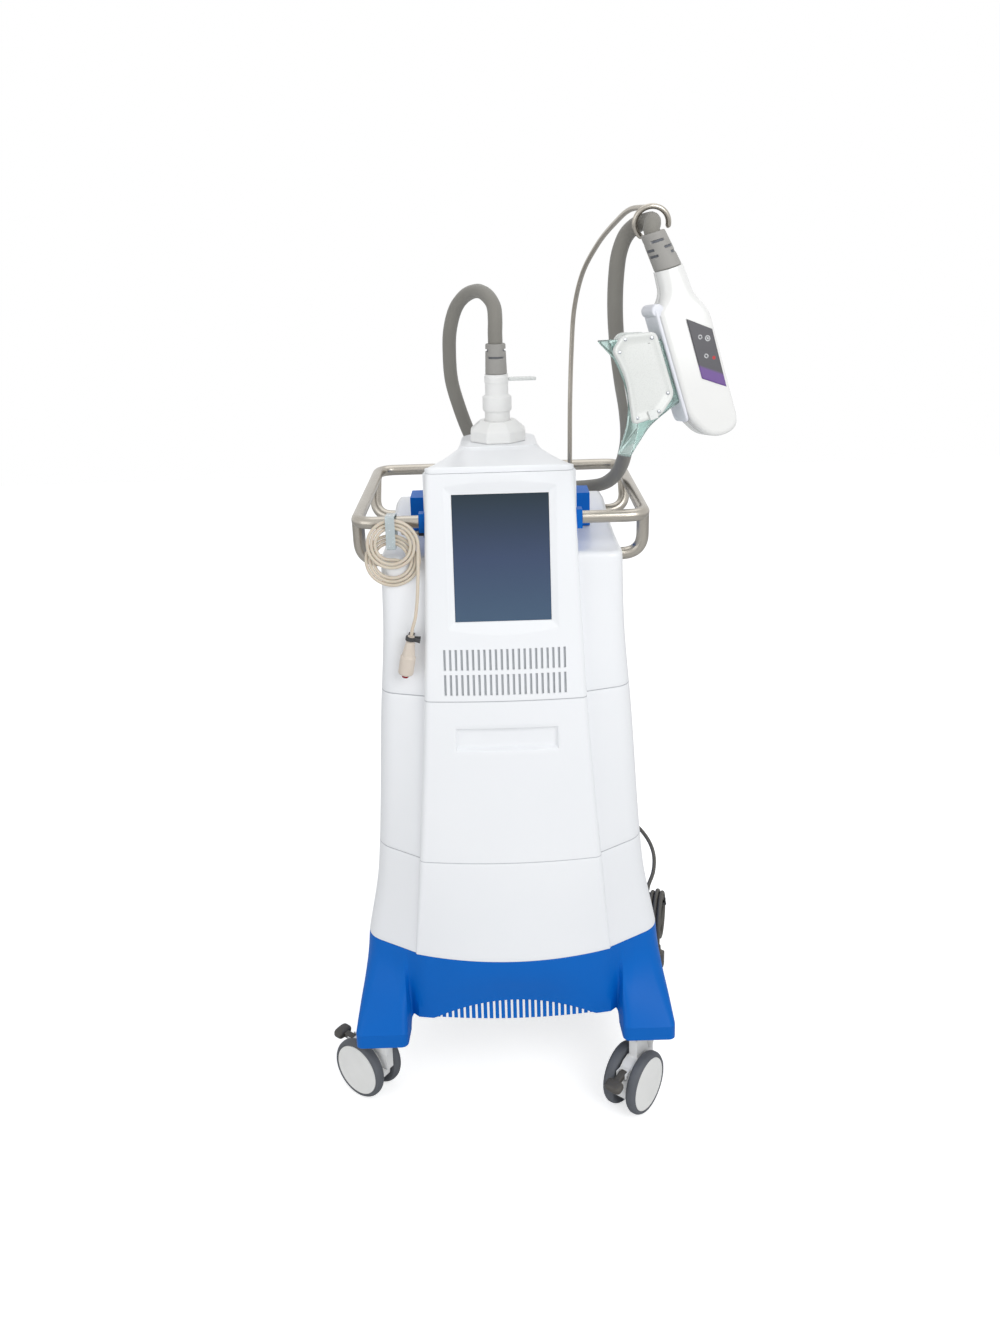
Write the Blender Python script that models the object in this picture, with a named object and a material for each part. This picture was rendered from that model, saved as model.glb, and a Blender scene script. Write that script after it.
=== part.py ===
# Cryolipolysis machine: a console on four twin-wheel casters, with its handle rail, dock, hose,
# applicator and mast, and a call button on a coiled cord.
# Metres, +Z up, the front toward -Y, the wheels on Z = 0.

import math

import bmesh
import bpy
import numpy as np
from mathutils import Matrix, Vector

for old in list(bpy.data.objects):
    bpy.data.objects.remove(old, do_unlink=True)

# Clearances, walls and cuts
FIT = 0.0003
CUT_OVERRUN = 0.004
SHELL_WALL = 0.004
SEAM_GROOVE = 0.0015

# Heights above the floor
CASTER_HEIGHT = 0.165
SKIRT_TOP = 0.348
LOWER_SEAM = 0.559
UPPER_SEAM = 0.888
SHOULDER_TOP = 1.160
FIN_TOP = 1.210
CORE_TOP = 1.245
BEZEL_TOP = 1.325
DECK_TOP = 1.338

# Body in plan
BASE_HALF = 0.302
SHOULDER_HALF = 0.236
REAR_TAPER_SHARE = 0.90
COLUMN_HALF_BASE = 0.197
COLUMN_HALF_TOP = 0.1412
FRONT_BASE = 0.290
FRONT_TOP = 0.197
CORNER_REACH = 0.185
REAR_BASE = 0.262
REAR_TOP = 0.240
FRONT_CROWN = 0.035
CREASE_STEP = 0.030
COLUMN_EDGE = 0.014
CORNER_ROUND = 0.034
REAR_ROUND = 0.050
REAR_COVER_HALF = 0.120
HOOD_REAR = 0.150

# Shares of the way from the base size to the top size, against the share of the height
SIDE_FLARE_SHARES = ((0, 1), (0.19, 0.58), (0.59, 0.255), (0.85, 0.03), (1, 0))
COLUMN_FLARE_SHARES = ((0, 1), (0.22, 0.69), (0.55, 0.295), (1, 0))
FRONT_REACH_SHARES = ((0, 1), (0.22, 0.84), (0.55, 0.54), (0.69, 0.33), (1, 0))
CROWN_SHARES = ((0, 1), (0.22, 0.41), (0.55, 0.23), (1, 0.17))
CREASE_SHARES = ((0, 0.16), (0.22, 0.55), (0.55, 0.93), (1, 1))
# Share of the rise from shoulder to fin, against the share of the depth from front corner to rear
SHOULDER_RISE_SHARES = ((0, 0), (0.2, 0.12), (0.5, 0.55), (0.64, 1), (0.73, 1), (0.83, 0.26), (1, 0.24))

# Heights at which the body's lines change slope
SIDE_BREAK_LOW = SKIRT_TOP + SIDE_FLARE_SHARES[1][0] * (SHOULDER_TOP - SKIRT_TOP)
SIDE_BREAK_HIGH = SKIRT_TOP + SIDE_FLARE_SHARES[2][0] * (SHOULDER_TOP - SKIRT_TOP)
SIDE_BREAK_TOP = SKIRT_TOP + SIDE_FLARE_SHARES[3][0] * (SHOULDER_TOP - SKIRT_TOP)
FRONT_BREAK = SKIRT_TOP + FRONT_REACH_SHARES[3][0] * (BEZEL_TOP - SKIRT_TOP)

# Finishes: colour, roughness, metallic
WHITE = ((0.86, 0.87, 0.89), 0.35, 0)
BLUE = ((0.004, 0.12, 0.50), 0.30, 0)
STEEL = ((0.62, 0.61, 0.59), 0.25, 1)
ZINC = ((0.55, 0.56, 0.58), 0.40, 1)
TYRE_GREY = ((0.10, 0.11, 0.13), 0.60, 0)
DARK_GREY = ((0.07, 0.065, 0.06), 0.50, 0)
HOSE_GREY = ((0.28, 0.26, 0.24), 0.65, 0)
SCREEN_SLATE = ((0.048, 0.075, 0.12), 0.10, 0)
TEAL = ((0.35, 0.60, 0.55), 0.20, 0)
BEIGE = ((0.66, 0.58, 0.47), 0.50, 0)
RED = ((0.27, 0.01, 0.015), 0.35, 0)
PALE_STRAP = ((0.66, 0.72, 0.75), 0.60, 0)


def new_object(name, mesh, finish, parent=None, smooth=True):
    """Puts a mesh or curve in the scene as one named piece with a material of its own."""
    colour, roughness, metallic = finish
    surface = bpy.data.materials.new(name + "_finish")
    surface.use_nodes = True
    shader = surface.node_tree.nodes["Principled BSDF"]
    shader.inputs["Base Color"].default_value = (*colour, 1)
    shader.inputs["Roughness"].default_value = roughness
    shader.inputs["Metallic"].default_value = metallic
    mesh.materials.append(surface)
    piece = bpy.data.objects.new(name, mesh)
    bpy.context.collection.objects.link(piece)
    piece.parent = parent or machine
    if smooth and isinstance(mesh, bpy.types.Mesh):
        mesh.shade_smooth()
        mesh.set_sharp_from_angle(angle=math.radians(35))
    return piece


def new_empty(name, place, turn=(0, 0, 0), parent=None):
    """An empty that carries pieces at a place and a turn."""
    empty = bpy.data.objects.new(name, None)
    bpy.context.collection.objects.link(empty)
    empty.location = place
    empty.rotation_euler = turn
    empty.parent = parent or machine
    return empty


machine = bpy.data.objects.new("machine_frame", None)
bpy.context.collection.objects.link(machine)


def grid_mesh(name, rows, close_rows=False, close_stations=False):
    """A closed solid over a grid of points: rows x stations, each way closed on itself or capped."""
    rows = np.asarray(rows, float)
    mesh = bpy.data.meshes.new(name)
    build = bmesh.new()
    verts = [[build.verts.new(point) for point in row] for row in rows]
    row_count, station_count = rows.shape[:2]
    for r in range(row_count if close_rows else row_count - 1):
        below, above = verts[r], verts[(r + 1) % row_count]
        for s in range(station_count if close_stations else station_count - 1):
            t = (s + 1) % station_count
            build.faces.new((below[s], below[t], above[t], above[s]))
    if not close_rows:
        build.faces.new(verts[0])
        build.faces.new(verts[-1])
    if not close_stations:
        build.faces.new([row[0] for row in verts])
        build.faces.new([row[-1] for row in verts])
    bmesh.ops.recalc_face_normals(build, faces=build.faces)
    build.to_mesh(mesh)
    build.free()
    return mesh


def turned_rows(profile, sides, start_share=0.0):
    """Rows of a solid turned about Z from (radius, height) pairs; start_share turns it part of a side."""
    angles = 2 * math.pi * (np.arange(sides) + start_share) / sides
    ring = np.stack([np.cos(angles), np.sin(angles), np.zeros(sides)], axis=1)
    return np.array([ring * radius + (0, 0, height) for radius, height in profile])


def box_mesh(name, low, high, edge=0):
    """A box between two corners, its edges rounded by one bevel."""
    low, high = Vector(low), Vector(high)
    mesh = bpy.data.meshes.new(name)
    build = bmesh.new()
    size = Matrix.Diagonal((*(high - low), 1))
    bmesh.ops.create_cube(build, size=1, matrix=Matrix.Translation((low + high) / 2) @ size)
    if edge:
        bmesh.ops.bevel(build, geom=build.edges, offset=edge, segments=1, affect="EDGES", clamp_overlap=True)
    build.to_mesh(mesh)
    build.free()
    return mesh


def joined_mesh(name, meshes):
    """Several meshes in one, still separate bodies."""
    build = bmesh.new()
    for mesh in meshes:
        build.from_mesh(mesh)
    joined = bpy.data.meshes.new(name)
    build.to_mesh(joined)
    build.free()
    return joined


def shaped_by(piece, mesh, operation="DIFFERENCE"):
    """Cuts a mesh out of a piece, or unites it with the piece, by a Boolean with the exact solver."""
    helper = bpy.data.objects.new(piece.name + "_" + operation.lower() + str(len(piece.modifiers)), mesh)
    bpy.context.collection.objects.link(helper)
    helper.parent = piece.parent
    helper.matrix_local = piece.matrix_local
    helper.hide_render = True
    helper.display_type = "WIRE"
    modifier = piece.modifiers.new(operation.lower(), "BOOLEAN")
    modifier.operation = operation
    modifier.solver = "EXACT"
    modifier.object = helper


def unit(vector):
    vector = np.asarray(vector, float)
    return vector / np.linalg.norm(vector)


def bend(before, corner, after, setback, steps):
    """Points of the parabola that rounds a corner from setback before it to setback after it."""
    before, corner, after = (np.asarray(point, float) for point in (before, corner, after))
    start = corner + unit(before - corner) * setback
    end = corner + unit(after - corner) * setback
    t = np.linspace(0, 1, steps + 1)[:, None]
    return (1 - t) ** 2 * start + 2 * t * (1 - t) * corner + t ** 2 * end


def rounded_line(corners, steps, closed=False):
    """A line through (x, y, setback) corners, rounded where the setback isn't zero."""
    points = [np.array(corner[:2], float) for corner in corners]
    line = []
    for i, corner in enumerate(corners):
        end_of_open = not closed and i in (0, len(corners) - 1)
        if corner[2] == 0 or end_of_open:
            line.append(points[i][None])
        else:
            line.append(bend(points[i - 1], points[i], points[(i + 1) % len(points)], corner[2], steps))
    return np.concatenate(line)


def inward(line, distance, closed=False, square_start=False):
    """The line moved to its left by a distance, mitred at its corners; a square start keeps its x."""
    step = np.diff(line, axis=0, append=line[:1]) if closed else np.diff(line, axis=0)
    normal = np.stack([-step[:, 1], step[:, 0]], axis=1)
    normal /= np.linalg.norm(normal, axis=1)[:, None]
    if closed:
        before, after = np.roll(normal, 1, axis=0), normal
    else:
        before, after = np.vstack([normal[:1], normal]), np.vstack([normal, normal[-1:]])
    both = before + after
    moved = line + distance * 2 * both / (both ** 2).sum(axis=1)[:, None]
    if square_start:
        moved[0] += step[0] * (line[0, 0] - moved[0, 0]) / step[0, 0]
    return moved


def smooth_route(points, spacing, straight_ends=False):
    """A curve through the chosen points (centripetal Catmull-Rom), read at an even spacing."""
    points = np.asarray(points, float)
    if straight_ends:
        guide = points
    else:
        guide = np.vstack([2 * points[0] - points[1], points, 2 * points[-1] - points[-2]])
    knots = np.concatenate([[0], np.cumsum(np.linalg.norm(np.diff(guide, axis=0), axis=1) ** 0.5)])
    fine = []
    for i in range(1, len(guide) - 2):
        t0, t1, t2, t3 = knots[i - 1:i + 3]
        p0, p1, p2, p3 = guide[i - 1:i + 3]
        t = np.linspace(t1, t2, 24, endpoint=False)[:, None]
        a1 = (t1 - t) / (t1 - t0) * p0 + (t - t0) / (t1 - t0) * p1
        a2 = (t2 - t) / (t2 - t1) * p1 + (t - t1) / (t2 - t1) * p2
        a3 = (t3 - t) / (t3 - t2) * p2 + (t - t2) / (t3 - t2) * p3
        b1 = (t2 - t) / (t2 - t0) * a1 + (t - t0) / (t2 - t0) * a2
        b2 = (t3 - t) / (t3 - t1) * a2 + (t - t1) / (t3 - t1) * a3
        fine.append((t2 - t) / (t2 - t1) * b1 + (t - t1) / (t2 - t1) * b2)
    fine = np.vstack([*fine, guide[-2:-1]])
    along = np.concatenate([[0], np.cumsum(np.linalg.norm(np.diff(fine, axis=0), axis=1))])
    count = max(2, int(round(along[-1] / spacing)) + 1)
    places = np.linspace(0, along[-1], count)
    line = np.stack([np.interp(places, along, fine[:, axis]) for axis in range(3)], axis=1)
    return np.vstack([points[:1], line, points[-1:]]) if straight_ends else line


def route_length(points):
    return float(np.linalg.norm(np.diff(points, axis=0), axis=1).sum())


def cord_curve(name, points, diameter, finish, sides_setting, parent=None):
    """A cord as one open POLY spline with a round section and filled ends."""
    curve = bpy.data.curves.new(name, "CURVE")
    curve.dimensions = "3D"
    curve.bevel_depth = diameter / 2
    curve.bevel_resolution = sides_setting
    curve.use_fill_caps = True
    curve.render_resolution_u = 0
    spline = curve.splines.new("POLY")
    spline.points.add(len(points) - 1)
    for point, place in zip(spline.points, points):
        point.co = (*place, 1)
    return new_object(name, curve, finish, parent)


def tube_rows(points, radius, sides):
    """Rows of a round tube along a line, its section carried without twist."""
    points = np.asarray(points, float)
    tangents = np.gradient(points, axis=0)
    tangents /= np.linalg.norm(tangents, axis=1)[:, None]
    side = np.cross(tangents[0], (0, 0, 1) if abs(tangents[0][2]) < 0.9 else (1, 0, 0))
    rows = []
    angles = 2 * math.pi * np.arange(sides) / sides
    for point, tangent in zip(points, tangents):
        side = unit(side - tangent * (side @ tangent))
        up = np.cross(tangent, side)
        rows.append(point + radius * (np.outer(np.cos(angles), side) + np.outer(np.sin(angles), up)))
    return np.array(rows)


# Body lines

def by_height(height, low, high, base, top, shares):
    """A size that goes from its base value to its top value as the shares say."""
    share = np.interp((height - low) / (high - low), *zip(*shares))
    return top + (base - top) * share


def side_half(height):
    return by_height(height, SKIRT_TOP, SHOULDER_TOP, BASE_HALF, SHOULDER_HALF, SIDE_FLARE_SHARES)


def column_half(height):
    return by_height(height, SKIRT_TOP, BEZEL_TOP, COLUMN_HALF_BASE, COLUMN_HALF_TOP, COLUMN_FLARE_SHARES)


def front_y(height):
    return -by_height(height, SKIRT_TOP, BEZEL_TOP, FRONT_BASE, FRONT_TOP, FRONT_REACH_SHARES)


def crown(height):
    return FRONT_CROWN * np.interp((height - SKIRT_TOP) / (BEZEL_TOP - SKIRT_TOP), *zip(*CROWN_SHARES))


def crease_step(height):
    return CREASE_STEP * np.interp((height - SKIRT_TOP) / (BEZEL_TOP - SKIRT_TOP), *zip(*CREASE_SHARES))


def crease_y(height):
    return front_y(height) + crown(height) + crease_step(height)


def rear_y(height):
    return REAR_BASE + (REAR_TOP - REAR_BASE) * (height - SKIRT_TOP) / (SHOULDER_TOP - SKIRT_TOP)


def shoulder_z(y):
    depth = (y + CORNER_REACH) / (REAR_TOP + CORNER_REACH)
    return SHOULDER_TOP + (FIN_TOP - SHOULDER_TOP) * np.interp(depth, *zip(*SHOULDER_RISE_SHARES))


LEDGE_TOP = float(shoulder_z(REAR_TOP))
COLUMN_SHARES = (-0.66, -0.33, 0, 0.33, 0.66)
COLUMN_CORNER_STEPS = 3


def front_line(height, front_inset=0.0, side_inset=0.0, back=None):
    """The column's front in plan, left to right, with its two side returns back to the shells."""
    half = column_half(height) - side_inset
    front = front_y(height) + front_inset
    rise = crown(height)
    edge = max(min(COLUMN_EDGE, 0.8 * crease_step(height)) - front_inset, SEAM_GROOVE)
    corner = (half, front + rise)
    inner = (half * 0.5, front + rise * 0.25)
    right = bend(inner, corner, (half, corner[1] + half), edge, COLUMN_CORNER_STEPS)
    shares = np.array(COLUMN_SHARES)
    middle = np.stack([shares * half, front + rise * shares ** 2], axis=1)
    left = right[::-1] * (-1, 1)
    if back is None:
        return np.vstack([left, middle, right])
    return np.vstack([[(-half, back)], left, middle, right, [(half, back)]])


SIDE_MIDDLE_SHARES = (0.3, 0.5, 0.64, 0.73, 0.83)
SIDE_CORNER_STEPS = 3


def side_line(height, rear_stop=REAR_COVER_HALF + FIT, start_gap=FIT):
    """The right side shell's outer line in plan, from the crease round the side to the rear cover."""
    front_corner = np.array((side_half(height), -CORNER_REACH))
    rear_corner = np.array((side_half(height) * REAR_TAPER_SHARE, rear_y(height)))
    start = (column_half(height) + start_gap, crease_y(height))
    end = (rear_stop, rear_y(height))
    shares = np.array(SIDE_MIDDLE_SHARES)[:, None]
    return np.vstack([
        [start],
        bend(start, front_corner, rear_corner, CORNER_ROUND, SIDE_CORNER_STEPS),
        front_corner + (rear_corner - front_corner) * shares,
        bend(front_corner, rear_corner, end, REAR_ROUND, SIDE_CORNER_STEPS),
        [end],
    ])


def body_ring(height):
    """The whole outer line in plan, closed, counter-clockwise from the left crease."""
    side = side_line(height, start_gap=0.0)
    return np.vstack([[side[0] * (-1, 1)], front_line(height), side, side[:0:-1] * (-1, 1)])


def at_height(line, height):
    """Plan points raised to a height, or each to its own."""
    return np.column_stack([line, np.broadcast_to(height, len(line))])


def wall_rows(line_at, levels, wall, closed=False, square_start=False):
    """Rows of a shell wall: the outer line with a groove edge at both ends, and the inner line."""
    low, high = levels[0], levels[-1]
    outer = [(low, SEAM_GROOVE), (low + SEAM_GROOVE, 0)]
    outer += [(level, 0) for level in levels[1:-1]]
    outer += [(high - SEAM_GROOVE, 0), (high, SEAM_GROOVE)]
    inner = [(level, wall) for level in reversed(levels)]
    return [at_height(inward(line_at(z), inset, closed, square_start), z) for z, inset in outer + inner]


def mirrored(rows):
    return np.asarray(rows) * (-1, 1, 1)


# Lower shell: one white shell all round, between the blue skirt and the lower seam
lower_levels = [SKIRT_TOP + FIT, SIDE_BREAK_LOW, LOWER_SEAM]
lower_shell = new_object(
    "lower_shell",
    grid_mesh("lower_shell", wall_rows(body_ring, lower_levels, SHELL_WALL, True), True, True), WHITE)

# Middle side shells, left and right of the access panel
middle_levels = [LOWER_SEAM + FIT, SIDE_BREAK_HIGH, UPPER_SEAM]
middle_rows = wall_rows(side_line, middle_levels, SHELL_WALL, square_start=True)
new_object("middle_side_right", grid_mesh("middle_side_right", middle_rows, True), WHITE)
new_object("middle_side_left", grid_mesh("middle_side_left", mirrored(middle_rows), True), WHITE)

# Access panel: the front of the column between the seams, with a finger scoop pressed into it
SCOOP_WIDTH = 0.200
SCOOP_HEIGHT = 0.046
SCOOP_DEPTH = 0.011
SCOOP_Z = 0.812
SCOOP_ROUND = 0.006
panel_levels = [LOWER_SEAM + FIT, SIDE_BREAK_HIGH, UPPER_SEAM - FIT]


def panel_line(height):
    return front_line(height, back=crease_y(height) + SHELL_WALL)


access_panel = new_object(
    "access_panel", grid_mesh("access_panel", wall_rows(panel_line, panel_levels, SHELL_WALL), True), WHITE)
scoop_front = front_y(SCOOP_Z)
scoop_side = crown(SCOOP_Z) * (SCOOP_WIDTH / 2 / column_half(SCOOP_Z)) ** 2
pocket_low = (-SCOOP_WIDTH / 2 - SHELL_WALL, scoop_front + SHELL_WALL / 2 + scoop_side,
              SCOOP_Z - SCOOP_HEIGHT / 2 - SHELL_WALL)
pocket_high = (SCOOP_WIDTH / 2 + SHELL_WALL, scoop_front + SCOOP_DEPTH + SHELL_WALL,
               SCOOP_Z + SCOOP_HEIGHT / 2 + SHELL_WALL)
scoop_low = (-SCOOP_WIDTH / 2, scoop_front - CUT_OVERRUN, SCOOP_Z - SCOOP_HEIGHT / 2)
scoop_high = (SCOOP_WIDTH / 2, scoop_front + SCOOP_DEPTH, SCOOP_Z + SCOOP_HEIGHT / 2)
shaped_by(access_panel, box_mesh("scoop_pocket", pocket_low, pocket_high), "UNION")
shaped_by(access_panel, box_mesh("scoop_cut", scoop_low, scoop_high, SCOOP_ROUND))

# Upper side shells: the wall turns in over the shoulder and rises to a fin
SHOULDER_EDGE = 0.010
FLANGE_START = 0.012
FLANGE_SPREAD = 0.012
core_half = column_half(SHOULDER_TOP)
flange_half = core_half + FIT


def side_points(heights, inset):
    """The side line read at a height of its own for each station, moved inward."""
    lines = [inward(side_line(z), inset, square_start=True)[i] for i, z in enumerate(heights)]
    return np.column_stack([np.array(lines), heights])


shoulder_side = side_line(SHOULDER_TOP)
tops = shoulder_z(shoulder_side[:, 1])
front_stations = SIDE_CORNER_STEPS + 1
middle_end = front_stations + len(SIDE_MIDDLE_SHARES)
flange_y = shoulder_side[:, 1].copy()
flange_y[:front_stations + 1] = np.linspace(crease_y(SHOULDER_TOP) + FLANGE_START,
                                            shoulder_side[front_stations, 1] + FLANGE_SPREAD, front_stations + 1)
flange_y[middle_end:] = HOOD_REAR + FIT
flange_x = np.full(len(flange_y), flange_half)
flange_x[0] = shoulder_side[0, 0]
flange_x[middle_end:] = np.linspace(flange_half, REAR_COVER_HALF + FIT, len(flange_y) - middle_end)
flange = np.column_stack([flange_x, flange_y])
flange_z = tops.copy()
flange_z[:front_stations + 1] = shoulder_z(flange_y[:front_stations + 1])
upper_low = UPPER_SEAM + FIT
upper_rows = [
    side_points(np.full(len(tops), upper_low), SEAM_GROOVE),
    side_points(np.full(len(tops), upper_low + SEAM_GROOVE), 0),
    side_points(np.full(len(tops), SIDE_BREAK_TOP), 0),
    side_points(tops - SHOULDER_EDGE, 0),
    side_points(tops - SHOULDER_EDGE * 0.3, SHOULDER_EDGE * 0.3),
    side_points(tops, SHOULDER_EDGE),
    at_height(flange, flange_z),
    at_height(flange, flange_z - SHELL_WALL),
    side_points(tops - SHELL_WALL, SHOULDER_EDGE + SHELL_WALL / 2),
    side_points(tops - SHELL_WALL - SHOULDER_EDGE, SHELL_WALL),
    side_points(np.full(len(tops), SIDE_BREAK_TOP), SHELL_WALL),
    side_points(np.full(len(tops), upper_low), SHELL_WALL),
]
new_object("upper_side_right", grid_mesh("upper_side_right", upper_rows, True), WHITE)
new_object("upper_side_left", grid_mesh("upper_side_left", mirrored(upper_rows), True), WHITE)

# Rear cover: the flat back between the side shells, turned in over the ledge
cover_stations = np.linspace(-REAR_COVER_HALF, REAR_COVER_HALF, 5)


def cover_row(height, inset):
    return np.column_stack([cover_stations, np.full(5, rear_y(height) - inset), np.full(5, height)])


def ledge_row(y, height):
    return np.column_stack([cover_stations, np.full(5, y), np.full(5, height)])


cover_low = LOWER_SEAM + FIT
cover_rows = [
    cover_row(cover_low, SEAM_GROOVE),
    cover_row(cover_low + SEAM_GROOVE, 0),
    cover_row(LEDGE_TOP - SHOULDER_EDGE, 0),
    cover_row(LEDGE_TOP - SHOULDER_EDGE * 0.3, SHOULDER_EDGE * 0.3),
    cover_row(LEDGE_TOP, SHOULDER_EDGE),
    ledge_row(HOOD_REAR + FIT, LEDGE_TOP),
    ledge_row(HOOD_REAR + FIT, LEDGE_TOP - SHELL_WALL),
    cover_row(LEDGE_TOP - SHELL_WALL, SHOULDER_EDGE + SHELL_WALL / 2),
    cover_row(LEDGE_TOP - SHELL_WALL - SHOULDER_EDGE, SHELL_WALL),
    cover_row(cover_low, SHELL_WALL),
]
rear_cover = new_object("rear_cover", grid_mesh("rear_cover", cover_rows, True), WHITE)

# Console bezel: the column's front above the panel, with the bevelled window and the vents
BEZEL_FRONT_WALL = 0.012
SCREEN_WIDTH = 0.1845
SCREEN_HEIGHT = 0.246
SCREEN_Z = 1.163
WINDOW_DEPTH = 0.0085
WINDOW_FRAME = 0.0245
VENT_COUNT = 22
VENT_PITCH = 0.01097
VENT_WIDTH = 0.0044
VENT_LOW = 0.900
VENT_HIGH = 0.9886
VENT_RIB = 0.008
bezel_levels = [UPPER_SEAM + FIT, FRONT_BREAK, SCREEN_Z, BEZEL_TOP]
bezel_back = crease_y(SHOULDER_TOP) + SHELL_WALL


def bezel_line(height):
    return front_line(height, back=min(bezel_back, crease_y(height) + SHELL_WALL))


def bezel_inner(height):
    return front_line(height, BEZEL_FRONT_WALL, SHELL_WALL, min(bezel_back, crease_y(height) + SHELL_WALL))


bezel_low = bezel_levels[0]
bezel_rows = [at_height(inward(bezel_line(bezel_low), SEAM_GROOVE), bezel_low)]
bezel_rows[0][[0, -1], 1] = bezel_line(bezel_low)[[0, -1], 1]
bezel_rows += [at_height(bezel_line(z), z) for z in (bezel_low + SEAM_GROOVE, *bezel_levels[1:])]
bezel_rows += [at_height(bezel_inner(z), z) for z in reversed(bezel_levels)]
console_bezel = new_object("console_bezel", grid_mesh("console_bezel", bezel_rows, True), WHITE)

screen_low_z = SCREEN_Z - SCREEN_HEIGHT / 2
screen_high_z = SCREEN_Z + SCREEN_HEIGHT / 2
lean = math.atan((front_y(screen_high_z) - front_y(screen_low_z)) / SCREEN_HEIGHT)
screen_turn = Matrix.Rotation(-lean, 4, "X")
window_crown = crown(SCREEN_Z) * (SCREEN_WIDTH / 2 / column_half(SCREEN_Z)) ** 2
screen_front = Vector((0, (front_y(screen_low_z) + front_y(screen_high_z)) / 2, SCREEN_Z))


def frame_loop(half_width, half_height, depth):
    """A rectangle's four corners, at a depth behind the leaning screen plane."""
    corners = [(x, depth, z) for x, z in
               ((-half_width, -half_height), (half_width, -half_height),
                (half_width, half_height), (-half_width, half_height))]
    return [screen_front + screen_turn @ Vector(corner) for corner in corners]


bevel_slope = WINDOW_FRAME / WINDOW_DEPTH
window_rows = [
    frame_loop(SCREEN_WIDTH / 2 + WINDOW_FRAME + bevel_slope * CUT_OVERRUN,
               SCREEN_HEIGHT / 2 + WINDOW_FRAME + bevel_slope * CUT_OVERRUN, -CUT_OVERRUN),
    frame_loop(SCREEN_WIDTH / 2, SCREEN_HEIGHT / 2, WINDOW_DEPTH),
    frame_loop(SCREEN_WIDTH / 2, SCREEN_HEIGHT / 2, BEZEL_FRONT_WALL + window_crown + CUT_OVERRUN),
]
shaped_by(console_bezel, grid_mesh("window_cut", window_rows, close_stations=True))
vent_middle = (VENT_LOW + VENT_HIGH) / 2
vent_cuts = []
for slot in range(VENT_COUNT):
    vent_x = (slot - (VENT_COUNT - 1) / 2) * VENT_PITCH
    for slot_low, slot_high in ((VENT_LOW, vent_middle - VENT_RIB / 2), (vent_middle + VENT_RIB / 2, VENT_HIGH)):
        vent_cuts.append(box_mesh(
            "vent_cut", (vent_x - VENT_WIDTH / 2, front_y(VENT_LOW) - CUT_OVERRUN, slot_low),
            (vent_x + VENT_WIDTH / 2, front_y(VENT_HIGH) + BEZEL_FRONT_WALL + 2 * CUT_OVERRUN, slot_high)))
shaped_by(console_bezel, joined_mesh("vent_cuts", vent_cuts))

# Display module: glass in the window, body behind the bezel
DISPLAY_BORDER = 0.008
DISPLAY_BODY = 0.010
GLASS_RECESS = 0.0012
glass_face = WINDOW_DEPTH + GLASS_RECESS
body_half_width = SCREEN_WIDTH / 2 + DISPLAY_BORDER
body_half_height = SCREEN_HEIGHT / 2 + DISPLAY_BORDER
body_face = 0
for z in (screen_low_z - DISPLAY_BORDER, *bezel_levels[1:-1], screen_high_z + DISPLAY_BORDER):
    if abs(z - SCREEN_Z) <= body_half_height + FIT:
        back_line = bezel_inner(z)[1:-1]
        back_y = float(np.interp(body_half_width, back_line[:, 0], back_line[:, 1]))
        plane_y = screen_front.y + (z - SCREEN_Z) * math.tan(lean)
        body_face = max(body_face, (back_y - plane_y) * math.cos(lean) + 2 * FIT)
display_rows = [
    frame_loop(SCREEN_WIDTH / 2 - FIT, SCREEN_HEIGHT / 2 - FIT, glass_face),
    frame_loop(SCREEN_WIDTH / 2 - FIT, SCREEN_HEIGHT / 2 - FIT, body_face),
    frame_loop(body_half_width, body_half_height, body_face),
    frame_loop(body_half_width, body_half_height, body_face + DISPLAY_BODY),
]
new_object("display_module", grid_mesh("display_module", display_rows, close_stations=True),
           SCREEN_SLATE, smooth=False)

# Console core: the blue block on the shoulders that takes the rail's front legs
CORE_FRONT = -0.172
CORE_NECK_HALF = 0.157
CORE_NECK_REAR = -0.146
CORE_WIDE_HALF = 0.1815
CORE_WIDE_FRONT = -0.040
CORE_WIDE_REAR = 0.030
CORE_NECK_LOW = 1.206
core_sections = [(CORE_FRONT, core_half)]
core_sections += [(y, core_half) for y in flange_y[:middle_end] if CORE_FRONT < y < CORE_WIDE_FRONT]
core_sections += [(CORE_WIDE_FRONT, core_half), (CORE_WIDE_FRONT + SEAM_GROOVE, CORE_WIDE_HALF)]
core_sections += [(CORE_WIDE_REAR - SEAM_GROOVE, CORE_WIDE_HALF), (CORE_WIDE_REAR, core_half)]
core_sections += [(y, core_half) for y in flange_y[:middle_end] if CORE_WIDE_REAR < y < HOOD_REAR]
core_sections += [(HOOD_REAR, core_half)]
core_rows = []
for y, half in core_sections:
    low = float(np.interp(y, flange_y[:middle_end + 1], flange_z[:middle_end + 1])) + FIT
    core_rows.append([(-half, y, low), (half, y, low), (half, y, CORE_TOP), (-half, y, CORE_TOP)])
console_core = new_object("console_core", grid_mesh("console_core", core_rows, close_stations=True),
                          BLUE, smooth=False)
neck_top = CORE_TOP - SEAM_GROOVE
shaped_by(console_core, box_mesh("core_neck", (-CORE_NECK_HALF, CORE_FRONT + SEAM_GROOVE, CORE_NECK_LOW),
                                 (CORE_NECK_HALF, CORE_NECK_REAR, neck_top)), "UNION")

# Top deck: the hood over the core, the lid over the bezel, and the dock's pedestal
DOCK_Y = 0.020
PEDESTAL_HALF = 0.076
PEDESTAL_TOP = 1.349
PEDESTAL_ROUND = 0.030
DECK_FALL_SHARE = 0.21
HOOD_ROUND = 0.020
HOOD_WALL = 0.006
LID_EDGE = 0.006
DECK_STEPS = 2


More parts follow.
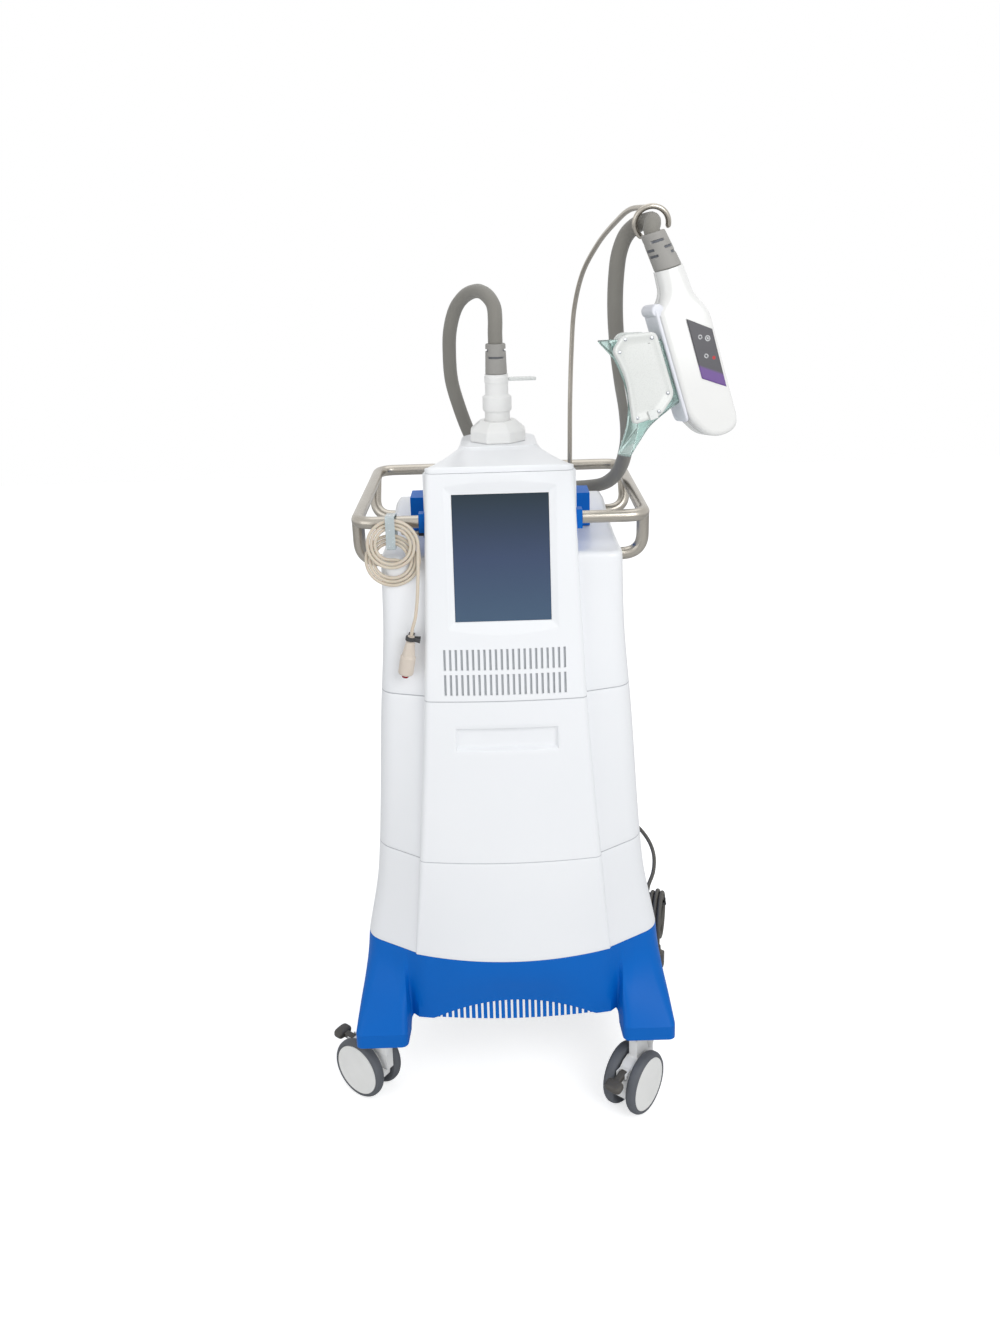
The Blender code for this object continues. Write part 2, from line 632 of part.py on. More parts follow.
def deck_z(y):
    """The hood's roof falls away to the rear from the lid's front edge."""
    return DECK_TOP - DECK_FALL_SHARE * (y - lid_front)


def deck_loop(half, front, rear, setback, height, below=None):
    """A rounded rectangle in plan at a height, or at most a depth below the roof."""
    corners = [(half, front, setback), (half, rear, setback), (-half, rear, setback), (-half, front, setback)]
    line = rounded_line(corners, DECK_STEPS, closed=True)
    heights = height if below is None else np.minimum(height, deck_z(line[:, 1]) - below)
    return at_height(line, heights)


hood_front = bezel_back + FIT
lid_front = front_y(BEZEL_TOP) + crown(BEZEL_TOP)
hood_half = core_half
lid_half = COLUMN_HALF_TOP
core_roof = CORE_TOP + FIT
inner_half, inner_front, inner_rear = hood_half - HOOD_WALL, hood_front + HOOD_WALL, HOOD_REAR - HOOD_WALL
deck_rows = [
    deck_loop(inner_half, inner_front, inner_rear, HOOD_ROUND, BEZEL_TOP - HOOD_WALL, HOOD_WALL + LID_EDGE),
    deck_loop(inner_half, inner_front, inner_rear, HOOD_ROUND, core_roof),
    deck_loop(hood_half, hood_front, HOOD_REAR, HOOD_ROUND, core_roof),
    deck_loop(hood_half, hood_front, HOOD_REAR, HOOD_ROUND, BEZEL_TOP - LID_EDGE, 2 * LID_EDGE),
    deck_loop(lid_half, hood_front, HOOD_REAR - LID_EDGE, HOOD_ROUND, BEZEL_TOP + FIT, LID_EDGE),
    deck_loop(lid_half, lid_front, HOOD_REAR - LID_EDGE, HOOD_ROUND, BEZEL_TOP + 2 * FIT, LID_EDGE - FIT),
    deck_loop(lid_half, lid_front, HOOD_REAR - LID_EDGE, HOOD_ROUND, DECK_TOP - LID_EDGE, LID_EDGE / 2),
    deck_loop(lid_half - LID_EDGE, lid_front + LID_EDGE, HOOD_REAR - 2 * LID_EDGE, HOOD_ROUND, DECK_TOP, 0),
    deck_loop(PEDESTAL_HALF + LID_EDGE, DOCK_Y - PEDESTAL_HALF - LID_EDGE, DOCK_Y + PEDESTAL_HALF + LID_EDGE,
              PEDESTAL_ROUND, DECK_TOP, -FIT),
    deck_loop(PEDESTAL_HALF, DOCK_Y - PEDESTAL_HALF, DOCK_Y + PEDESTAL_HALF, PEDESTAL_ROUND, PEDESTAL_TOP),
]
new_object("top_deck", grid_mesh("top_deck", deck_rows, close_stations=True), WHITE)

# Dock: octagonal housing, stepped connector, slotted sleeve, release lever
DOCK_ACROSS = 0.111
DOCK_SIDE_TOP = 1.371
DOCK_TOP = 1.390
DOCK_TOP_RADIUS = 0.038
NECK_RADIUS = 0.0255
SOCKET_DEPTH = 0.012
RING_RADIUS = 0.0295
RING_LOW = 1.411
RING_HIGH = 1.442
GRIP_RADIUS = 0.0235
GRIP_TOP = 1.4835
SLEEVE_RADIUS = 0.022
SLEEVE_TOP = 1.5445
SLEEVE_GROOVE = 0.0018
dock_frame = new_empty("dock_frame", (0, DOCK_Y, 0))
octagon_radius = DOCK_ACROSS / 2 / math.cos(math.pi / 8)
housing_profile = [(octagon_radius, PEDESTAL_TOP + FIT), (octagon_radius, DOCK_SIDE_TOP),
                   (DOCK_TOP_RADIUS, DOCK_TOP), (NECK_RADIUS + FIT, DOCK_TOP)]
socket_floor = DOCK_TOP - SOCKET_DEPTH
housing_rows = turned_rows(housing_profile, 8, 0.5)
socket_rows = turned_rows([(NECK_RADIUS + 2 * FIT, DOCK_TOP + CUT_OVERRUN), (NECK_RADIUS + 2 * FIT, socket_floor)],
                          16, 0.5)
dock_housing = new_object("dock_housing", grid_mesh("dock_housing", housing_rows, close_stations=True),
                          WHITE, dock_frame)
shaped_by(dock_housing, grid_mesh("dock_socket", socket_rows, close_stations=True))
connector_profile = [(NECK_RADIUS, socket_floor + FIT), (NECK_RADIUS, RING_LOW - SHELL_WALL),
                     (RING_RADIUS, RING_LOW), (RING_RADIUS, RING_HIGH - SHELL_WALL), (GRIP_RADIUS, RING_HIGH),
                     (GRIP_RADIUS, GRIP_TOP)]
new_object("dock_connector",
           grid_mesh("dock_connector", turned_rows(connector_profile, 16), close_stations=True),
           WHITE, dock_frame)


def sleeve_profile(low, high, low_radius, high_radius):
    """A strain-relief sleeve with two shallow grooves round it."""
    profile = [(low_radius, low)]
    for share in (0.32, 0.66):
        z = low + (high - low) * share
        radius = low_radius + (high_radius - low_radius) * share
        groove = [(radius, z - SLEEVE_GROOVE), (radius - SLEEVE_GROOVE, z), (radius, z + SLEEVE_GROOVE)]
        profile += groove
    return profile + [(high_radius, high)]


new_object("dock_sleeve",
           grid_mesh("dock_sleeve", turned_rows(sleeve_profile(GRIP_TOP + FIT, SLEEVE_TOP, SLEEVE_RADIUS,
                                                               SLEEVE_RADIUS - SLEEVE_GROOVE), 16),
                     close_stations=True), HOSE_GREY, dock_frame)
LATCH_LENGTH = 0.056
LATCH_WIDTH = 0.016
LATCH_THICK = 0.007
LATCH_DROP = 0.011
latch_x = GRIP_RADIUS + 3 * FIT
latch_pivot = new_empty("latch_pivot", (latch_x, 0, GRIP_TOP - LATCH_DROP), parent=dock_frame)
new_object("connector_latch",
           box_mesh("connector_latch", (0, -LATCH_WIDTH / 2, -LATCH_THICK / 2),
                    (LATCH_LENGTH, LATCH_WIDTH / 2, LATCH_THICK / 2), LATCH_THICK / 4),
           PALE_STRAP, latch_pivot)

# Chassis: a steel plate with a post over each caster and a pad that the skirt's foot sits on
FOOT_BOTTOM = CASTER_HEIGHT + 3 * FIT
FOOT_BAND = 0.030
FOOT_IN = 0.218
FOOT_OUT = 0.323
FOOT_FRONT = 0.300
FOOT_DEPTH = 0.100
REAR_FOOT = 0.272
SKIRT_WALL = 0.005
CASTER_X = 0.272
CASTER_FRONT_Y = -0.236
CASTER_REAR_Y = 0.218
PAD_WIDTH = 0.050
POST_WIDTH = 0.046
PLATE_Z = 0.214
PLATE_THICK = 0.005
PLATE_HALF = 0.235
PLATE_FRONT = -0.225
PLATE_REAR = 0.215
PAD_HIGH = 0.188
ARM_LAP = 0.012
ARM_WIDTH = 0.034
plate_mesh = box_mesh("base_plate", (-PLATE_HALF, PLATE_FRONT, PLATE_Z),
                      (PLATE_HALF, PLATE_REAR, PLATE_Z + PLATE_THICK))
base_plate = new_object("base_plate", plate_mesh, ZINC, smooth=False)
post_boxes = []
arm_boxes = []
pad_boxes = []
for across in (-1, 1):
    for post_y, pad_reach in ((CASTER_FRONT_Y, -FOOT_FRONT + SKIRT_WALL + FIT),
                              (CASTER_REAR_Y, REAR_FOOT - SKIRT_WALL - FIT)):
        toward = math.copysign(1, post_y)
        inner_edge = post_y - toward * POST_WIDTH / 2
        arm_y = sorted((inner_edge + toward * ARM_LAP, inner_edge - toward * ARM_WIDTH))
        arm_x = sorted((across * (PLATE_HALF - ARM_LAP), across * CASTER_X))
        pad_y = sorted((inner_edge, pad_reach))
        arm_boxes.append(box_mesh("arm", (arm_x[0], arm_y[0], PLATE_Z), (arm_x[1], arm_y[1], PLATE_Z + PLATE_THICK)))
        post_boxes.append(box_mesh(
            "post", (across * CASTER_X - POST_WIDTH / 2, post_y - POST_WIDTH / 2, CASTER_HEIGHT + FIT),
            (across * CASTER_X + POST_WIDTH / 2, post_y + POST_WIDTH / 2, PLATE_Z + PLATE_THICK)))
        pad_boxes.append(box_mesh("pad", (across * CASTER_X - PAD_WIDTH / 2, pad_y[0], CASTER_HEIGHT + FIT),
                                  (across * CASTER_X + PAD_WIDTH / 2, pad_y[1], PAD_HIGH)))
shaped_by(base_plate, joined_mesh("arms", arm_boxes), "UNION")
shaped_by(base_plate, joined_mesh("posts", post_boxes), "UNION")
shaped_by(base_plate, joined_mesh("pads", pad_boxes), "UNION")

# Base skirt: blue, moulded in one piece, drawn out at its corners into four flared legs
SKIRT_BOTTOM = 0.200
SKIRT_FRONT_BOTTOM = 0.270
SKIRT_SIDE_BOTTOM = 0.292
SKIRT_REAR_BOTTOM = 0.250
SKIRT_EDGE_BAND = 0.004
ARCH_HALF = 0.165
ARCH_RISE = 0.047
FOOT_CORNER = 0.015
FOOT_STEP = 0.008
CORNER_STEPS = 2
LEG_SPREAD_SHARES = ((0, 0), (0.25, 0.12), (0.5, 0.36), (0.75, 0.70), (1, 1))
SKIRT_HEIGHT_SHARES = (0.35, 0.7, 1)
SKIRT_X_SHARES = (-0.75, -0.5, -0.25, 0, 0.25, 0.5, 0.75)


def skirt_corners(bottom):
    """The skirt's line in plan as corners with setbacks, at its top or at its bottom."""
    z = SKIRT_TOP
    half = column_half(z)
    front_corner = np.array((side_half(z), -CORNER_REACH))
    rear_corner = np.array((side_half(z) * REAR_TAPER_SHARE, rear_y(z)))
    crease = np.array((half, crease_y(z)))

    def between(a, b, share):
        return tuple(a + (b - a) * share)

    rear_inner = np.array((half, rear_y(z)))
    foot_front, foot_back = -FOOT_FRONT, -FOOT_FRONT + FOOT_DEPTH
    rear_front, rear_back = REAR_FOOT - FOOT_DEPTH, REAR_FOOT
    if bottom:
        right = [
            (half, -SKIRT_FRONT_BOTTOM + FRONT_CROWN / 2, 0), (FOOT_IN - FOOT_STEP / 2, CASTER_FRONT_Y, FOOT_STEP),
            (FOOT_IN, foot_front, FOOT_CORNER), (FOOT_OUT, foot_front, FOOT_CORNER),
            (FOOT_OUT, foot_back, FOOT_CORNER), (SKIRT_SIDE_BOTTOM, foot_back + FOOT_DEPTH / 4, FOOT_STEP),
            (SKIRT_SIDE_BOTTOM * 0.96, rear_front - FOOT_DEPTH / 4, FOOT_STEP),
            (FOOT_OUT, rear_front, FOOT_CORNER), (FOOT_OUT, rear_back, FOOT_CORNER),
            (FOOT_IN, rear_back, FOOT_CORNER), (FOOT_IN - FOOT_STEP, SKIRT_REAR_BOTTOM, FOOT_STEP),
        ]
        return right
    right = [
        (*crease, 0), (*between(crease, front_corner, 0.12), FOOT_STEP),
        (*between(crease, front_corner, 0.38), FOOT_CORNER), (*front_corner, CORNER_ROUND),
        (*between(front_corner, rear_corner, 0.25), FOOT_CORNER),
        (*between(front_corner, rear_corner, 0.36), FOOT_STEP),
        (*between(front_corner, rear_corner, 0.60), FOOT_STEP),
        (*between(front_corner, rear_corner, 0.70), FOOT_CORNER), (*rear_corner, REAR_ROUND * 0.7),
        (*between(rear_corner, rear_inner, 0.60), FOOT_STEP),
        (*between(rear_corner, rear_inner, 0.90), FOOT_STEP / 2),
    ]
    return right


def skirt_line(share):
    """The skirt's closed line in plan, part of the way from its top to its bottom."""
    lines = []
    for bottom in (False, True):
        right = skirt_corners(bottom)
        half = right[0][0]
        front = -SKIRT_FRONT_BOTTOM if bottom else front_y(SKIRT_TOP)
        rise = right[0][1] - front - (0 if bottom else crease_step(SKIRT_TOP))
        front_points = [(x * half, front + rise * x * x, 0) for x in SKIRT_X_SHARES]
        rear = SKIRT_REAR_BOTTOM if bottom else rear_y(SKIRT_TOP)
        rear_points = [(x * half, rear, 0) for x in (0.5, 0, -0.5)]
        left = [(-x, y, setback) for x, y, setback in reversed(right)]
        lines.append(rounded_line(front_points + right + rear_points + left, CORNER_STEPS, closed=True))
    return lines[0] + (lines[1] - lines[0]) * share


bottom_line = skirt_line(1.0)
station_feet = []
for x, y, setback in skirt_corners(True):
    is_foot = x >= FOOT_IN - FOOT_STEP / 2 - FIT
    station_feet += [is_foot] * (1 if setback == 0 else CORNER_STEPS + 1)
foot_flags = np.array([False] * len(SKIRT_X_SHARES) + station_feet + [False] * 3 + station_feet[::-1])
arch = ARCH_RISE * np.clip(1 - (bottom_line[:, 0] / ARCH_HALF) ** 2, 0, 1) * (bottom_line[:, 1] < 0)
skirt_bottom = np.where(foot_flags, FOOT_BOTTOM, SKIRT_BOTTOM + arch)
skirt_band = skirt_bottom + np.where(foot_flags, FOOT_BAND, SKIRT_EDGE_BAND)


def skirt_row(height_share, inset):
    line = skirt_line(np.interp(height_share, *zip(*LEG_SPREAD_SHARES)))
    heights = SKIRT_TOP + (skirt_band - SKIRT_TOP) * height_share
    return at_height(inward(line, inset, closed=True), heights)


skirt_rows = [at_height(inward(skirt_line(0), SEAM_GROOVE, True), SKIRT_TOP),
              at_height(skirt_line(0), SKIRT_TOP - SEAM_GROOVE)]
skirt_rows += [skirt_row(share, 0) for share in SKIRT_HEIGHT_SHARES]
skirt_rows += [at_height(bottom_line, skirt_bottom), at_height(inward(bottom_line, SKIRT_WALL, True), skirt_bottom)]
skirt_rows += [skirt_row(share, SKIRT_WALL) for share in reversed(SKIRT_HEIGHT_SHARES)]
skirt_rows += [at_height(inward(skirt_line(0), SKIRT_WALL, True), SKIRT_TOP)]
new_object("base_skirt", grid_mesh("base_skirt", skirt_rows, True, True), BLUE)

# Intake grille: a comb of ribs hanging behind the skirt's front arch
RIB_COUNT = 27
RIB_PITCH = 0.0121
RIB_WIDTH = 0.0075
GRILLE_THICK = 0.003
GRILLE_RAIL = 0.012
GRILLE_GAP = 0.0009
grille_top = SKIRT_BOTTOM + ARCH_RISE + GRILLE_RAIL
comb = []
for rib in range(RIB_COUNT):
    rib_x = (rib - (RIB_COUNT - 1) / 2) * RIB_PITCH
    comb.append((rib_x - RIB_WIDTH / 2, True))
    comb.append((rib_x + RIB_WIDTH / 2, False))
grille_half = comb[-1][0]


def grille_y(x, back):
    """The grille's face, bowed like the skirt in front of it."""
    bow = FRONT_CROWN / 2 * (x / column_half(SKIRT_TOP)) ** 2
    return -SKIRT_FRONT_BOTTOM + SKIRT_WALL + GRILLE_GAP + bow + back * GRILLE_THICK


def comb_mesh():
    """The comb as one solid: a rail along the top and a rib down from it for each pair of edges."""
    mesh = bpy.data.meshes.new("intake_grille")
    build = bmesh.new()
    heights = (grille_top, SKIRT_BOTTOM + ARCH_RISE, SKIRT_BOTTOM + FIT)
    grid = [[[build.verts.new((x, grille_y(x, back), z)) for z in heights] for back in (0, 1)] for x, _ in comb]
    for i in range(len(comb) - 1):
        near, far = grid[i], grid[i + 1]
        levels = 2 if comb[i][1] else 1
        for level in range(levels):
            build.faces.new((near[0][level + 1], far[0][level + 1], far[0][level], near[0][level]))
            build.faces.new((near[1][level], far[1][level], far[1][level + 1], near[1][level + 1]))
        build.faces.new((near[0][0], far[0][0], far[1][0], near[1][0]))
        build.faces.new((near[0][levels], near[1][levels], far[1][levels], far[0][levels]))
    for i, (_, rib_starts) in enumerate(comb):
        front, back = grid[i]
        build.faces.new((front[1], front[2], back[2], back[1]))
    for end in (grid[0], grid[-1]):
        build.faces.new((end[0][0], end[0][1], end[1][1], end[1][0]))
    bmesh.ops.recalc_face_normals(build, faces=build.faces)
    build.to_mesh(mesh)
    build.free()
    return mesh


new_object("intake_grille", comb_mesh(), BLUE, smooth=False)

# Casters: fork with hood, stem and axle; two wheels; a brake pedal on each front fork
WHEEL_DIAMETER = 0.125
TYRE_WIDTH = 0.022
WHEEL_SIDES = 20
HALF_TRACK = 0.0265
AXLE_RADIUS = 0.006
BORE_RADIUS = 0.0065
TRAIL = 0.052
HOOD_THICK = 0.026
HOOD_RADIUS = 0.050
STEM_RADIUS = 0.021
HEAD_HEIGHT = 0.022
PEDAL_STEM = 0.016
PEDAL_PAD = 0.036
PEDAL_CLEAR = 0.028
PEDAL_REACH = 0.052
PEDAL_THICK = 0.007
PEDAL_HUB = 0.006
PEDAL_HINGE_OUT = 0.043
PEDAL_HINGE_UP = 0.036
CHEEK_REACH = 0.014
CHEEK_HALF = 0.0055
wheel_radius = WHEEL_DIAMETER / 2
wheel_round = wheel_radius / math.cos(math.pi / WHEEL_SIDES)
cap_reach = TYRE_WIDTH / 2
axle_half = HALF_TRACK + cap_reach - 0.35 * TYRE_WIDTH


def wheel_mesh(name):
    """Tyre, hub and outer cap in one turned solid with a blind bore; the cap side is up its own Z."""
    profile = [(BORE_RADIUS, axle_half - HALF_TRACK + FIT), (BORE_RADIUS, -cap_reach),
               (wheel_round * 0.88, -cap_reach), (wheel_round, -cap_reach * 0.55),
               (wheel_round, cap_reach * 0.55), (wheel_round * 0.88, cap_reach)]
    return grid_mesh(name, turned_rows(profile, WHEEL_SIDES, 0.5), close_stations=True)


def fork_mesh(name):
    """The hood plate between the wheels, its origin on the axle."""
    angles = np.radians(np.linspace(-20, 200, 11))
    outline = np.stack([HOOD_RADIUS * np.cos(angles), HOOD_RADIUS * np.sin(angles)], axis=1)
    rows = [np.column_stack([outline[:, 0], np.full(len(outline), side * HOOD_THICK / 2), outline[:, 1]])
            for side in (-1, 1)]
    return grid_mesh(name, rows, close_stations=True)


def across_rows(profile, sides):
    """Turned rows laid along the axle's direction."""
    return turned_rows(profile, sides)[:, :, [0, 2, 1]]


def pedal_mesh(name):
    """A stem from its hinge and a wider pad beyond the wheels."""
    half_stem, half_pad = PEDAL_STEM / 2, PEDAL_PAD / 2
    outline = [(0, -half_stem), (PEDAL_CLEAR, -half_stem), (PEDAL_CLEAR + PEDAL_THICK / 2, -half_pad),
               (PEDAL_REACH, -half_pad * 0.8), (PEDAL_REACH, half_pad * 0.8), (PEDAL_CLEAR + PEDAL_THICK / 2, half_pad),
               (PEDAL_CLEAR, half_stem), (0, half_stem)]
    rows = [at_height(np.array(outline), height) for height in (-PEDAL_THICK / 2, PEDAL_THICK / 2)]
    return grid_mesh(name, rows, close_stations=True)


def caster(name, place, heading_deg, pedal_deg=None):
    """One caster on its swivel axis; heading is where its wheels trail, 0 to the right, 90 to the rear."""
    swivel = new_empty(name + "_swivel", (*place, 0), (0, 0, math.radians(heading_deg)))
    axle = new_empty(name + "_axle", (TRAIL, 0, wheel_radius), parent=swivel)
    fork = new_object("caster_fork_" + name, fork_mesh("caster_fork_" + name), WHITE, axle)
    head_z = CASTER_HEIGHT - wheel_radius
    head_profile = [(STEM_RADIUS * 0.6, HOOD_RADIUS * 0.9), (STEM_RADIUS, head_z - HEAD_HEIGHT), (STEM_RADIUS, head_z)]
    head = turned_rows(head_profile, 14) + (-TRAIL, 0, 0)
    arm = box_mesh("arm", (-TRAIL - STEM_RADIUS * 0.5, -HOOD_THICK * 0.35, HOOD_RADIUS * 0.2),
                   (STEM_RADIUS * 0.1, HOOD_THICK * 0.35, head_z - HEAD_HEIGHT * 0.6))
    axle_pin = across_rows([(AXLE_RADIUS, -axle_half), (AXLE_RADIUS, axle_half)], 12)
    shaped_by(fork, arm, "UNION")
    shaped_by(fork, grid_mesh("head", head, close_stations=True), "UNION")
    shaped_by(fork, grid_mesh("axle_pin", axle_pin, close_stations=True), "UNION")
    outer_side = -math.copysign(1, place[0] * math.sin(math.radians(heading_deg)))
    for label, side in (("outer", outer_side), ("inner", -outer_side)):
        hub = new_empty(f"{name}_{label}_hub", (0, side * HALF_TRACK, 0), (-side * math.pi / 2, 0, 0), axle)
        new_object(f"wheel_{name}_{label}", wheel_mesh(f"wheel_{name}_{label}"), TYRE_GREY, hub)
    if pedal_deg is None:
        return
    hub_place = np.array((PEDAL_HINGE_OUT, 0, PEDAL_HINGE_UP))
    cheek = box_mesh("cheek", hub_place - (CHEEK_REACH, HOOD_THICK * 0.42, CHEEK_HALF),
                     hub_place + (CHEEK_HALF, HOOD_THICK * 0.42, CHEEK_HALF))
    slot = box_mesh("slot", hub_place - (PEDAL_HUB + 2 * FIT, PEDAL_STEM / 2 + 2 * FIT, CHEEK_REACH),
                    hub_place + (CHEEK_REACH, PEDAL_STEM / 2 + 2 * FIT, CHEEK_REACH))
    shaped_by(fork, cheek, "UNION")
    shaped_by(fork, slot)
    hinge = new_empty(name + "_pedal_hinge", hub_place, (0, math.radians(pedal_deg), 0), axle)
    pedal = new_object("brake_pedal_" + name, pedal_mesh("brake_pedal_" + name), DARK_GREY, hinge)
    hub_rows = across_rows([(PEDAL_HUB, -PEDAL_STEM * 0.47), (PEDAL_HUB, PEDAL_STEM * 0.47)], 12)
    shaped_by(pedal, grid_mesh("pedal_hub", hub_rows, close_stations=True), "UNION")


caster("front_left", (-CASTER_X, CASTER_FRONT_Y), 143, -24)
caster("front_right", (CASTER_X, CASTER_FRONT_Y), 232, 8)
caster("rear_left", (-CASTER_X, CASTER_REAR_Y), 101)
caster("rear_right", (CASTER_X, CASTER_REAR_Y), 74)

# Handle rail: stainless tube from the core round the console and back, with four drops, all welded
RAIL_DIAMETER = 0.0245
RAIL_Z = 1.226
RAIL_HALF = 0.279
RAIL_FRONT = -0.159
RAIL_BACK = 0.330
RAIL_BEND = 0.040
RAIL_STEPS = 3
RAIL_SIDES = 8
FRONT_DROP_Y = -0.108
FRONT_DROP_Z = 1.136
REAR_DROP_Y = 0.195
REAR_DROP_Z = 1.150
DROP_BEND = 0.042
rail_radius = RAIL_DIAMETER / 2


def rail_line(corners, bend_length, steps):
    """A line in space with its inner corners rounded."""
    corners = [np.array(corner, float) for corner in corners]
    line = [corners[0][None]]
    for before, corner, after in zip(corners, corners[1:], corners[2:]):
        line.append(bend(before, corner, after, bend_length, steps))
    return np.concatenate(line + [corners[-1][None]])


rail_right = [(CORE_NECK_HALF + FIT, RAIL_FRONT), (RAIL_HALF, RAIL_FRONT), (RAIL_HALF, RAIL_BACK)]
rail_plan = [(-x, y) for x, y in rail_right] + rail_right[::-1]
rail_points = rail_line([(x, y, RAIL_Z) for x, y in rail_plan], RAIL_BEND, RAIL_STEPS)
handle_rail = new_object(
    "handle_rail", grid_mesh("handle_rail", tube_rows(rail_points, rail_radius, RAIL_SIDES), close_stations=True),
    STEEL)


def shell_reach(y, z):
    """How far out the side shell stands where a tube of the rail meets it."""
    low_z, near_y = z - rail_radius, y - rail_radius
    line = side_line(low_z)
    return float(np.interp(near_y, line[SIDE_CORNER_STEPS + 1:-SIDE_CORNER_STEPS - 2, 1],
                           line[SIDE_CORNER_STEPS + 1:-SIDE_CORNER_STEPS - 2, 0]))


drops = []
for across in (-1, 1):
    for top_y, low_y, low_z in ((RAIL_FRONT + RAIL_BEND, FRONT_DROP_Y, FRONT_DROP_Z),
                                (RAIL_BACK - RAIL_BEND * 2, REAR_DROP_Y, REAR_DROP_Z)):
        drop = rail_line([(across * RAIL_HALF, top_y, RAIL_Z), (across * RAIL_HALF, low_y, low_z),
                          (across * (shell_reach(low_y, low_z) + FIT), low_y, low_z)], DROP_BEND, RAIL_STEPS)
        drops.append(grid_mesh("drop", tube_rows(drop, rail_radius, RAIL_SIDES), close_stations=True))
shaped_by(handle_rail, joined_mesh("drops", drops), "UNION")

# Mast: a bent steel rod in a socket on the rear ledge, its horseshoe hook holding the hose up
MAST_DIAMETER = 0.010
MAST_SIDES = 6
MAST_STEP = 0.030
SOCKET_RADIUS = 0.014
SOCKET_HEIGHT = 0.030
SOCKET_FLOOR = 0.006
HOOK_RADIUS = 0.0295
HOOK_PITCH_DEG = 14
mast_foot = (0.157, 0.200)
hook_centre = (0.2790, -0.236, 1.7715)
hook_angles = np.radians(np.linspace(240, -18, 17))
hook_ring = np.stack([HOOK_RADIUS * np.cos(hook_angles), np.zeros(17), HOOK_RADIUS * np.sin(hook_angles)], axis=1)
hook_turn = np.array(Matrix.Rotation(math.radians(HOOK_PITCH_DEG), 3, "X"))
hook_line = hook_ring @ hook_turn.T + hook_centre
mast_points = [
    (*mast_foot, LEDGE_TOP + FIT + SOCKET_FLOOR + FIT), (*mast_foot, 1.240), (0.158, 0.200, 1.300),
    (0.160, 0.200, 1.398), (0.1644, 0.195, 1.508), (0.170, 0.180, 1.594), (0.184, 0.130, 1.670),
    (0.208, 0.040, 1.731), (0.231, -0.080, 1.773), (0.2495, -0.180, 1.7965), tuple(hook_line[8]),
]
socket_profile = [(SOCKET_RADIUS, LEDGE_TOP + FIT), (SOCKET_RADIUS, LEDGE_TOP + SOCKET_HEIGHT),
                  (MAST_DIAMETER / 2 + 2 * FIT, LEDGE_TOP + SOCKET_HEIGHT),
                  (MAST_DIAMETER / 2 + 2 * FIT, LEDGE_TOP + FIT + SOCKET_FLOOR)]
mast_frame = new_empty("mast_frame", (*mast_foot, 0))
new_object("mast_socket", grid_mesh("mast_socket", turned_rows(socket_profile, 16), close_stations=True),
           ZINC, mast_frame)
mast_line = smooth_route(mast_points, MAST_STEP)
mast = new_object("mast", grid_mesh("mast", tube_rows(mast_line, MAST_DIAMETER / 2, MAST_SIDES),
                                    close_stations=True), STEEL)
shaped_by(mast, grid_mesh("hook", tube_rows(hook_line, MAST_DIAMETER / 2, MAST_SIDES), close_stations=True), "UNION")

# Applicator: its frame stands at the top of its sleeve, down its own -Z, its keypad toward its own -Y
APPLICATOR_PLACE = (0.2772, -0.260, 1.7556)
APPLICATOR_TURN_DEG = (-6, -15, 18)
APPLICATOR_SLEEVE_TOP = 0.0215
APPLICATOR_SLEEVE_LOW = 0.0245
APPLICATOR_SLEEVE_LENGTH = 0.066
APPLICATOR_SLEEVE_SHIFT = 0.010
BODY_HALF_THICK = 0.030
BODY_EDGE = 0.008
NECK_SHIFT = 0.004
applicator = new_empty("applicator_frame", APPLICATOR_PLACE, [math.radians(a) for a in APPLICATOR_TURN_DEG])
sleeve_rows = turned_rows(sleeve_profile(-APPLICATOR_SLEEVE_LENGTH, 0, APPLICATOR_SLEEVE_LOW,
                                         APPLICATOR_SLEEVE_TOP), 16)
lean_of_sleeve = -sleeve_rows[:, :, 2:] / APPLICATOR_SLEEVE_LENGTH
sleeve_rows[:, :, :1] += lean_of_sleeve * APPLICATOR_SLEEVE_SHIFT
new_object("applicator_sleeve", grid_mesh("applicator_sleeve", sleeve_rows, close_stations=True),
           HOSE_GREY, applicator)

# The body's outline from its neck, seen from the front
BODY_NECK_HALF = 0.0255
BODY_RIGHT = 0.0530
BODY_LEFT = -0.0420
BODY_LENGTH = 0.375
BODY_SMALL_ROUND = 0.010
BODY_HEEL_ROUND = 0.030
BODY_TOE_IN = 0.004
body_top = -APPLICATOR_SLEEVE_LENGTH - FIT
neck_middle = APPLICATOR_SLEEVE_SHIFT
neck_left, neck_right = neck_middle - BODY_NECK_HALF, neck_middle + BODY_NECK_HALF
body_corners = [
    (neck_left, body_top, 0), (neck_left - BODY_NECK_HALF * 0.1, body_top - 0.12 * BODY_LENGTH, BODY_SMALL_ROUND),
    (BODY_LEFT, body_top - 0.17 * BODY_LENGTH, BODY_SMALL_ROUND), (BODY_LEFT, -0.86 * BODY_LENGTH, BODY_HEEL_ROUND / 2),
    (BODY_LEFT + BODY_HEEL_ROUND, -BODY_LENGTH, BODY_HEEL_ROUND), (BODY_RIGHT - BODY_TOE_IN, -BODY_LENGTH, BODY_HEEL_ROUND),
    (BODY_RIGHT, -0.47 * BODY_LENGTH, BODY_HEEL_ROUND),
    (neck_right + BODY_NECK_HALF * 0.15, -0.36 * BODY_LENGTH, BODY_SMALL_ROUND), (neck_right, body_top, 0),
]
body_outline = rounded_line(body_corners, 3, closed=True)


def body_loop(y, inset):
    line = inward(body_outline, inset, closed=True)
    return np.column_stack([line[:, 0], np.full(len(line), y), line[:, 1]])


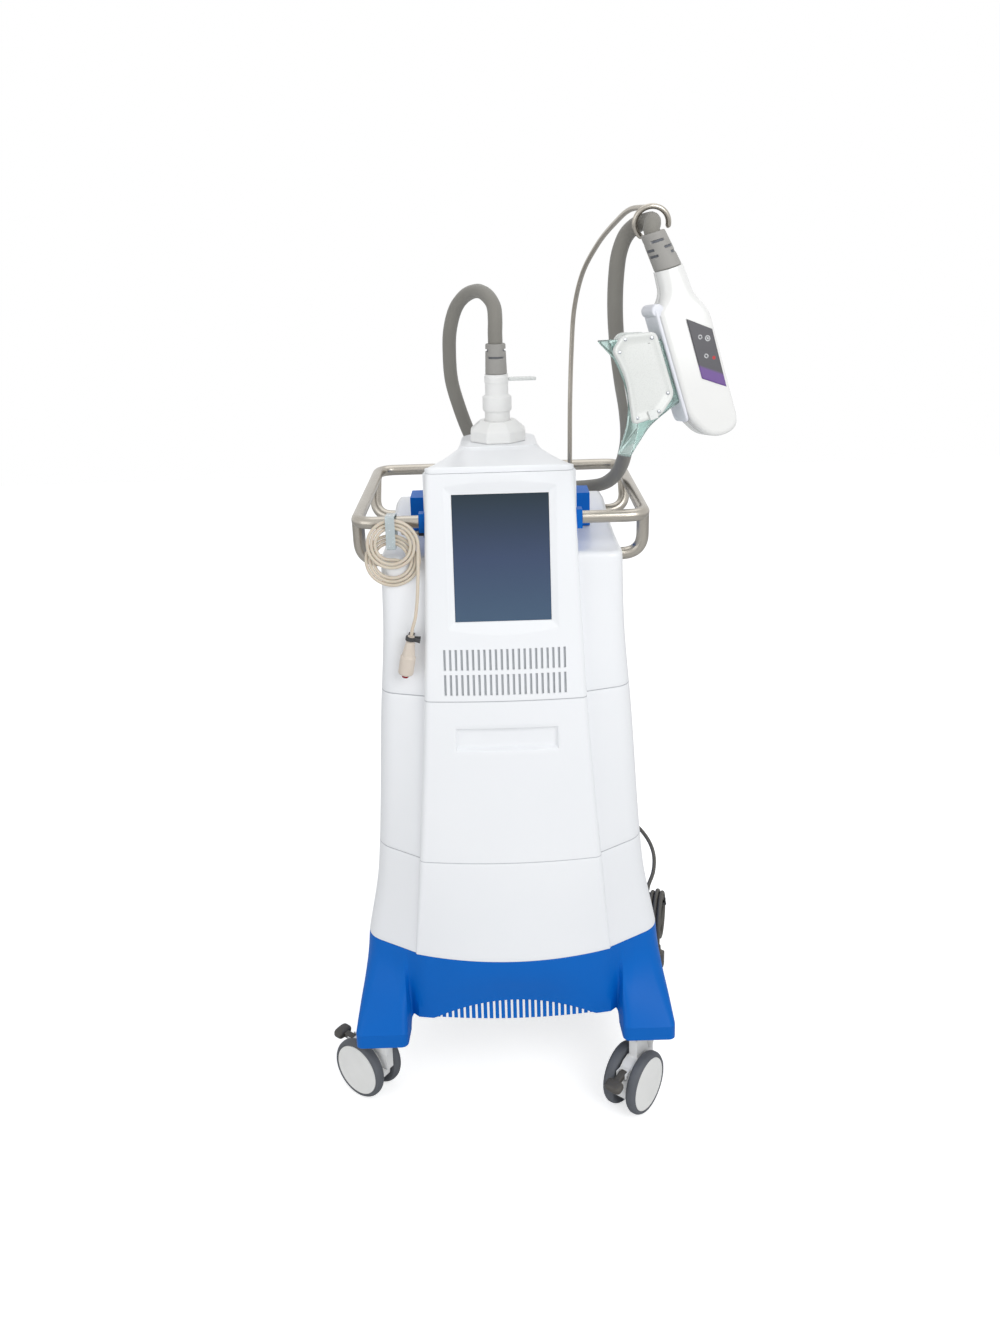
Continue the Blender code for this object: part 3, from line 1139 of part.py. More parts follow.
front_shell_rows = [body_loop(-FIT, 0), body_loop(-BODY_HALF_THICK + BODY_EDGE, 0),
                    body_loop(-BODY_HALF_THICK + BODY_EDGE * 0.3, BODY_EDGE * 0.3),
                    body_loop(-BODY_HALF_THICK, BODY_EDGE)]
back_shell_rows = [row * (1, -1, 1) for row in front_shell_rows]
new_object("applicator_shell", grid_mesh("applicator_shell", front_shell_rows, close_stations=True),
           WHITE, applicator)
new_object("applicator_back", grid_mesh("applicator_back", back_shell_rows, close_stations=True),
           WHITE, applicator)

# Keypad: a membrane of slanted outline on the body's face
KEYPAD_THICK = 0.0012
keypad_corners = [(0.003, -0.157), (0.001, -0.265), (0.042, -0.294), (0.045, -0.189)]
keypad_rows = [[(x, -BODY_HALF_THICK - FIT - out, z) for x, z in keypad_corners] for out in (0, KEYPAD_THICK)]
new_object("keypad", grid_mesh("keypad", keypad_rows, close_stations=True), DARK_GREY, applicator, smooth=False)

# Cup: a flared trough of clear plastic, open to the body's left, with a cooling plate on each side
CUP_WALL = 0.003
CUP_STEPS = 2
CUP_SIDE_SHARES = (0.25, 0.5, 0.75)
CUP_REACH_SHARES = ((0, 1), (0.25, 0.74), (0.5, 0.62), (0.75, 0.65), (1, 0.82))
cup_base_x = BODY_LEFT - FIT
cup_sections = [
    # out from the body, top, bottom, half thickness at the ends
    (0.000, -0.178, -0.292, 0.020),
    (0.030, -0.172, -0.300, 0.021),
    (0.070, -0.163, -0.314, 0.023),
    (0.100, -0.152, -0.334, 0.026),
    (0.126, -0.146, -0.352, 0.031),
]


def cup_loop(out, top, bottom, half, inset):
    """A ring of the cup: its reach is cut back between the two lips, and its width follows its reach."""
    low, high, out_half = bottom + inset, top - inset, half - inset
    sides = [low + (high - low) * share for share in CUP_SIDE_SHARES]
    corners = [(-out_half, high, half * 0.5), *[(-out_half, z, 0) for z in reversed(sides)],
               (-out_half, low, half * 0.5), (out_half, low, half * 0.5),
               *[(out_half, z, 0) for z in sides], (out_half, high, half * 0.5)]
    line = rounded_line(corners, CUP_STEPS, closed=True)
    rise = np.clip((line[:, 1] - bottom) / (top - bottom), 0, 1)
    reach = out * np.interp(rise, *zip(*CUP_REACH_SHARES))
    widths = np.interp(reach, [row[0] for row in cup_sections], [row[3] for row in cup_sections])
    return np.column_stack([cup_base_x - reach, line[:, 0] * widths / half, line[:, 1]])


cup_rows = [cup_loop(*section, 0) for section in cup_sections]
cup_rows += [cup_loop(*section, CUP_WALL) for section in reversed(cup_sections[1:])]
new_object("cup", grid_mesh("cup", cup_rows, close_stations=True), TEAL, applicator)
PLATE_DEPTH = 0.009
PLATE_EDGE = 0.006
plate_corners = [(-0.060, -0.160, 0.012), (-0.118, -0.146, 0.012), (-0.145, -0.166, 0.010), (-0.133, -0.214, 0.030),
                 (-0.147, -0.299, 0.010), (-0.092, -0.302, 0.012), (-0.060, -0.276, 0.012)]
plate_line = rounded_line(plate_corners, 2, closed=True)


def plate_loop(out, inset):
    """A ring of the front plate, a depth away from the cup's side, which widens toward its lip."""
    line = inward(plate_line, inset, closed=True)
    reach = cup_base_x - line[:, 0]
    side = np.interp(reach, [row[0] for row in cup_sections], [row[3] for row in cup_sections])
    return np.column_stack([line[:, 0], -side - out, line[:, 1]])


plate_rows = [plate_loop(FIT, 0), plate_loop(FIT + PLATE_DEPTH - PLATE_EDGE, 0),
              plate_loop(FIT + PLATE_DEPTH, PLATE_EDGE)]
new_object("cooling_plate_front", grid_mesh("cooling_plate_front", plate_rows, close_stations=True),
           WHITE, applicator)
new_object("cooling_plate_rear",
           grid_mesh("cooling_plate_rear", [row * (1, -1, 1) for row in plate_rows], close_stations=True),
           WHITE, applicator)

# Umbilical hose: from the dock's sleeve over and down behind the hood, out at the right and up to the hook
HOSE_DIAMETER = 0.0295
HOSE_STRAIGHT = 0.007
HOOK_POINTS = 20
hose_turn = Matrix.Translation(APPLICATOR_PLACE) @ Matrix.LocRotScale(
    None, applicator.rotation_euler.to_quaternion(), None)
hose_end = hose_turn @ Vector((0, 0, FIT))
hose_lead = hose_turn @ Vector((0, 0, HOSE_STRAIGHT))
hose_points = [
    (0, DOCK_Y, SLEEVE_TOP + FIT), (0, DOCK_Y, 1.566), (0.001, 0.024, 1.590), (-0.001, 0.040, 1.617),
    (-0.014, 0.066, 1.637), (-0.034, 0.100, 1.645), (-0.060, 0.134, 1.634), (-0.081, 0.158, 1.608),
    (-0.096, 0.180, 1.560), (-0.100, 0.195, 1.510), (-0.098, 0.204, 1.450), (-0.084, 0.211, 1.390),
    (-0.060, 0.216, 1.320), (-0.028, 0.219, 1.258), (0.015, 0.220, 1.213), (0.060, 0.221, 1.193),
    (0.108, 0.231, 1.190), (0.158, 0.238, 1.193), (0.200, 0.226, 1.1975), (0.228, 0.198, 1.208),
    (0.247, 0.150, 1.232), (0.2575, 0.095, 1.266), (0.262, 0.040, 1.308), (0.2615, -0.010, 1.358),
    (0.254, -0.050, 1.415), (0.242, -0.083, 1.475), (0.231, -0.112, 1.545), (0.2245, -0.140, 1.616),
    (0.2240, -0.165, 1.678), (0.2285, -0.181, 1.722), (0.2400, -0.194, 1.7530), (0.2570, -0.2095, 1.7695),
    (0.2725, -0.2280, 1.7755), (0.2785, -0.2430, 1.7765), (0.2785, -0.2545, 1.7715), tuple(hose_lead), tuple(hose_end),
]
hose_fine = smooth_route(hose_points, HOSE_DIAMETER * 0.22, straight_ends=True)
hose_line = np.vstack([hose_fine[:1], hose_fine[1:-HOOK_POINTS:6], hose_fine[-HOOK_POINTS:]])
cord_curve("umbilical_hose", hose_line, HOSE_DIAMETER, HOSE_GREY, 2)
print("umbilical hose length", round(route_length(hose_line), 3))

# Call cord: a coil of loops on the rail, a tail down to the handset and a lead to its socket
CALL_CORD_DIAMETER = 0.0065
CALL_PITCH = 0.0072
CALL_RADIUS = 0.0500
CALL_START_DEG = -8
CALL_FRONT_TURNS = 2.6056
CALL_CROSSING_TURNS = 0.17
CALL_DROP_TURNS = 0.25
CALL_BACK_TURNS = 3.02
LOOP_POINTS = 24
front_loops = (-0.2079, -0.1960, 1.1905)
back_loops = (-0.2100, -0.1882, 1.1600)
back_loops_front = (front_loops[0], back_loops[1], front_loops[2])


def eased(places, stops, values):
    """Values that ease from stop to stop."""
    places = np.clip(places, stops[0], stops[-1])
    index = np.clip(np.searchsorted(stops, places, side="right") - 1, 0, len(stops) - 2)
    stops, values = np.asarray(stops, float), np.asarray(values, float)
    share = (places - stops[index]) / (stops[index + 1] - stops[index])
    share = (share * share * (3 - 2 * share))[:, None]
    return values[index] * (1 - share) + values[index + 1] * share


def wound(stops, radii, centres, start_deg, start_straight, end_straight):
    """A coil in the XZ plane read from stops in turns: radius and centre, with a straight piece at each end."""
    turns = np.linspace(0, stops[-1], int(LOOP_POINTS * stops[-1]) + 1)
    radius = np.interp(turns, stops, radii)
    angle = math.radians(start_deg) + 2 * math.pi * turns
    loops = eased(turns, stops, centres)
    loops += np.stack([radius * np.cos(angle), np.zeros(len(turns)), radius * np.sin(angle)], axis=1)
    first = loops[0] + unit(loops[0] - loops[1]) * start_straight
    last = loops[-1] + unit(loops[-1] - loops[-2]) * end_straight
    return np.vstack([[first], loops, [last]])


def least_gap(points, diameter):
    """The least clear gap of a tube to itself, read between places more than four diameters apart on it."""
    fine = smooth_route(points, diameter / 5)
    along = np.arange(len(fine)) * np.linalg.norm(fine[1] - fine[0])
    distance = np.linalg.norm(fine[:, None] - fine[None], axis=2)
    apart = np.abs(along[:, None] - along[None]) > 4 * diameter
    return float(distance[apart].min() - diameter)


call_stops = np.cumsum([0, CALL_FRONT_TURNS, CALL_CROSSING_TURNS, CALL_DROP_TURNS, CALL_BACK_TURNS])
call_inner = CALL_RADIUS - CALL_PITCH * CALL_FRONT_TURNS
call_outer = call_inner + CALL_PITCH * CALL_BACK_TURNS
call_coil = wound(call_stops, (CALL_RADIUS, call_inner, call_inner, call_inner, call_outer),
                  (front_loops, front_loops, back_loops_front, back_loops, back_loops),
                  CALL_START_DEG, CALL_CORD_DIAMETER, CALL_CORD_DIAMETER)
cord_curve("call_cord_coil", call_coil, CALL_CORD_DIAMETER, BEIGE, 1)
print("call cord coil: length", round(route_length(call_coil), 3),
      "least gap mm", round(1000 * least_gap(call_coil, CALL_CORD_DIAMETER), 2))


def cord_gap(points, end):
    """A point one small gap beyond a cord's end, so that the next length meets it face to face."""
    tip, behind = (points[0], points[1]) if end == 0 else (points[-1], points[-2])
    outward = unit(np.subtract(tip, behind))
    return tip + outward * FIT, outward


# Handset: stepped body with a red button in its lower end, held by a clip on the left side shell
HANDSET_TILT_DEG = 10.7
HANDSET_RADIUS = 0.0150
HANDSET_LENGTH = 0.079
HANDSET_SHARES = ((0.433, 0), (0.433, 0.127), (0.567, 0.152), (0.833, 0.468), (0.833, 0.506), (1, 0.532), (1, 0.962),
                  (0.867, 1))
BUTTON_RADIUS = 0.0070
BUTTON_BORE = 0.0074
BUTTON_DEPTH = 0.010
BUTTON_PROUD = 0.0075
BUTTON_TRAVEL = 0.003
handset_place = (-0.1775, -0.2175, 1.0153)
handset = new_empty("handset_frame", handset_place, (0, math.radians(HANDSET_TILT_DEG), 0))
handset_profile = [(HANDSET_RADIUS * across, -HANDSET_LENGTH * along) for across, along in HANDSET_SHARES]
handset_profile += [(BUTTON_BORE, -HANDSET_LENGTH), (BUTTON_BORE, -HANDSET_LENGTH + BUTTON_DEPTH)]
new_object("handset_body", grid_mesh("handset_body", turned_rows(handset_profile, 12), close_stations=True),
           BEIGE, handset)
button_top = -HANDSET_LENGTH + BUTTON_DEPTH - BUTTON_TRAVEL - FIT
button_profile = [(BUTTON_RADIUS, button_top), (BUTTON_RADIUS, -HANDSET_LENGTH - BUTTON_PROUD * 0.7),
                  (BUTTON_RADIUS * 0.7, -HANDSET_LENGTH - BUTTON_PROUD)]
new_object("call_button", grid_mesh("call_button", turned_rows(button_profile, 16), close_stations=True),
           RED, handset)
CLIP_GAP = 0.0004
CLIP_WALL = 0.0035
CLIP_HEIGHT = 0.007
CLIP_DROP = 0.0015
CLIP_POST_WIDTH = 0.012
CLIP_PRONG = 0.008
clip_inner = HANDSET_RADIUS * HANDSET_SHARES[0][0] + CLIP_GAP
clip_outer = clip_inner + CLIP_WALL
clip_angles = np.radians(np.linspace(38, 322, 15))
clip_ring = np.stack([np.cos(clip_angles), np.sin(clip_angles)], axis=1)
clip_outline = np.vstack([
    [(clip_outer + CLIP_PRONG, clip_inner + CLIP_WALL)], clip_ring * clip_outer,
    [(clip_outer + CLIP_PRONG, -clip_inner - CLIP_WALL)], [(clip_outer + CLIP_PRONG, -clip_inner)],
    clip_ring[::-1] * clip_inner, [(clip_outer + CLIP_PRONG, clip_inner)],
])
clip_rows = [at_height(clip_outline, -CLIP_DROP - CLIP_HEIGHT), at_height(clip_outline, -CLIP_DROP)]
clip_x = handset_place[0]
clip_z = handset_place[2] - CLIP_DROP - CLIP_HEIGHT
clip_share = (clip_z - upper_low) / (SIDE_BREAK_TOP - upper_low)
shell_line = side_line(upper_low) * (1 - clip_share) + side_line(SIDE_BREAK_TOP) * clip_share
shell_front = float(np.interp(-clip_x - CLIP_POST_WIDTH / 2, shell_line[:3, 0], shell_line[:3, 1]))
clip_back = shell_front - FIT - handset_place[1] - CLIP_WALL / 4
handset_clip = new_object("handset_clip", grid_mesh("handset_clip", clip_rows, close_stations=True),
                          DARK_GREY, handset)
shaped_by(handset_clip, box_mesh("clip_post", (-CLIP_POST_WIDTH / 2, clip_inner + CLIP_WALL / 2, -CLIP_DROP - CLIP_HEIGHT),
                                 (CLIP_POST_WIDTH / 2, clip_back, -CLIP_DROP)), "UNION")

tail_start, tail_heading = cord_gap(call_coil, 0)
handset_turn = Matrix.Translation(handset_place) @ Matrix.Rotation(math.radians(HANDSET_TILT_DEG), 4, "Y")
tail_points = [
    tuple(tail_start), tuple(tail_start + tail_heading * 2 * CALL_CORD_DIAMETER), (-0.1600, -0.1990, 1.140),
    (-0.1615, -0.2060, 1.110), (-0.1640, -0.2120, 1.080), (-0.1685, -0.2165, 1.050),
    tuple(handset_turn @ Vector((0, 0, 2 * CALL_CORD_DIAMETER))), tuple(handset_turn @ Vector((0, 0, FIT))),
]
tail_line = smooth_route(tail_points, 2 * CALL_CORD_DIAMETER, straight_ends=True)
cord_curve("call_cord_tail", tail_line, CALL_CORD_DIAMETER, BEIGE, 2)

# Socket on the core's left face, its short lead, and the strap that ties the loops to the rail
SOCKET_OUT = 0.013
SOCKET_TUBE = 0.0055
SOCKET_PLATE = 0.003
SOCKET_HALF = 0.009
socket_place = (-core_half - FIT, -0.130, 1.1950)
socket_rows = turned_rows([(SOCKET_HALF, 0), (SOCKET_HALF, SOCKET_PLATE), (SOCKET_TUBE, SOCKET_PLATE),
                           (SOCKET_TUBE, SOCKET_OUT)], 14)
socket_frame = new_empty("call_socket_frame", socket_place, (0, -math.pi / 2, 0))
new_object("call_socket", grid_mesh("call_socket", socket_rows, close_stations=True), DARK_GREY, socket_frame)
lead_start, lead_heading = cord_gap(call_coil, 1)
socket_mouth = np.array(socket_place) - (SOCKET_OUT + FIT, 0, 0)
lead_points = [
    tuple(lead_start), tuple(lead_start + lead_heading * 2 * CALL_CORD_DIAMETER), (-0.1625, -0.1850, 1.1935),
    (-0.1720, -0.1745, 1.2000), (-0.1840, -0.1600, 1.2020), (-0.1905, -0.1445, 1.2000), (-0.1860, -0.1335, 1.1965),
    tuple(socket_mouth - (2 * CALL_CORD_DIAMETER, 0, 0)), tuple(socket_mouth),
]
lead_line = smooth_route(lead_points, 1.5 * CALL_CORD_DIAMETER, straight_ends=True)
cord_curve("call_cord_lead", lead_line, CALL_CORD_DIAMETER, BEIGE, 2)
print("call cord tail and lead lengths", round(route_length(tail_line), 3), round(route_length(lead_line), 3))
STRAP_WIDTH = 0.018
STRAP_THICK = 0.0015
STRAP_X = -0.209
STRAP_LOW = 1.1835
STRAP_ROUND = 0.008
STRAP_CLEAR = 0.0025
strap_rear = RAIL_FRONT + rail_radius + FIT
strap_front = front_loops[1] - CALL_CORD_DIAMETER / 2 - STRAP_CLEAR
strap_top = front_loops[2] + CALL_RADIUS + CALL_CORD_DIAMETER / 2 + STRAP_CLEAR
strap_inner = [(strap_rear, STRAP_LOW, STRAP_ROUND), (strap_rear, RAIL_Z + rail_radius + STRAP_CLEAR, STRAP_ROUND),
               (front_loops[1] + CALL_CORD_DIAMETER / 2, strap_top, STRAP_ROUND / 2), (strap_front, strap_top, STRAP_CLEAR),
               (strap_front, STRAP_LOW, STRAP_ROUND / 2)]
strap_line = rounded_line(strap_inner, 3, closed=True)
strap_rows = [np.column_stack([np.full(len(strap_line), STRAP_X + side * STRAP_WIDTH / 2), line])
              for line, side in ((strap_line, -1), (inward(strap_line, -STRAP_THICK, True), -1),
                                 (inward(strap_line, -STRAP_THICK, True), 1), (strap_line, 1))]
new_object("cord_strap", grid_mesh("cord_strap", strap_rows, True, True), PALE_STRAP, smooth=False)

# Mains cord: inlet at the rear, a lead round the right rear corner, the coil on its cleat, and the plug
MAINS_DIAMETER = 0.009
MAINS_PITCH = 0.0109
MAINS_RADIUS = 0.0555
MAINS_LAYERS = 4
MAINS_LAYER_TURNS = 1.4375
MAINS_CHANGE_TURNS = 0.5
MAINS_START_DEG = 90
MAINS_YAW_DEG = 75
PLUG_DROP = 0.036
INLET_X = 0.170
INLET_Z = 0.450
INLET_WIDTH = 0.060
INLET_HEIGHT = 0.034
INLET_OUT = 0.014
INLET_EDGE = 0.002
BOOT_RADIUS = 0.010
BOOT_LENGTH = 0.034
BOOT_TIP = 0.0058
coil_place = (0.329, 0.070, 0.207)
mains_frame = new_empty("mains_coil_frame", coil_place, (0, 0, math.radians(MAINS_YAW_DEG)))
mains_inner = MAINS_RADIUS - MAINS_PITCH * MAINS_LAYER_TURNS
mains_stops, mains_radii, mains_centres = [0], [MAINS_RADIUS], [(0, MAINS_PITCH * (MAINS_LAYERS - 1) / 2, 0)]
for layer in range(MAINS_LAYERS):
    layer_y = MAINS_PITCH * ((MAINS_LAYERS - 1) / 2 - layer)
    if layer:
        mains_stops.append(mains_stops[-1] + MAINS_CHANGE_TURNS)
        mains_radii.append(mains_radii[-1])
        mains_centres.append((0, layer_y, 0))
    mains_stops.append(mains_stops[-1] + MAINS_LAYER_TURNS)
    mains_radii.append(mains_inner if layer % 2 == 0 else MAINS_RADIUS)
    mains_centres.append((0, layer_y, 0))
mains_loops = wound(mains_stops, mains_radii, mains_centres, MAINS_START_DEG, MAINS_DIAMETER, PLUG_DROP)
cord_curve("mains_coil", mains_loops, MAINS_DIAMETER, DARK_GREY, 1, mains_frame)
print("mains coil: length", round(route_length(mains_loops), 3),
      "least gap mm", round(1000 * least_gap(mains_loops, MAINS_DIAMETER), 2))
inlet_wall = rear_y(INLET_Z - INLET_HEIGHT / 2) + FIT
mains_inlet = new_object(
    "mains_inlet", box_mesh("mains_inlet", (INLET_X - INLET_WIDTH / 2, inlet_wall, INLET_Z - INLET_HEIGHT / 2),
                            (INLET_X + INLET_WIDTH / 2, inlet_wall + INLET_OUT, INLET_Z + INLET_HEIGHT / 2), INLET_EDGE),
    DARK_GREY, smooth=False)
boot_rows = turned_rows([(BOOT_RADIUS, 0), (BOOT_RADIUS, BOOT_LENGTH * 0.3), (BOOT_TIP, BOOT_LENGTH)], 12)
boot_rows = boot_rows[:, :, [0, 2, 1]] + (INLET_X, inlet_wall + INLET_OUT / 2, INLET_Z)
shaped_by(mains_inlet, grid_mesh("boot", boot_rows, close_stations=True), "UNION")
boot_tip = np.array((INLET_X, inlet_wall + INLET_OUT / 2 + BOOT_LENGTH + FIT, INLET_Z))
mains_turn = np.array(Matrix.Translation(coil_place) @ Matrix.Rotation(math.radians(MAINS_YAW_DEG), 4, "Z"))
mains_world = mains_loops @ mains_turn[:3, :3].T + mains_turn[:3, 3]
coil_mouth, coil_heading = cord_gap(mains_world, 0)
mains_points = [
    tuple(boot_tip), tuple(boot_tip + (0, 2 * MAINS_DIAMETER, 0)), (0.1780, 0.3460, 0.437), (0.1980, 0.3540, 0.412),
    (0.2280, 0.3500, 0.378), (0.2620, 0.3350, 0.347), (0.2960, 0.3080, 0.325), (0.3240, 0.2700, 0.312),
    (0.3400, 0.2260, 0.302), (0.3440, 0.1800, 0.292), (0.3360, 0.1350, 0.278),
    tuple(coil_mouth + coil_heading * 2 * MAINS_DIAMETER), tuple(coil_mouth),
]
mains_line = smooth_route(mains_points, 2.6 * MAINS_DIAMETER, straight_ends=True)
cord_curve("mains_lead", mains_line, MAINS_DIAMETER, DARK_GREY, 2)
print("mains lead length", round(route_length(mains_line), 3))
PLUG_LENGTH = 0.046
PLUG_SHOULDER = 0.016
PLUG_HALF_WIDE = 0.015
PLUG_HALF_DEEP = 0.012
PLUG_ROUND = 0.004
PIN_RADIUS = 0.0024
PIN_LENGTH = 0.017
PIN_SPACING = 0.019
plug_mouth, plug_heading = cord_gap(mains_loops, 1)
plug_turn = Vector(plug_heading).to_track_quat("Z", "Y").to_euler()
plug_frame = new_empty("plug_frame", plug_mouth, plug_turn, mains_frame)


def plug_loop(share, height):
    corners = [(x * PLUG_HALF_WIDE, y * PLUG_HALF_DEEP, PLUG_ROUND) for x, y in ((1, 1), (-1, 1), (-1, -1), (1, -1))]
    return at_height(rounded_line(corners, 2, closed=True) * share, height)


plug_rows = [plug_loop(0.42, 0), plug_loop(0.5, PLUG_SHOULDER * 0.7), plug_loop(1, PLUG_SHOULDER),
             plug_loop(1, PLUG_LENGTH)]
mains_plug = new_object("mains_plug", grid_mesh("mains_plug", plug_rows, close_stations=True), DARK_GREY, plug_frame)
pins = [grid_mesh("pin", turned_rows([(PIN_RADIUS, PLUG_LENGTH / 2), (PIN_RADIUS, PLUG_LENGTH + PIN_LENGTH * 0.9),
                                      (PIN_RADIUS * 0.6, PLUG_LENGTH + PIN_LENGTH)], 8)
                  + (side * PIN_SPACING / 2, 0, 0), close_stations=True) for side in (-1, 1)]
shaped_by(mains_plug, joined_mesh("pins", pins), "UNION")

# Cleat: an arm from the skirt's right side through the coil, turned up at its end
CLEAT_WIDTH = 0.012
CLEAT_THICK = 0.006
CLEAT_PLATE = 0.004
CLEAT_PLATE_HALF = 0.016
CLEAT_LIP = 0.010
ARM_RISE = 0.0345
cleat_y = coil_place[1]
arm_top = coil_place[2] + ARM_RISE
skirt_side = np.array([row for row in skirt_line(0.5) if row[0] > CORNER_REACH and abs(row[1]) < CORNER_REACH])
skirt_side_low = np.array([row for row in skirt_line(1.0) if row[0] > CORNER_REACH and abs(row[1]) < CORNER_REACH])
cleat_wall = FIT + max(float(np.interp(cleat_y - CLEAT_PLATE_HALF, rows[:, 1], rows[:, 0]))
                       for rows in (skirt_side, skirt_side_low, skirt_line(0)[14:30]))
arm_out = coil_place[0] + MAINS_PITCH * MAINS_LAYERS / 2 + CLEAT_THICK
cord_cleat = new_object(
    "cord_cleat", box_mesh("cord_cleat", (cleat_wall + CLEAT_PLATE / 2, cleat_y - CLEAT_WIDTH / 2, arm_top - CLEAT_THICK),
                           (arm_out, cleat_y + CLEAT_WIDTH / 2, arm_top)), DARK_GREY, smooth=False)
shaped_by(cord_cleat, box_mesh("cleat_plate", (cleat_wall, cleat_y - CLEAT_PLATE_HALF, arm_top - CLEAT_PLATE_HALF),
                               (cleat_wall + CLEAT_PLATE, cleat_y + CLEAT_PLATE_HALF, arm_top + CLEAT_PLATE_HALF)), "UNION")
shaped_by(cord_cleat, box_mesh("cleat_lip", (arm_out - CLEAT_PLATE, cleat_y - CLEAT_PLATE, arm_top - CLEAT_THICK / 2),
                               (arm_out - CLEAT_PLATE / 4, cleat_y + CLEAT_PLATE, arm_top + CLEAT_LIP)), "UNION")

# Inside the base: chiller with its fan, coolant reservoir and power supply, all standing on the plate
FAN_Z = 0.300
FAN_RADIUS = 0.056
FAN_HUB = 0.018
FAN_BLADES = 7
FAN_DEPTH = 0.020
FAN_TWIST_DEG = 22
SHROUD_INNER = 0.059
SHROUD_OUTER = 0.065
SHROUD_DEPTH = 0.045
SHAFT_RADIUS = 0.004
FAN_BACK = 0.012
CHILLER_FRONT = -0.115
CHILLER_REAR = 0.085
CHILLER_HALF = 0.100
CHILLER_TOP = 0.410
CASE_EDGE = 0.004
RESERVOIR_PLACE = (-0.165, 0.030, 0)
RESERVOIR_RADIUS = 0.050
RESERVOIR_HEIGHT = 0.190
FILLER_RADIUS = 0.016
FILLER_HEIGHT = 0.024
POWER_LOW = (0.112, -0.080)
POWER_HIGH = (0.212, 0.120)
POWER_HEIGHT = 0.110
plate_top = PLATE_Z + PLATE_THICK + FIT
chiller = new_object("chiller_unit", box_mesh("chiller_unit", (-CHILLER_HALF, CHILLER_FRONT, plate_top),
                                              (CHILLER_HALF, CHILLER_REAR, CHILLER_TOP), CASE_EDGE), ZINC, smooth=False)
fan_frame = new_empty("fan_frame", (0, CHILLER_FRONT, FAN_Z), (math.pi / 2, 0, 0))
shroud = [(SHROUD_INNER, CUT_OVERRUN), (SHROUD_OUTER, -CUT_OVERRUN), (SHROUD_OUTER, SHROUD_DEPTH),
          (SHROUD_INNER, SHROUD_DEPTH)]


def forward_rows(profile, sides):
    """Turned rows laid along -Y from the chiller's front, in the machine's own frame."""
    rows = turned_rows(profile, sides)
    return np.stack([rows[:, :, 0], CHILLER_FRONT - rows[:, :, 2], FAN_Z + rows[:, :, 1]], axis=2)


shroud_ring = forward_rows([(SHROUD_INNER, -CUT_OVERRUN), *shroud[1:]], 16)
shaped_by(chiller, grid_mesh("shroud", shroud_ring, True, True), "UNION")
shaft = forward_rows([(SHAFT_RADIUS, -CUT_OVERRUN), (SHAFT_RADIUS, FAN_BACK + FAN_DEPTH * 0.8)], 10)
shaped_by(chiller, grid_mesh("shaft", shaft, close_stations=True), "UNION")
blade_shares = ((0, FAN_HUB), (0.08, FAN_RADIUS), (0.42, FAN_RADIUS), (0.5, FAN_HUB))
fan_angles = [2 * math.pi * (blade + share) / FAN_BLADES for blade in range(FAN_BLADES) for share, _ in blade_shares]
fan_radii = [radius for _ in range(FAN_BLADES) for _, radius in blade_shares]
fan_bore = SHAFT_RADIUS + 2 * FIT
fan_stars = []
for share in (0, 1):
    turn = math.radians(FAN_TWIST_DEG) * share
    fan_stars.append([(r * math.cos(a + turn), r * math.sin(a + turn), FAN_BACK + FAN_DEPTH * share)
                      for r, a in zip(fan_radii, fan_angles)])


def fan_ring(radius, share, turn_share):
    """A ring on the rotor's stations, so that its faces stay with the blades."""
    turn = math.radians(FAN_TWIST_DEG) * turn_share
    return [(radius * math.cos(a + turn), radius * math.sin(a + turn), FAN_BACK + FAN_DEPTH * share)
            for a in fan_angles]


fan_rows = [fan_ring(fan_bore, 0.85, 0), fan_ring(fan_bore, 0, 0), *fan_stars, fan_ring(FAN_HUB * 0.7, 1, 1)]
new_object("fan_rotor", grid_mesh("fan_rotor", fan_rows, close_stations=True), DARK_GREY, fan_frame, smooth=False)
filler_low = plate_top + RESERVOIR_HEIGHT
reservoir_profile = [(RESERVOIR_RADIUS, plate_top), (RESERVOIR_RADIUS, filler_low),
                     (FILLER_RADIUS, filler_low + FILLER_HEIGHT / 4), (FILLER_RADIUS, filler_low + FILLER_HEIGHT)]
reservoir_frame = new_empty("reservoir_frame", RESERVOIR_PLACE)
new_object("coolant_reservoir", grid_mesh("coolant_reservoir", turned_rows(reservoir_profile, 20),
                                          close_stations=True), WHITE, reservoir_frame)
new_object("power_supply", box_mesh("power_supply", (*POWER_LOW, plate_top), (*POWER_HIGH, plate_top + POWER_HEIGHT),
                                    CASE_EDGE), ZINC, smooth=False)

# The origin stands under the middle of the machine without its cords
CORDS = ("umbilical_hose", "call_cord_coil", "call_cord_tail", "call_cord_lead", "mains_lead", "mains_coil",
         "mains_plug")
bpy.context.view_layer.update()
depsgraph = bpy.context.evaluated_depsgraph_get()
reach = []
for piece in bpy.data.objects:
    if piece.type == "MESH" and not piece.hide_render and piece.name not in CORDS:
        solid = piece.evaluated_get(depsgraph)
        reach += [solid.matrix_world @ vertex.co for vertex in solid.data.vertices]
reach = np.array(reach)
middle = (reach.min(axis=0) + reach.max(axis=0)) / 2
machine.location = (-middle[0], -middle[1], -reach[:, 2].min())
print("machine frame moved by", [round(v, 5) for v in machine.location],
      "size", [round(float(v), 4) for v in reach.max(axis=0) - reach.min(axis=0)])
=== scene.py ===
import math

import bmesh
import bpy
import numpy as np
from mathutils import Euler, Matrix, Vector


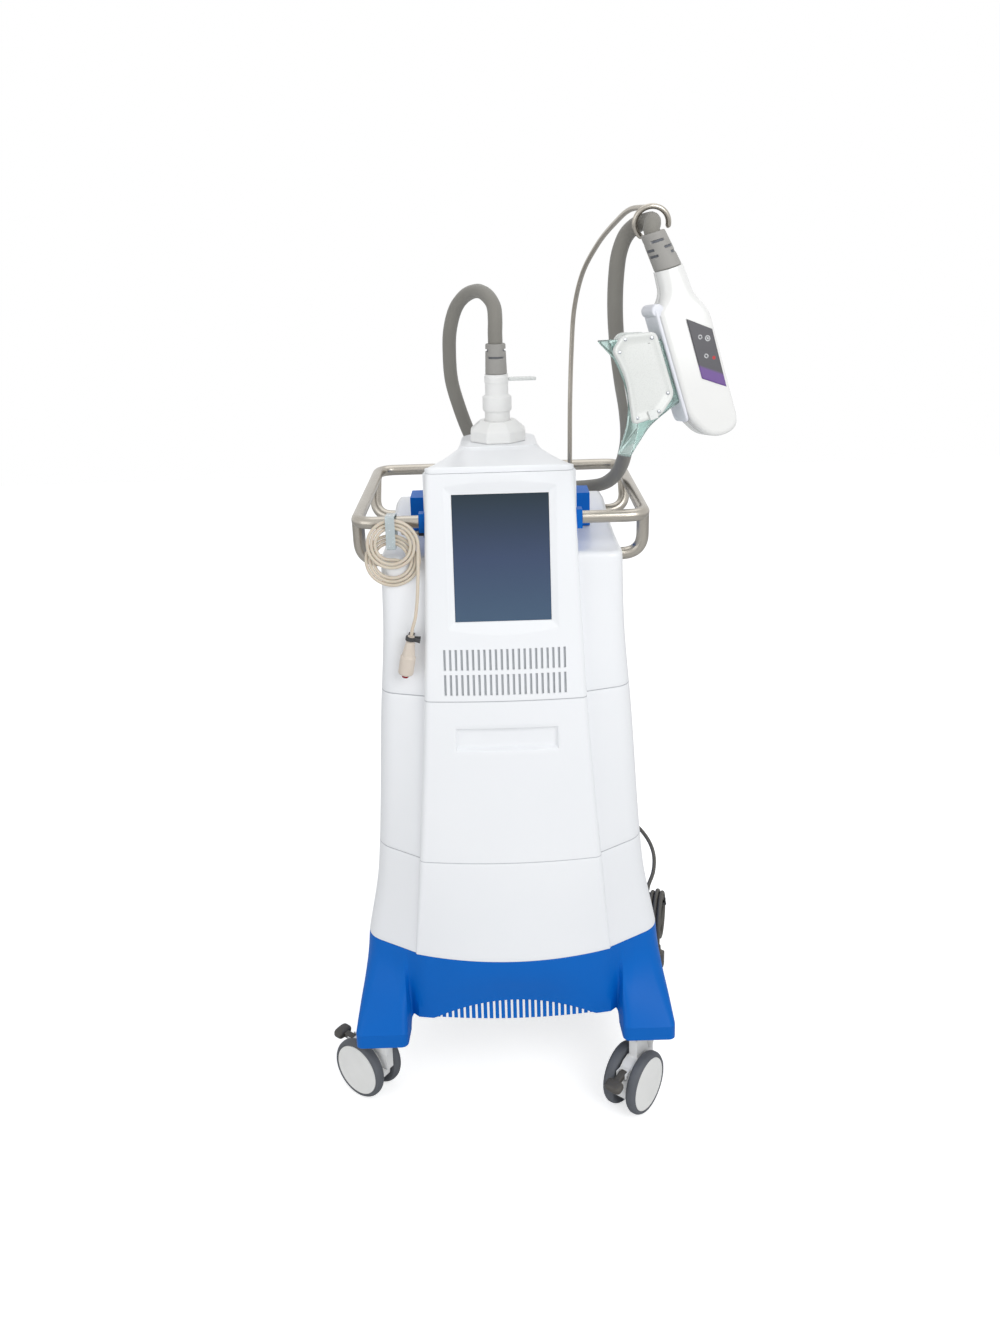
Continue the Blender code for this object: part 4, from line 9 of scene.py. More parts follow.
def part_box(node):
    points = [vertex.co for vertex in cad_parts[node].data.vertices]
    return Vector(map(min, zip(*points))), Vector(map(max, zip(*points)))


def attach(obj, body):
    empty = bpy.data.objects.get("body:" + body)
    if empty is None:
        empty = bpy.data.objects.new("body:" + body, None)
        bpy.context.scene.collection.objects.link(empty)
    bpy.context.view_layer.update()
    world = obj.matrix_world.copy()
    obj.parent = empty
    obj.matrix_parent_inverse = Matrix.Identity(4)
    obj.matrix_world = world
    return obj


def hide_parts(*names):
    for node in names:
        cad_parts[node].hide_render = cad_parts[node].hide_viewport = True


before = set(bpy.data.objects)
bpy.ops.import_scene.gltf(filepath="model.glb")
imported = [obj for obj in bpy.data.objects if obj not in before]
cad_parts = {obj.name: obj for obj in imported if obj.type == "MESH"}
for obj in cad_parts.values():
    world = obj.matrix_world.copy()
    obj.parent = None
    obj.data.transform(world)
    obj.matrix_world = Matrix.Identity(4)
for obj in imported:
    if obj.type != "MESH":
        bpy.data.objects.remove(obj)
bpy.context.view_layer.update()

# Where the photographer stood: a handheld camera at head height, two metres in front of the
# console, pitched down and rolled a little. Its film shows 1000 x 1320 picture points.
CONSOLE_PLACE = np.array((-0.0151, 0.00922, 0.0))
CAMERA_PLACE = (0.0, -2.30, 1.778)
CAMERA_PITCH_DEG = 13.6
CAMERA_ROLL_DEG = 1.7
FOCAL_POINTS = 1150
OPTICAL_CENTRE_POINTS = 502
PICTURE_POINTS = 1320
FILM_MM = 36

camera_data = bpy.data.cameras.new("camera")
camera_data.sensor_width = FILM_MM
camera_data.lens = FILM_MM * FOCAL_POINTS / PICTURE_POINTS
camera_data.shift_y = (OPTICAL_CENTRE_POINTS - PICTURE_POINTS / 2) / PICTURE_POINTS
camera = bpy.data.objects.new("camera", camera_data)
bpy.context.collection.objects.link(camera)
bpy.context.scene.camera = camera
camera.matrix_world = (Matrix.Translation(Vector(CONSOLE_PLACE) + Vector(CAMERA_PLACE))
                       @ Matrix.Rotation(math.radians(90 - CAMERA_PITCH_DEG), 4, "X")
                       @ Matrix.Rotation(math.radians(-CAMERA_ROLL_DEG), 4, "Z"))


# The umbilical hose: a smooth foam sleeve over the coolant lines and cables. It leaves the dock's
# sleeve, hangs down behind the hood, comes out at the right and climbs to the mast's hook.
HOSE_DIAMETER = 0.0295
HOSE_COLOUR = "#8B8982"
HOSE_SHADE = "#7F7C76"
FIT = 0.0003
DOCK_Y = 0.020
DOCK_SLEEVE_TOP = 1.5445
APPLICATOR_PLACE = (0.2772, -0.260, 1.7556)
APPLICATOR_TURN_DEG = (-6, -15, 18)


def linear(colour):
    """An sRGB hex colour as linear red, green, blue and alpha."""
    channels = np.array([int(colour[i:i + 2], 16) for i in (1, 3, 5)]) / 255
    return (*np.where(channels <= 0.04045, channels / 12.92, ((channels + 0.055) / 1.055) ** 2.4), 1)


def add(tree, kind, sockets, **settings):
    """Adds a node with its settings, and sets or links its sockets by name or number."""
    node = tree.nodes.new(kind)
    for name, value in settings.items():
        setattr(node, name, value)
    for name, value in sockets.items():
        if isinstance(value, bpy.types.NodeSocket):
            tree.links.new(value, node.inputs[name])
        else:
            node.inputs[name].default_value = value
    return node


def surfaced(name, colour, shade, grain_mm, relief_mm, roughness, spread=0.06, patch_mm=90, stretch=(1, 1, 1),
             fixed=None):
    """A material: two close colours in soft patches, a grain in relief, and a roughness that follows it."""
    material = bpy.data.materials.new(name)
    material.use_nodes = True
    tree = material.node_tree
    shader = tree.nodes["Principled BSDF"]
    place = add(tree, "ShaderNodeTexCoord", {}).outputs["Object"]
    drawn = add(tree, "ShaderNodeMapping", {"Vector": place, "Scale": stretch}).outputs["Vector"]
    patches = add(tree, "ShaderNodeTexNoise", {"Vector": place, "Scale": 1000 / patch_mm, "Detail": 4.0})
    grain = add(tree, "ShaderNodeTexNoise", {"Vector": drawn, "Scale": 1000 / grain_mm, "Detail": 3.0})
    tint = add(tree, "ShaderNodeMix", {0: patches.outputs["Fac"], 6: linear(colour), 7: linear(shade)},
               data_type="RGBA")
    rough = add(tree, "ShaderNodeMapRange", {
        "Value": grain.outputs["Fac"], "From Min": 0.3, "From Max": 0.7,
        "To Min": max(roughness - spread, 0.02), "To Max": roughness + spread})
    relief = add(tree, "ShaderNodeBump", {"Height": grain.outputs["Fac"], "Distance": relief_mm / 1000})
    tree.links.new(tint.outputs[2], shader.inputs["Base Color"])
    tree.links.new(rough.outputs["Result"], shader.inputs["Roughness"])
    tree.links.new(relief.outputs["Normal"], shader.inputs["Normal"])
    for socket, value in (fixed or {}).items():
        shader.inputs[socket].default_value = value
    return material


def unit(vector):
    """The vector, or each row of vectors, at length one."""
    vector = np.asarray(vector, float)
    return vector / np.linalg.norm(vector, axis=-1, keepdims=True)


def smooth_route(points, spacing, straight_ends=False):
    """A curve through the chosen points (centripetal Catmull-Rom), read at an even spacing."""
    points = np.asarray(points, float)
    if straight_ends:
        guide = points
    else:
        guide = np.vstack([2 * points[0] - points[1], points, 2 * points[-1] - points[-2]])
    knots = np.concatenate([[0], np.cumsum(np.linalg.norm(np.diff(guide, axis=0), axis=1) ** 0.5)])
    fine = []
    for i in range(1, len(guide) - 2):
        t0, t1, t2, t3 = knots[i - 1:i + 3]
        p0, p1, p2, p3 = guide[i - 1:i + 3]
        t = np.linspace(t1, t2, 24, endpoint=False)[:, None]
        a1 = (t1 - t) / (t1 - t0) * p0 + (t - t0) / (t1 - t0) * p1
        a2 = (t2 - t) / (t2 - t1) * p1 + (t - t1) / (t2 - t1) * p2
        a3 = (t3 - t) / (t3 - t2) * p2 + (t - t2) / (t3 - t2) * p3
        b1 = (t2 - t) / (t2 - t0) * a1 + (t - t0) / (t2 - t0) * a2
        b2 = (t3 - t) / (t3 - t1) * a2 + (t - t1) / (t3 - t1) * a3
        fine.append((t2 - t) / (t2 - t1) * b1 + (t - t1) / (t2 - t1) * b2)
    fine = np.vstack([*fine, guide[-2:-1]])
    along = np.concatenate([[0], np.cumsum(np.linalg.norm(np.diff(fine, axis=0), axis=1))])
    places = np.linspace(0, along[-1], max(2, int(round(along[-1] / spacing)) + 1))
    line = np.stack([np.interp(places, along, fine[:, axis]) for axis in range(3)], axis=1)
    return np.vstack([points[:1], line, points[-1:]]) if straight_ends else line


def cord(name, points, diameter, material):
    """A cord as one open spline with a round section and filled ends, on the console."""
    curve = bpy.data.curves.new(name, "CURVE")
    curve.dimensions = "3D"
    curve.bevel_depth = diameter / 2
    curve.bevel_resolution = 4
    curve.use_fill_caps = True
    spline = curve.splines.new("POLY")
    spline.points.add(len(points) - 1)
    rows = np.column_stack([points, np.ones(len(points))])
    spline.points.foreach_set("co", rows.astype(np.float32).ravel())
    curve.materials.append(material)
    made = bpy.data.objects.new(name, curve)
    bpy.context.collection.objects.link(made)
    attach(made, "console")
    return made


def placed(points, place=(0, 0, 0), turn_deg=(0, 0, 0)):
    """Points turned by angles about X, then Y, then Z, and moved to a place on the console."""
    turn = np.array(Euler([math.radians(angle) for angle in turn_deg]).to_matrix())
    return np.asarray(points, float) @ turn.T + np.asarray(place) + CONSOLE_PLACE


def on_applicator(points):
    """Points of the applicator, with its sleeve's top as their origin, placed where it hangs."""
    return placed(points, APPLICATOR_PLACE, APPLICATOR_TURN_DEG)


# Neoprene foam sleeve: matt, with a faint knitted pile
foam_sleeve = surfaced("neoprene_foam_sleeve", HOSE_COLOUR, HOSE_SHADE, 1.6, 0.25, 0.78, patch_mm=60,
                       fixed={"Sheen Weight": 0.25, "Sheen Roughness": 0.5})
hose_lead = on_applicator([(0, 0, 0.007), (0, 0, FIT)]) - CONSOLE_PLACE
hose_points = [
    (0, DOCK_Y, DOCK_SLEEVE_TOP + FIT), (0, DOCK_Y, 1.566), (0.001, 0.024, 1.590), (-0.001, 0.040, 1.617),
    (-0.014, 0.066, 1.637), (-0.034, 0.100, 1.645), (-0.060, 0.134, 1.634), (-0.081, 0.158, 1.608),
    (-0.096, 0.180, 1.560), (-0.100, 0.195, 1.510), (-0.098, 0.204, 1.450), (-0.084, 0.211, 1.390),
    (-0.060, 0.216, 1.320), (-0.028, 0.219, 1.258), (0.015, 0.220, 1.213), (0.060, 0.221, 1.193),
    (0.108, 0.231, 1.190), (0.158, 0.238, 1.193), (0.200, 0.226, 1.1975), (0.228, 0.198, 1.208),
    (0.247, 0.150, 1.232), (0.2575, 0.095, 1.266), (0.262, 0.040, 1.308), (0.2615, -0.010, 1.358),
    (0.254, -0.050, 1.415), (0.242, -0.083, 1.475), (0.231, -0.112, 1.545), (0.2245, -0.140, 1.616),
    (0.2240, -0.165, 1.678), (0.2285, -0.181, 1.722), (0.2400, -0.194, 1.7530), (0.2570, -0.2095, 1.7695),
    (0.2725, -0.2280, 1.7755), (0.2785, -0.2430, 1.7765), (0.2785, -0.2545, 1.7715), *hose_lead]
hose_line = placed(smooth_route(hose_points, HOSE_DIAMETER * 0.22, straight_ends=True))
hose = cord("hose_sleeve", hose_line, HOSE_DIAMETER, foam_sleeve)
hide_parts("umbilical_hose")


# The call cord: one soft beige lead from the socket on the console's left, wound on the rail in two
# bunches of loops under a strap, and down to the call button's handset.
CALL_CORD_DIAMETER = 0.0065
CALL_PITCH = 0.0072
CALL_RADIUS = 0.0500
CALL_START_DEG = -8
CALL_FRONT_TURNS = 2.6056
CALL_CROSSING_TURNS = 0.17
CALL_DROP_TURNS = 0.25
CALL_BACK_TURNS = 3.02
LOOP_POINTS = 48
HANDSET_PLACE = (-0.1775, -0.2175, 1.0153)
HANDSET_TILT_DEG = (0, 10.7, 0)
front_loops = (-0.2079, -0.1960, 1.1905)
back_loops = (-0.2100, -0.1882, 1.1600)
back_loops_front = (front_loops[0], back_loops[1], front_loops[2])


def eased(places, stops, values):
    """Values that ease from stop to stop: each share of the way is 3 s squared less 2 s cubed."""
    places = np.clip(places, stops[0], stops[-1])
    index = np.clip(np.searchsorted(stops, places, side="right") - 1, 0, len(stops) - 2)
    stops, values = np.asarray(stops, float), np.asarray(values, float)
    share = (places - stops[index]) / (stops[index + 1] - stops[index])
    share = (share * share * (3 - 2 * share))[:, None]
    return values[index] * (1 - share) + values[index + 1] * share


def wound(stops, radii, centres, start_deg, start_straight, end_straight):
    """A coil in the XZ plane: at each turn its centre, plus its radius at the turn's angle."""
    turns = np.linspace(0, stops[-1], int(LOOP_POINTS * stops[-1]) + 1)
    radius = np.interp(turns, stops, radii)
    angle = math.radians(start_deg) + 2 * math.pi * turns
    loops = eased(turns, stops, centres)
    loops += np.stack([radius * np.cos(angle), np.zeros(len(turns)), radius * np.sin(angle)], axis=1)
    first = loops[0] + unit(loops[0] - loops[1]) * start_straight
    last = loops[-1] + unit(loops[-1] - loops[-2]) * end_straight
    return np.vstack([[first], loops, [last]])


def meeting(points, diameter):
    """The point one small gap beyond a length's last point, and one two diameters straight on."""
    outward = unit(np.subtract(points[-1], points[-2]))
    start = points[-1] + outward * FIT
    return [start, start + outward * 2 * diameter]


call_stops = np.cumsum([0, CALL_FRONT_TURNS, CALL_CROSSING_TURNS, CALL_DROP_TURNS, CALL_BACK_TURNS])
call_inner = CALL_RADIUS - CALL_PITCH * CALL_FRONT_TURNS
call_outer = call_inner + CALL_PITCH * CALL_BACK_TURNS
call_coil = wound(call_stops, (CALL_RADIUS, call_inner, call_inner, call_inner, call_outer),
                  (front_loops, front_loops, back_loops_front, back_loops, back_loops),
                  CALL_START_DEG, CALL_CORD_DIAMETER, CALL_CORD_DIAMETER)
handset_top = placed([(0, 0, 0.013), (0, 0, FIT)], HANDSET_PLACE, HANDSET_TILT_DEG) - CONSOLE_PLACE
tail = smooth_route([
    *meeting(call_coil[::-1], CALL_CORD_DIAMETER), (-0.1600, -0.1990, 1.140), (-0.1615, -0.2060, 1.110),
    (-0.1640, -0.2120, 1.080), (-0.1685, -0.2165, 1.050), *handset_top,
], CALL_CORD_DIAMETER / 2, straight_ends=True)
socket_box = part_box("call_socket")
socket_mouth = np.array((socket_box[0].x - FIT, (socket_box[0].y + socket_box[1].y) / 2,
                         (socket_box[0].z + socket_box[1].z) / 2)) - CONSOLE_PLACE
lead = smooth_route([
    *meeting(call_coil, CALL_CORD_DIAMETER), (-0.1625, -0.1850, 1.1935), (-0.1720, -0.1745, 1.2000),
    (-0.1840, -0.1600, 1.2020), (-0.1905, -0.1445, 1.2000), (-0.1860, -0.1335, 1.1965),
    socket_mouth - (2 * CALL_CORD_DIAMETER, 0, 0), socket_mouth,
], CALL_CORD_DIAMETER / 2, straight_ends=True)
# Soft PVC jacket: satin, a little yellowed with age
beige_jacket = surfaced("beige_pvc_jacket", "#D8CDBD", "#CBBEAB", 3.0, 0.05, 0.42, patch_mm=40,
                        fixed={"Subsurface Weight": 0.05})
call_line = placed(np.vstack([lead[::-1], call_coil[::-1], tail]))
call_cord = cord("call_cord", call_line, CALL_CORD_DIAMETER, beige_jacket)
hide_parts("call_cord_coil", "call_cord_tail", "call_cord_lead")


# The mains cord: a thick rubber lead from the inlet at the back, round the right rear corner to a
# coil of four layers on its cleat beside the base, with the plug hanging from it.
MAINS_DIAMETER = 0.009
MAINS_PITCH = 0.0109
MAINS_RADIUS = 0.0555
MAINS_LAYERS = 4
MAINS_LAYER_TURNS = 1.4375
MAINS_CHANGE_TURNS = 0.5
MAINS_START_DEG = 90
PLUG_DROP = 0.036
COIL_PLACE = (0.329, 0.070, 0.207)
COIL_TURN_DEG = (0, 0, 75)
INLET_X = 0.170
INLET_Z = 0.450
mains_inner = MAINS_RADIUS - MAINS_PITCH * MAINS_LAYER_TURNS
mains_stops, mains_radii, mains_centres = [0], [MAINS_RADIUS], [(0, MAINS_PITCH * (MAINS_LAYERS - 1) / 2, 0)]
for layer in range(MAINS_LAYERS):
    layer_y = MAINS_PITCH * ((MAINS_LAYERS - 1) / 2 - layer)
    if layer:
        mains_stops.append(mains_stops[-1] + MAINS_CHANGE_TURNS)
        mains_radii.append(mains_radii[-1])
        mains_centres.append((0, layer_y, 0))
    mains_stops.append(mains_stops[-1] + MAINS_LAYER_TURNS)
    mains_radii.append(mains_inner if layer % 2 == 0 else MAINS_RADIUS)
    mains_centres.append((0, layer_y, 0))
mains_coil = wound(mains_stops, mains_radii, mains_centres, MAINS_START_DEG, MAINS_DIAMETER, PLUG_DROP)
mains_coil = placed(mains_coil, COIL_PLACE, COIL_TURN_DEG) - CONSOLE_PLACE
boot_tip = np.array((INLET_X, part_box("mains_inlet")[1].y - CONSOLE_PLACE[1] + FIT, INLET_Z))
mains_lead = smooth_route([
    boot_tip, boot_tip + (0, 2 * MAINS_DIAMETER, 0), (0.1780, 0.3460, 0.437), (0.1980, 0.3540, 0.412),
    (0.2280, 0.3500, 0.378), (0.2620, 0.3350, 0.347), (0.2960, 0.3080, 0.325), (0.3240, 0.2700, 0.312),
    (0.3400, 0.2260, 0.302), (0.3440, 0.1800, 0.292), (0.3360, 0.1350, 0.278),
    *meeting(mains_coil[::-1], MAINS_DIAMETER)[::-1],
], MAINS_DIAMETER / 2, straight_ends=True)
# Rubber jacket: dull grey brown, scuffed paler by the floor
rubber_jacket = surfaced("grey_rubber_jacket", "#5E5B55", "#4C4A46", 2.0, 0.12, 0.62, patch_mm=25)
mains_line = placed(np.vstack([mains_lead, mains_coil]))
mains_cord = cord("mains_cord", mains_line, MAINS_DIAMETER, rubber_jacket)
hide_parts("mains_coil", "mains_lead")


# The body: white shells of painted polyurethane foam, moulded thick, screwed to the frame from
# inside, and parted by two seams. The console is a flared column with a crowned front, set between
# two sides that spread toward the base.
SKIRT_TOP, LOWER_SEAM, UPPER_SEAM, SHOULDER_TOP, BEZEL_TOP = 0.348, 0.559, 0.888, 1.160, 1.325
FIN_TOP, CORE_TOP, DECK_TOP = 1.210, 1.245, 1.338
SHELL_WALL = 0.004
SEAM_ROUND = 0.0016
BASE_HALF, SHOULDER_HALF, REAR_TAPER_SHARE = 0.302, 0.236, 0.90
COLUMN_HALF_BASE, COLUMN_HALF_TOP = 0.197, 0.1412
FRONT_BASE, FRONT_TOP, CORNER_REACH = 0.290, 0.197, 0.185
REAR_BASE, REAR_TOP = 0.262, 0.240
FRONT_CROWN, CREASE_STEP, COLUMN_EDGE = 0.035, 0.030, 0.014
CORNER_ROUND, REAR_ROUND, CREASE_ROUND = 0.034, 0.050, 0.003
BEND_STEPS = 9
REAR_COVER_HALF, HOOD_REAR = 0.120, 0.150
SIDE_FLARE_SHARES = ((0, 1), (0.19, 0.58), (0.59, 0.255), (0.85, 0.03), (1, 0))
COLUMN_FLARE_SHARES = ((0, 1), (0.22, 0.69), (0.55, 0.295), (1, 0))
FRONT_REACH_SHARES = ((0, 1), (0.22, 0.84), (0.55, 0.54), (0.69, 0.33), (1, 0))
CROWN_SHARES = ((0, 1), (0.22, 0.41), (0.55, 0.23), (1, 0.17))
CREASE_SHARES = ((0, 0.16), (0.22, 0.55), (0.55, 0.93), (1, 1))
SHOULDER_RISE_SHARES = ((0, 0), (0.2, 0.12), (0.5, 0.55), (0.64, 1), (0.73, 1), (0.83, 0.26), (1, 0.24))


def flowing(share, table):
    """A table of shares read on a monotone cubic, whose slope at a place is the harmonic mean of its
    neighbours' slopes, or nought where they turn."""
    x, y = np.array(table, float).T
    slope = np.diff(y) / np.diff(x)
    both = slope[1:] * slope[:-1]
    mean = np.where(both > 0, 2 * both / np.where(both > 0, slope[1:] + slope[:-1], 1), 0)
    tangent = np.concatenate([slope[:1], mean, slope[-1:]])
    share = np.clip(np.asarray(share, float), x[0], x[-1])
    i = np.clip(np.searchsorted(x, share, side="right") - 1, 0, len(x) - 2)
    run = x[i + 1] - x[i]
    s = (share - x[i]) / run
    return ((1 + 2 * s) * (1 - s) ** 2 * y[i] + s * (1 - s) ** 2 * run * tangent[i]
            + s * s * (3 - 2 * s) * y[i + 1] + s * s * (s - 1) * run * tangent[i + 1])


def column_share(z):
    """How far up the column a height is: nought at the skirt, one at the bezel's top."""
    return (np.asarray(z, float) - SKIRT_TOP) / (BEZEL_TOP - SKIRT_TOP)


def side_share(z):
    """How far up the sides a height is: nought at the skirt, one at the shoulder."""
    return (np.asarray(z, float) - SKIRT_TOP) / (SHOULDER_TOP - SKIRT_TOP)


def side_half(z):
    """Half the width over the sides: from the shoulder's to the base's by the sides' flare."""
    return SHOULDER_HALF + (BASE_HALF - SHOULDER_HALF) * flowing(side_share(z), SIDE_FLARE_SHARES)


def column_half(z):
    """Half the column's width: from its top's to its base's by the column's flare."""
    flare = flowing(column_share(z), COLUMN_FLARE_SHARES)
    return COLUMN_HALF_TOP + (COLUMN_HALF_BASE - COLUMN_HALF_TOP) * flare


def front_y(z):
    """The front's middle line: from its place at the top, forward by the front's reach."""
    return -FRONT_TOP - (FRONT_BASE - FRONT_TOP) * flowing(column_share(z), FRONT_REACH_SHARES)


def crown(z):
    """How far the column's edges stand back from its middle."""
    return FRONT_CROWN * flowing(column_share(z), CROWN_SHARES)


def crease_step(z):
    """How far the column stands out from the sides."""
    return CREASE_STEP * flowing(column_share(z), CREASE_SHARES)


def crease_y(z):
    """The crease between column and side: the front, the crown and the step together."""
    return front_y(z) + crown(z) + crease_step(z)


def rear_y(z):
    """The rear: a plane that leans in from the base to the shoulder."""
    return REAR_BASE + (REAR_TOP - REAR_BASE) * side_share(z)


def shoulder_z(y):
    """The shoulder's height along the side, which rises to the fin and falls again behind it."""
    depth = (y + CORNER_REACH) / (REAR_TOP + CORNER_REACH)
    return SHOULDER_TOP + (FIN_TOP - SHOULDER_TOP) * flowing(depth, SHOULDER_RISE_SHARES)


def rounded(corners, setbacks, steps, is_open=False):
    """Lines through corners, each corner a parabola from a setback before it to a setback after it.
    The corners may have any leading dimensions, such as one for each height."""
    corners = np.asarray(corners, float)
    reach = np.asarray(setbacks, float)[..., None]
    start = corners + reach * unit(np.roll(corners, 1, axis=-2) - corners)
    end = corners + reach * unit(np.roll(corners, -1, axis=-2) - corners)
    t = np.linspace(0, 1, steps)[:, None]
    line = ((1 - t) ** 2 * start[..., None, :] + 2 * t * (1 - t) * corners[..., None, :]
            + t ** 2 * end[..., None, :])
    line = line.reshape(*corners.shape[:-2], -1, corners.shape[-1])
    return line[..., steps - 1:1 - steps, :] if is_open else line


def inward(line, distance, closed=False):
    """Plan lines moved to their left by a distance, mitred where they turn."""
    step = np.roll(line, -1, axis=-2) - line
    normal = unit(np.stack([-step[..., 1], step[..., 0]], axis=-1) + 1e-12)
    before = np.roll(normal, 1, axis=-2)
    if not closed:
        normal[..., -1, :] = normal[..., -2, :]
        before[..., 0, :] = normal[..., 0, :]
    both = before + normal
    return line + distance * 2 * both / (both ** 2).sum(axis=-1, keepdims=True)


def raised(line, z):
    """Plan lines at their heights."""
    line = np.asarray(line, float)
    return np.concatenate([line, np.broadcast_to(np.asarray(z, float), line.shape[:-1])[..., None]], axis=-1)


def column_front(z, count=17):
    """The right half of the column's crowned front, from its middle: y is the front plus the crown
    times the square of the share across."""
    share = np.linspace(0, 0.86, count)[None, :]
    half, front, rise = column_half(z)[:, None], front_y(z)[:, None], crown(z)[:, None]
    return np.stack([share * half, front + rise * share ** 2], axis=-1)


def side_line(z, rear_stop=REAR_COVER_HALF + FIT, start_gap=FIT):
    """The right side's outer line at each height, from the crease round to the rear cover."""
    half, y = side_half(z), rear_y(z)
    start = np.stack([column_half(z) + start_gap, crease_y(z)], axis=-1)
    front_corner = np.stack([half, np.full(len(z), -CORNER_REACH)], axis=-1)
    rear_corner = np.stack([half * REAR_TAPER_SHARE, y], axis=-1)
    stop = np.stack([np.full(len(z), rear_stop), y], axis=-1)
    straight = [front_corner * (1 - s) + rear_corner * s
                for s in (0.3, 0.42, 0.5, 0.57, 0.64, 0.69, 0.73, 0.78, 0.83)]
    front_bend = rounded(np.stack([start, front_corner, rear_corner], axis=1), (0, CORNER_ROUND, 0),
                         BEND_STEPS, True)
    rear_bend = rounded(np.stack([front_corner, rear_corner, stop], axis=1), (0, REAR_ROUND, 0),
                        BEND_STEPS, True)
    return np.concatenate([front_bend[:, :-1], np.stack(straight, axis=1), rear_bend[:, 1:]], axis=1)


def piece(name, points, material, faces=None, wraps=(False, True), body="console", sharp_deg=38,
          bevel=0.0, node=None, merge=True):
    """A closed mesh with its faces outward, on a body, in place of the CAD node that it stands for. Rows of
    points get the faces of their grid, closed on itself along and across the rows as wraps says."""
    points = np.asarray(points, float)
    if faces is None:
        faces = grid_faces(*points.shape[:2], *wraps)
    mesh = bpy.data.meshes.new(name)
    mesh.from_pydata(points.reshape(-1, 3).tolist(), [], faces)
    build = bmesh.new()
    build.from_mesh(mesh)
    if merge:
        bmesh.ops.remove_doubles(build, verts=build.verts, dist=2e-6)
    bmesh.ops.recalc_face_normals(build, faces=build.faces)
    build.to_mesh(mesh)
    build.free()
    mesh.materials.append(material)
    mesh.shade_smooth()
    mesh.set_sharp_from_angle(angle=math.radians(sharp_deg))
    made = bpy.data.objects.new(name, mesh)
    bpy.context.collection.objects.link(made)
    if bevel:
        rim = made.modifiers.new("rounded_rims", "BEVEL")
        rim.width = bevel
        rim.segments = 2
        rim.angle_limit = math.radians(sharp_deg)
        rim.harden_normals = True
    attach(made, body)
    if node:
        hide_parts(node)
    return made


def grid_faces(rows, columns, wrap_rows=False, wrap_columns=False, start=0):
    """Faces of a grid of points, closed on itself each way or capped there by one face."""
    r, c = np.meshgrid(np.arange(rows if wrap_rows else rows - 1),
                       np.arange(columns if wrap_columns else columns - 1), indexing="ij")
    above, right = (r + 1) % rows, (c + 1) % columns
    corners = (r * columns + c, r * columns + right, above * columns + right, above * columns + c)
    faces = (np.stack(corners, axis=-1).reshape(-1, 4) + start).tolist()
    if not wrap_rows:
        faces.append(list(range(start, start + columns)))
        faces.append(list(range(start + (rows - 1) * columns, start + rows * columns)))
    if not wrap_columns:
        faces.append([start + row * columns for row in range(rows)])
        faces.append([start + row * columns + columns - 1 for row in range(rows)])
    return faces


def quarter(radius, steps):
    """A quarter round from its side to its top: how far each step is drawn in, and how far it is below."""
    return [(radius * (1 - math.cos(a)), radius * (1 - math.sin(a)))
            for a in np.radians(np.linspace(0, 90, steps))]


def wall_rows(line_at, low, high, count, closed=False):
    """A shell wall's rows: the outer line with a quarter round at each end, then the inner line."""
    rise, inset = np.array(quarter(SEAM_ROUND, 4)[:3]).T
    z = np.concatenate([low + rise, np.linspace(low + SEAM_ROUND, high - SEAM_ROUND, count),
                        high - rise[::-1]])
    inset = np.concatenate([inset, np.zeros(count), inset[::-1]])[:, None, None]
    inner_z = np.linspace(high, low, count)
    outer = raised(inward(line_at(z), inset, closed), z[:, None])
    inner = raised(inward(line_at(inner_z), SHELL_WALL, closed), inner_z[:, None])
    return np.concatenate([outer, inner])


def body_ring(z):
    """The whole outer line at each height, closed, counter-clockwise from the middle of the front."""
    front = column_front(z)
    half, y = side_half(z), rear_y(z)
    edge = np.minimum(COLUMN_EDGE, 0.8 * crease_step(z))
    zero = np.zeros(len(z))
    corners = np.stack([
        front[:, -1], np.stack([column_half(z), front_y(z) + crown(z)], axis=-1),
        np.stack([column_half(z), crease_y(z)], axis=-1), np.stack([half, zero - CORNER_REACH], axis=-1),
        np.stack([half * REAR_TAPER_SHARE, y], axis=-1), np.stack([zero, y], axis=-1)], axis=1)
    setbacks = np.stack([zero, edge, np.minimum(CREASE_ROUND, 0.15 * edge), zero + CORNER_ROUND,
                         zero + REAR_ROUND, zero], axis=1)
    right = np.concatenate([front[:, :-1], rounded(corners, setbacks, BEND_STEPS, True)], axis=1)
    left = right[:, 1:-1][:, ::-1] * (-1, 1)
    return np.concatenate([right, left], axis=1)


def height_in(material):
    """The height above the floor, as a socket in a material."""
    tree = material.node_tree
    place = add(tree, "ShaderNodeTexCoord", {}).outputs["Object"]
    return add(tree, "ShaderNodeSeparateXYZ", {0: place}).outputs["Z"]


def ranged(material, value, start, stop, at_start=0.0, at_stop=1.0):
    """A value that goes evenly from one share to another as a socket goes from start to stop."""
    sockets = {"Value": value, "From Min": start, "From Max": stop, "To Min": at_start, "To Max": at_stop}
    return add(material.node_tree, "ShaderNodeMapRange", sockets).outputs["Result"]


def tinted(material, share, colour):
    """Turns a material's colour toward another by a share."""
    tree = material.node_tree
    base = tree.nodes["Principled BSDF"].inputs["Base Color"]
    mixed = add(tree, "ShaderNodeMix", {0: share, 6: base.links[0].from_socket, 7: linear(colour)},
                data_type="RGBA")
    tree.links.new(mixed.outputs[2], base)


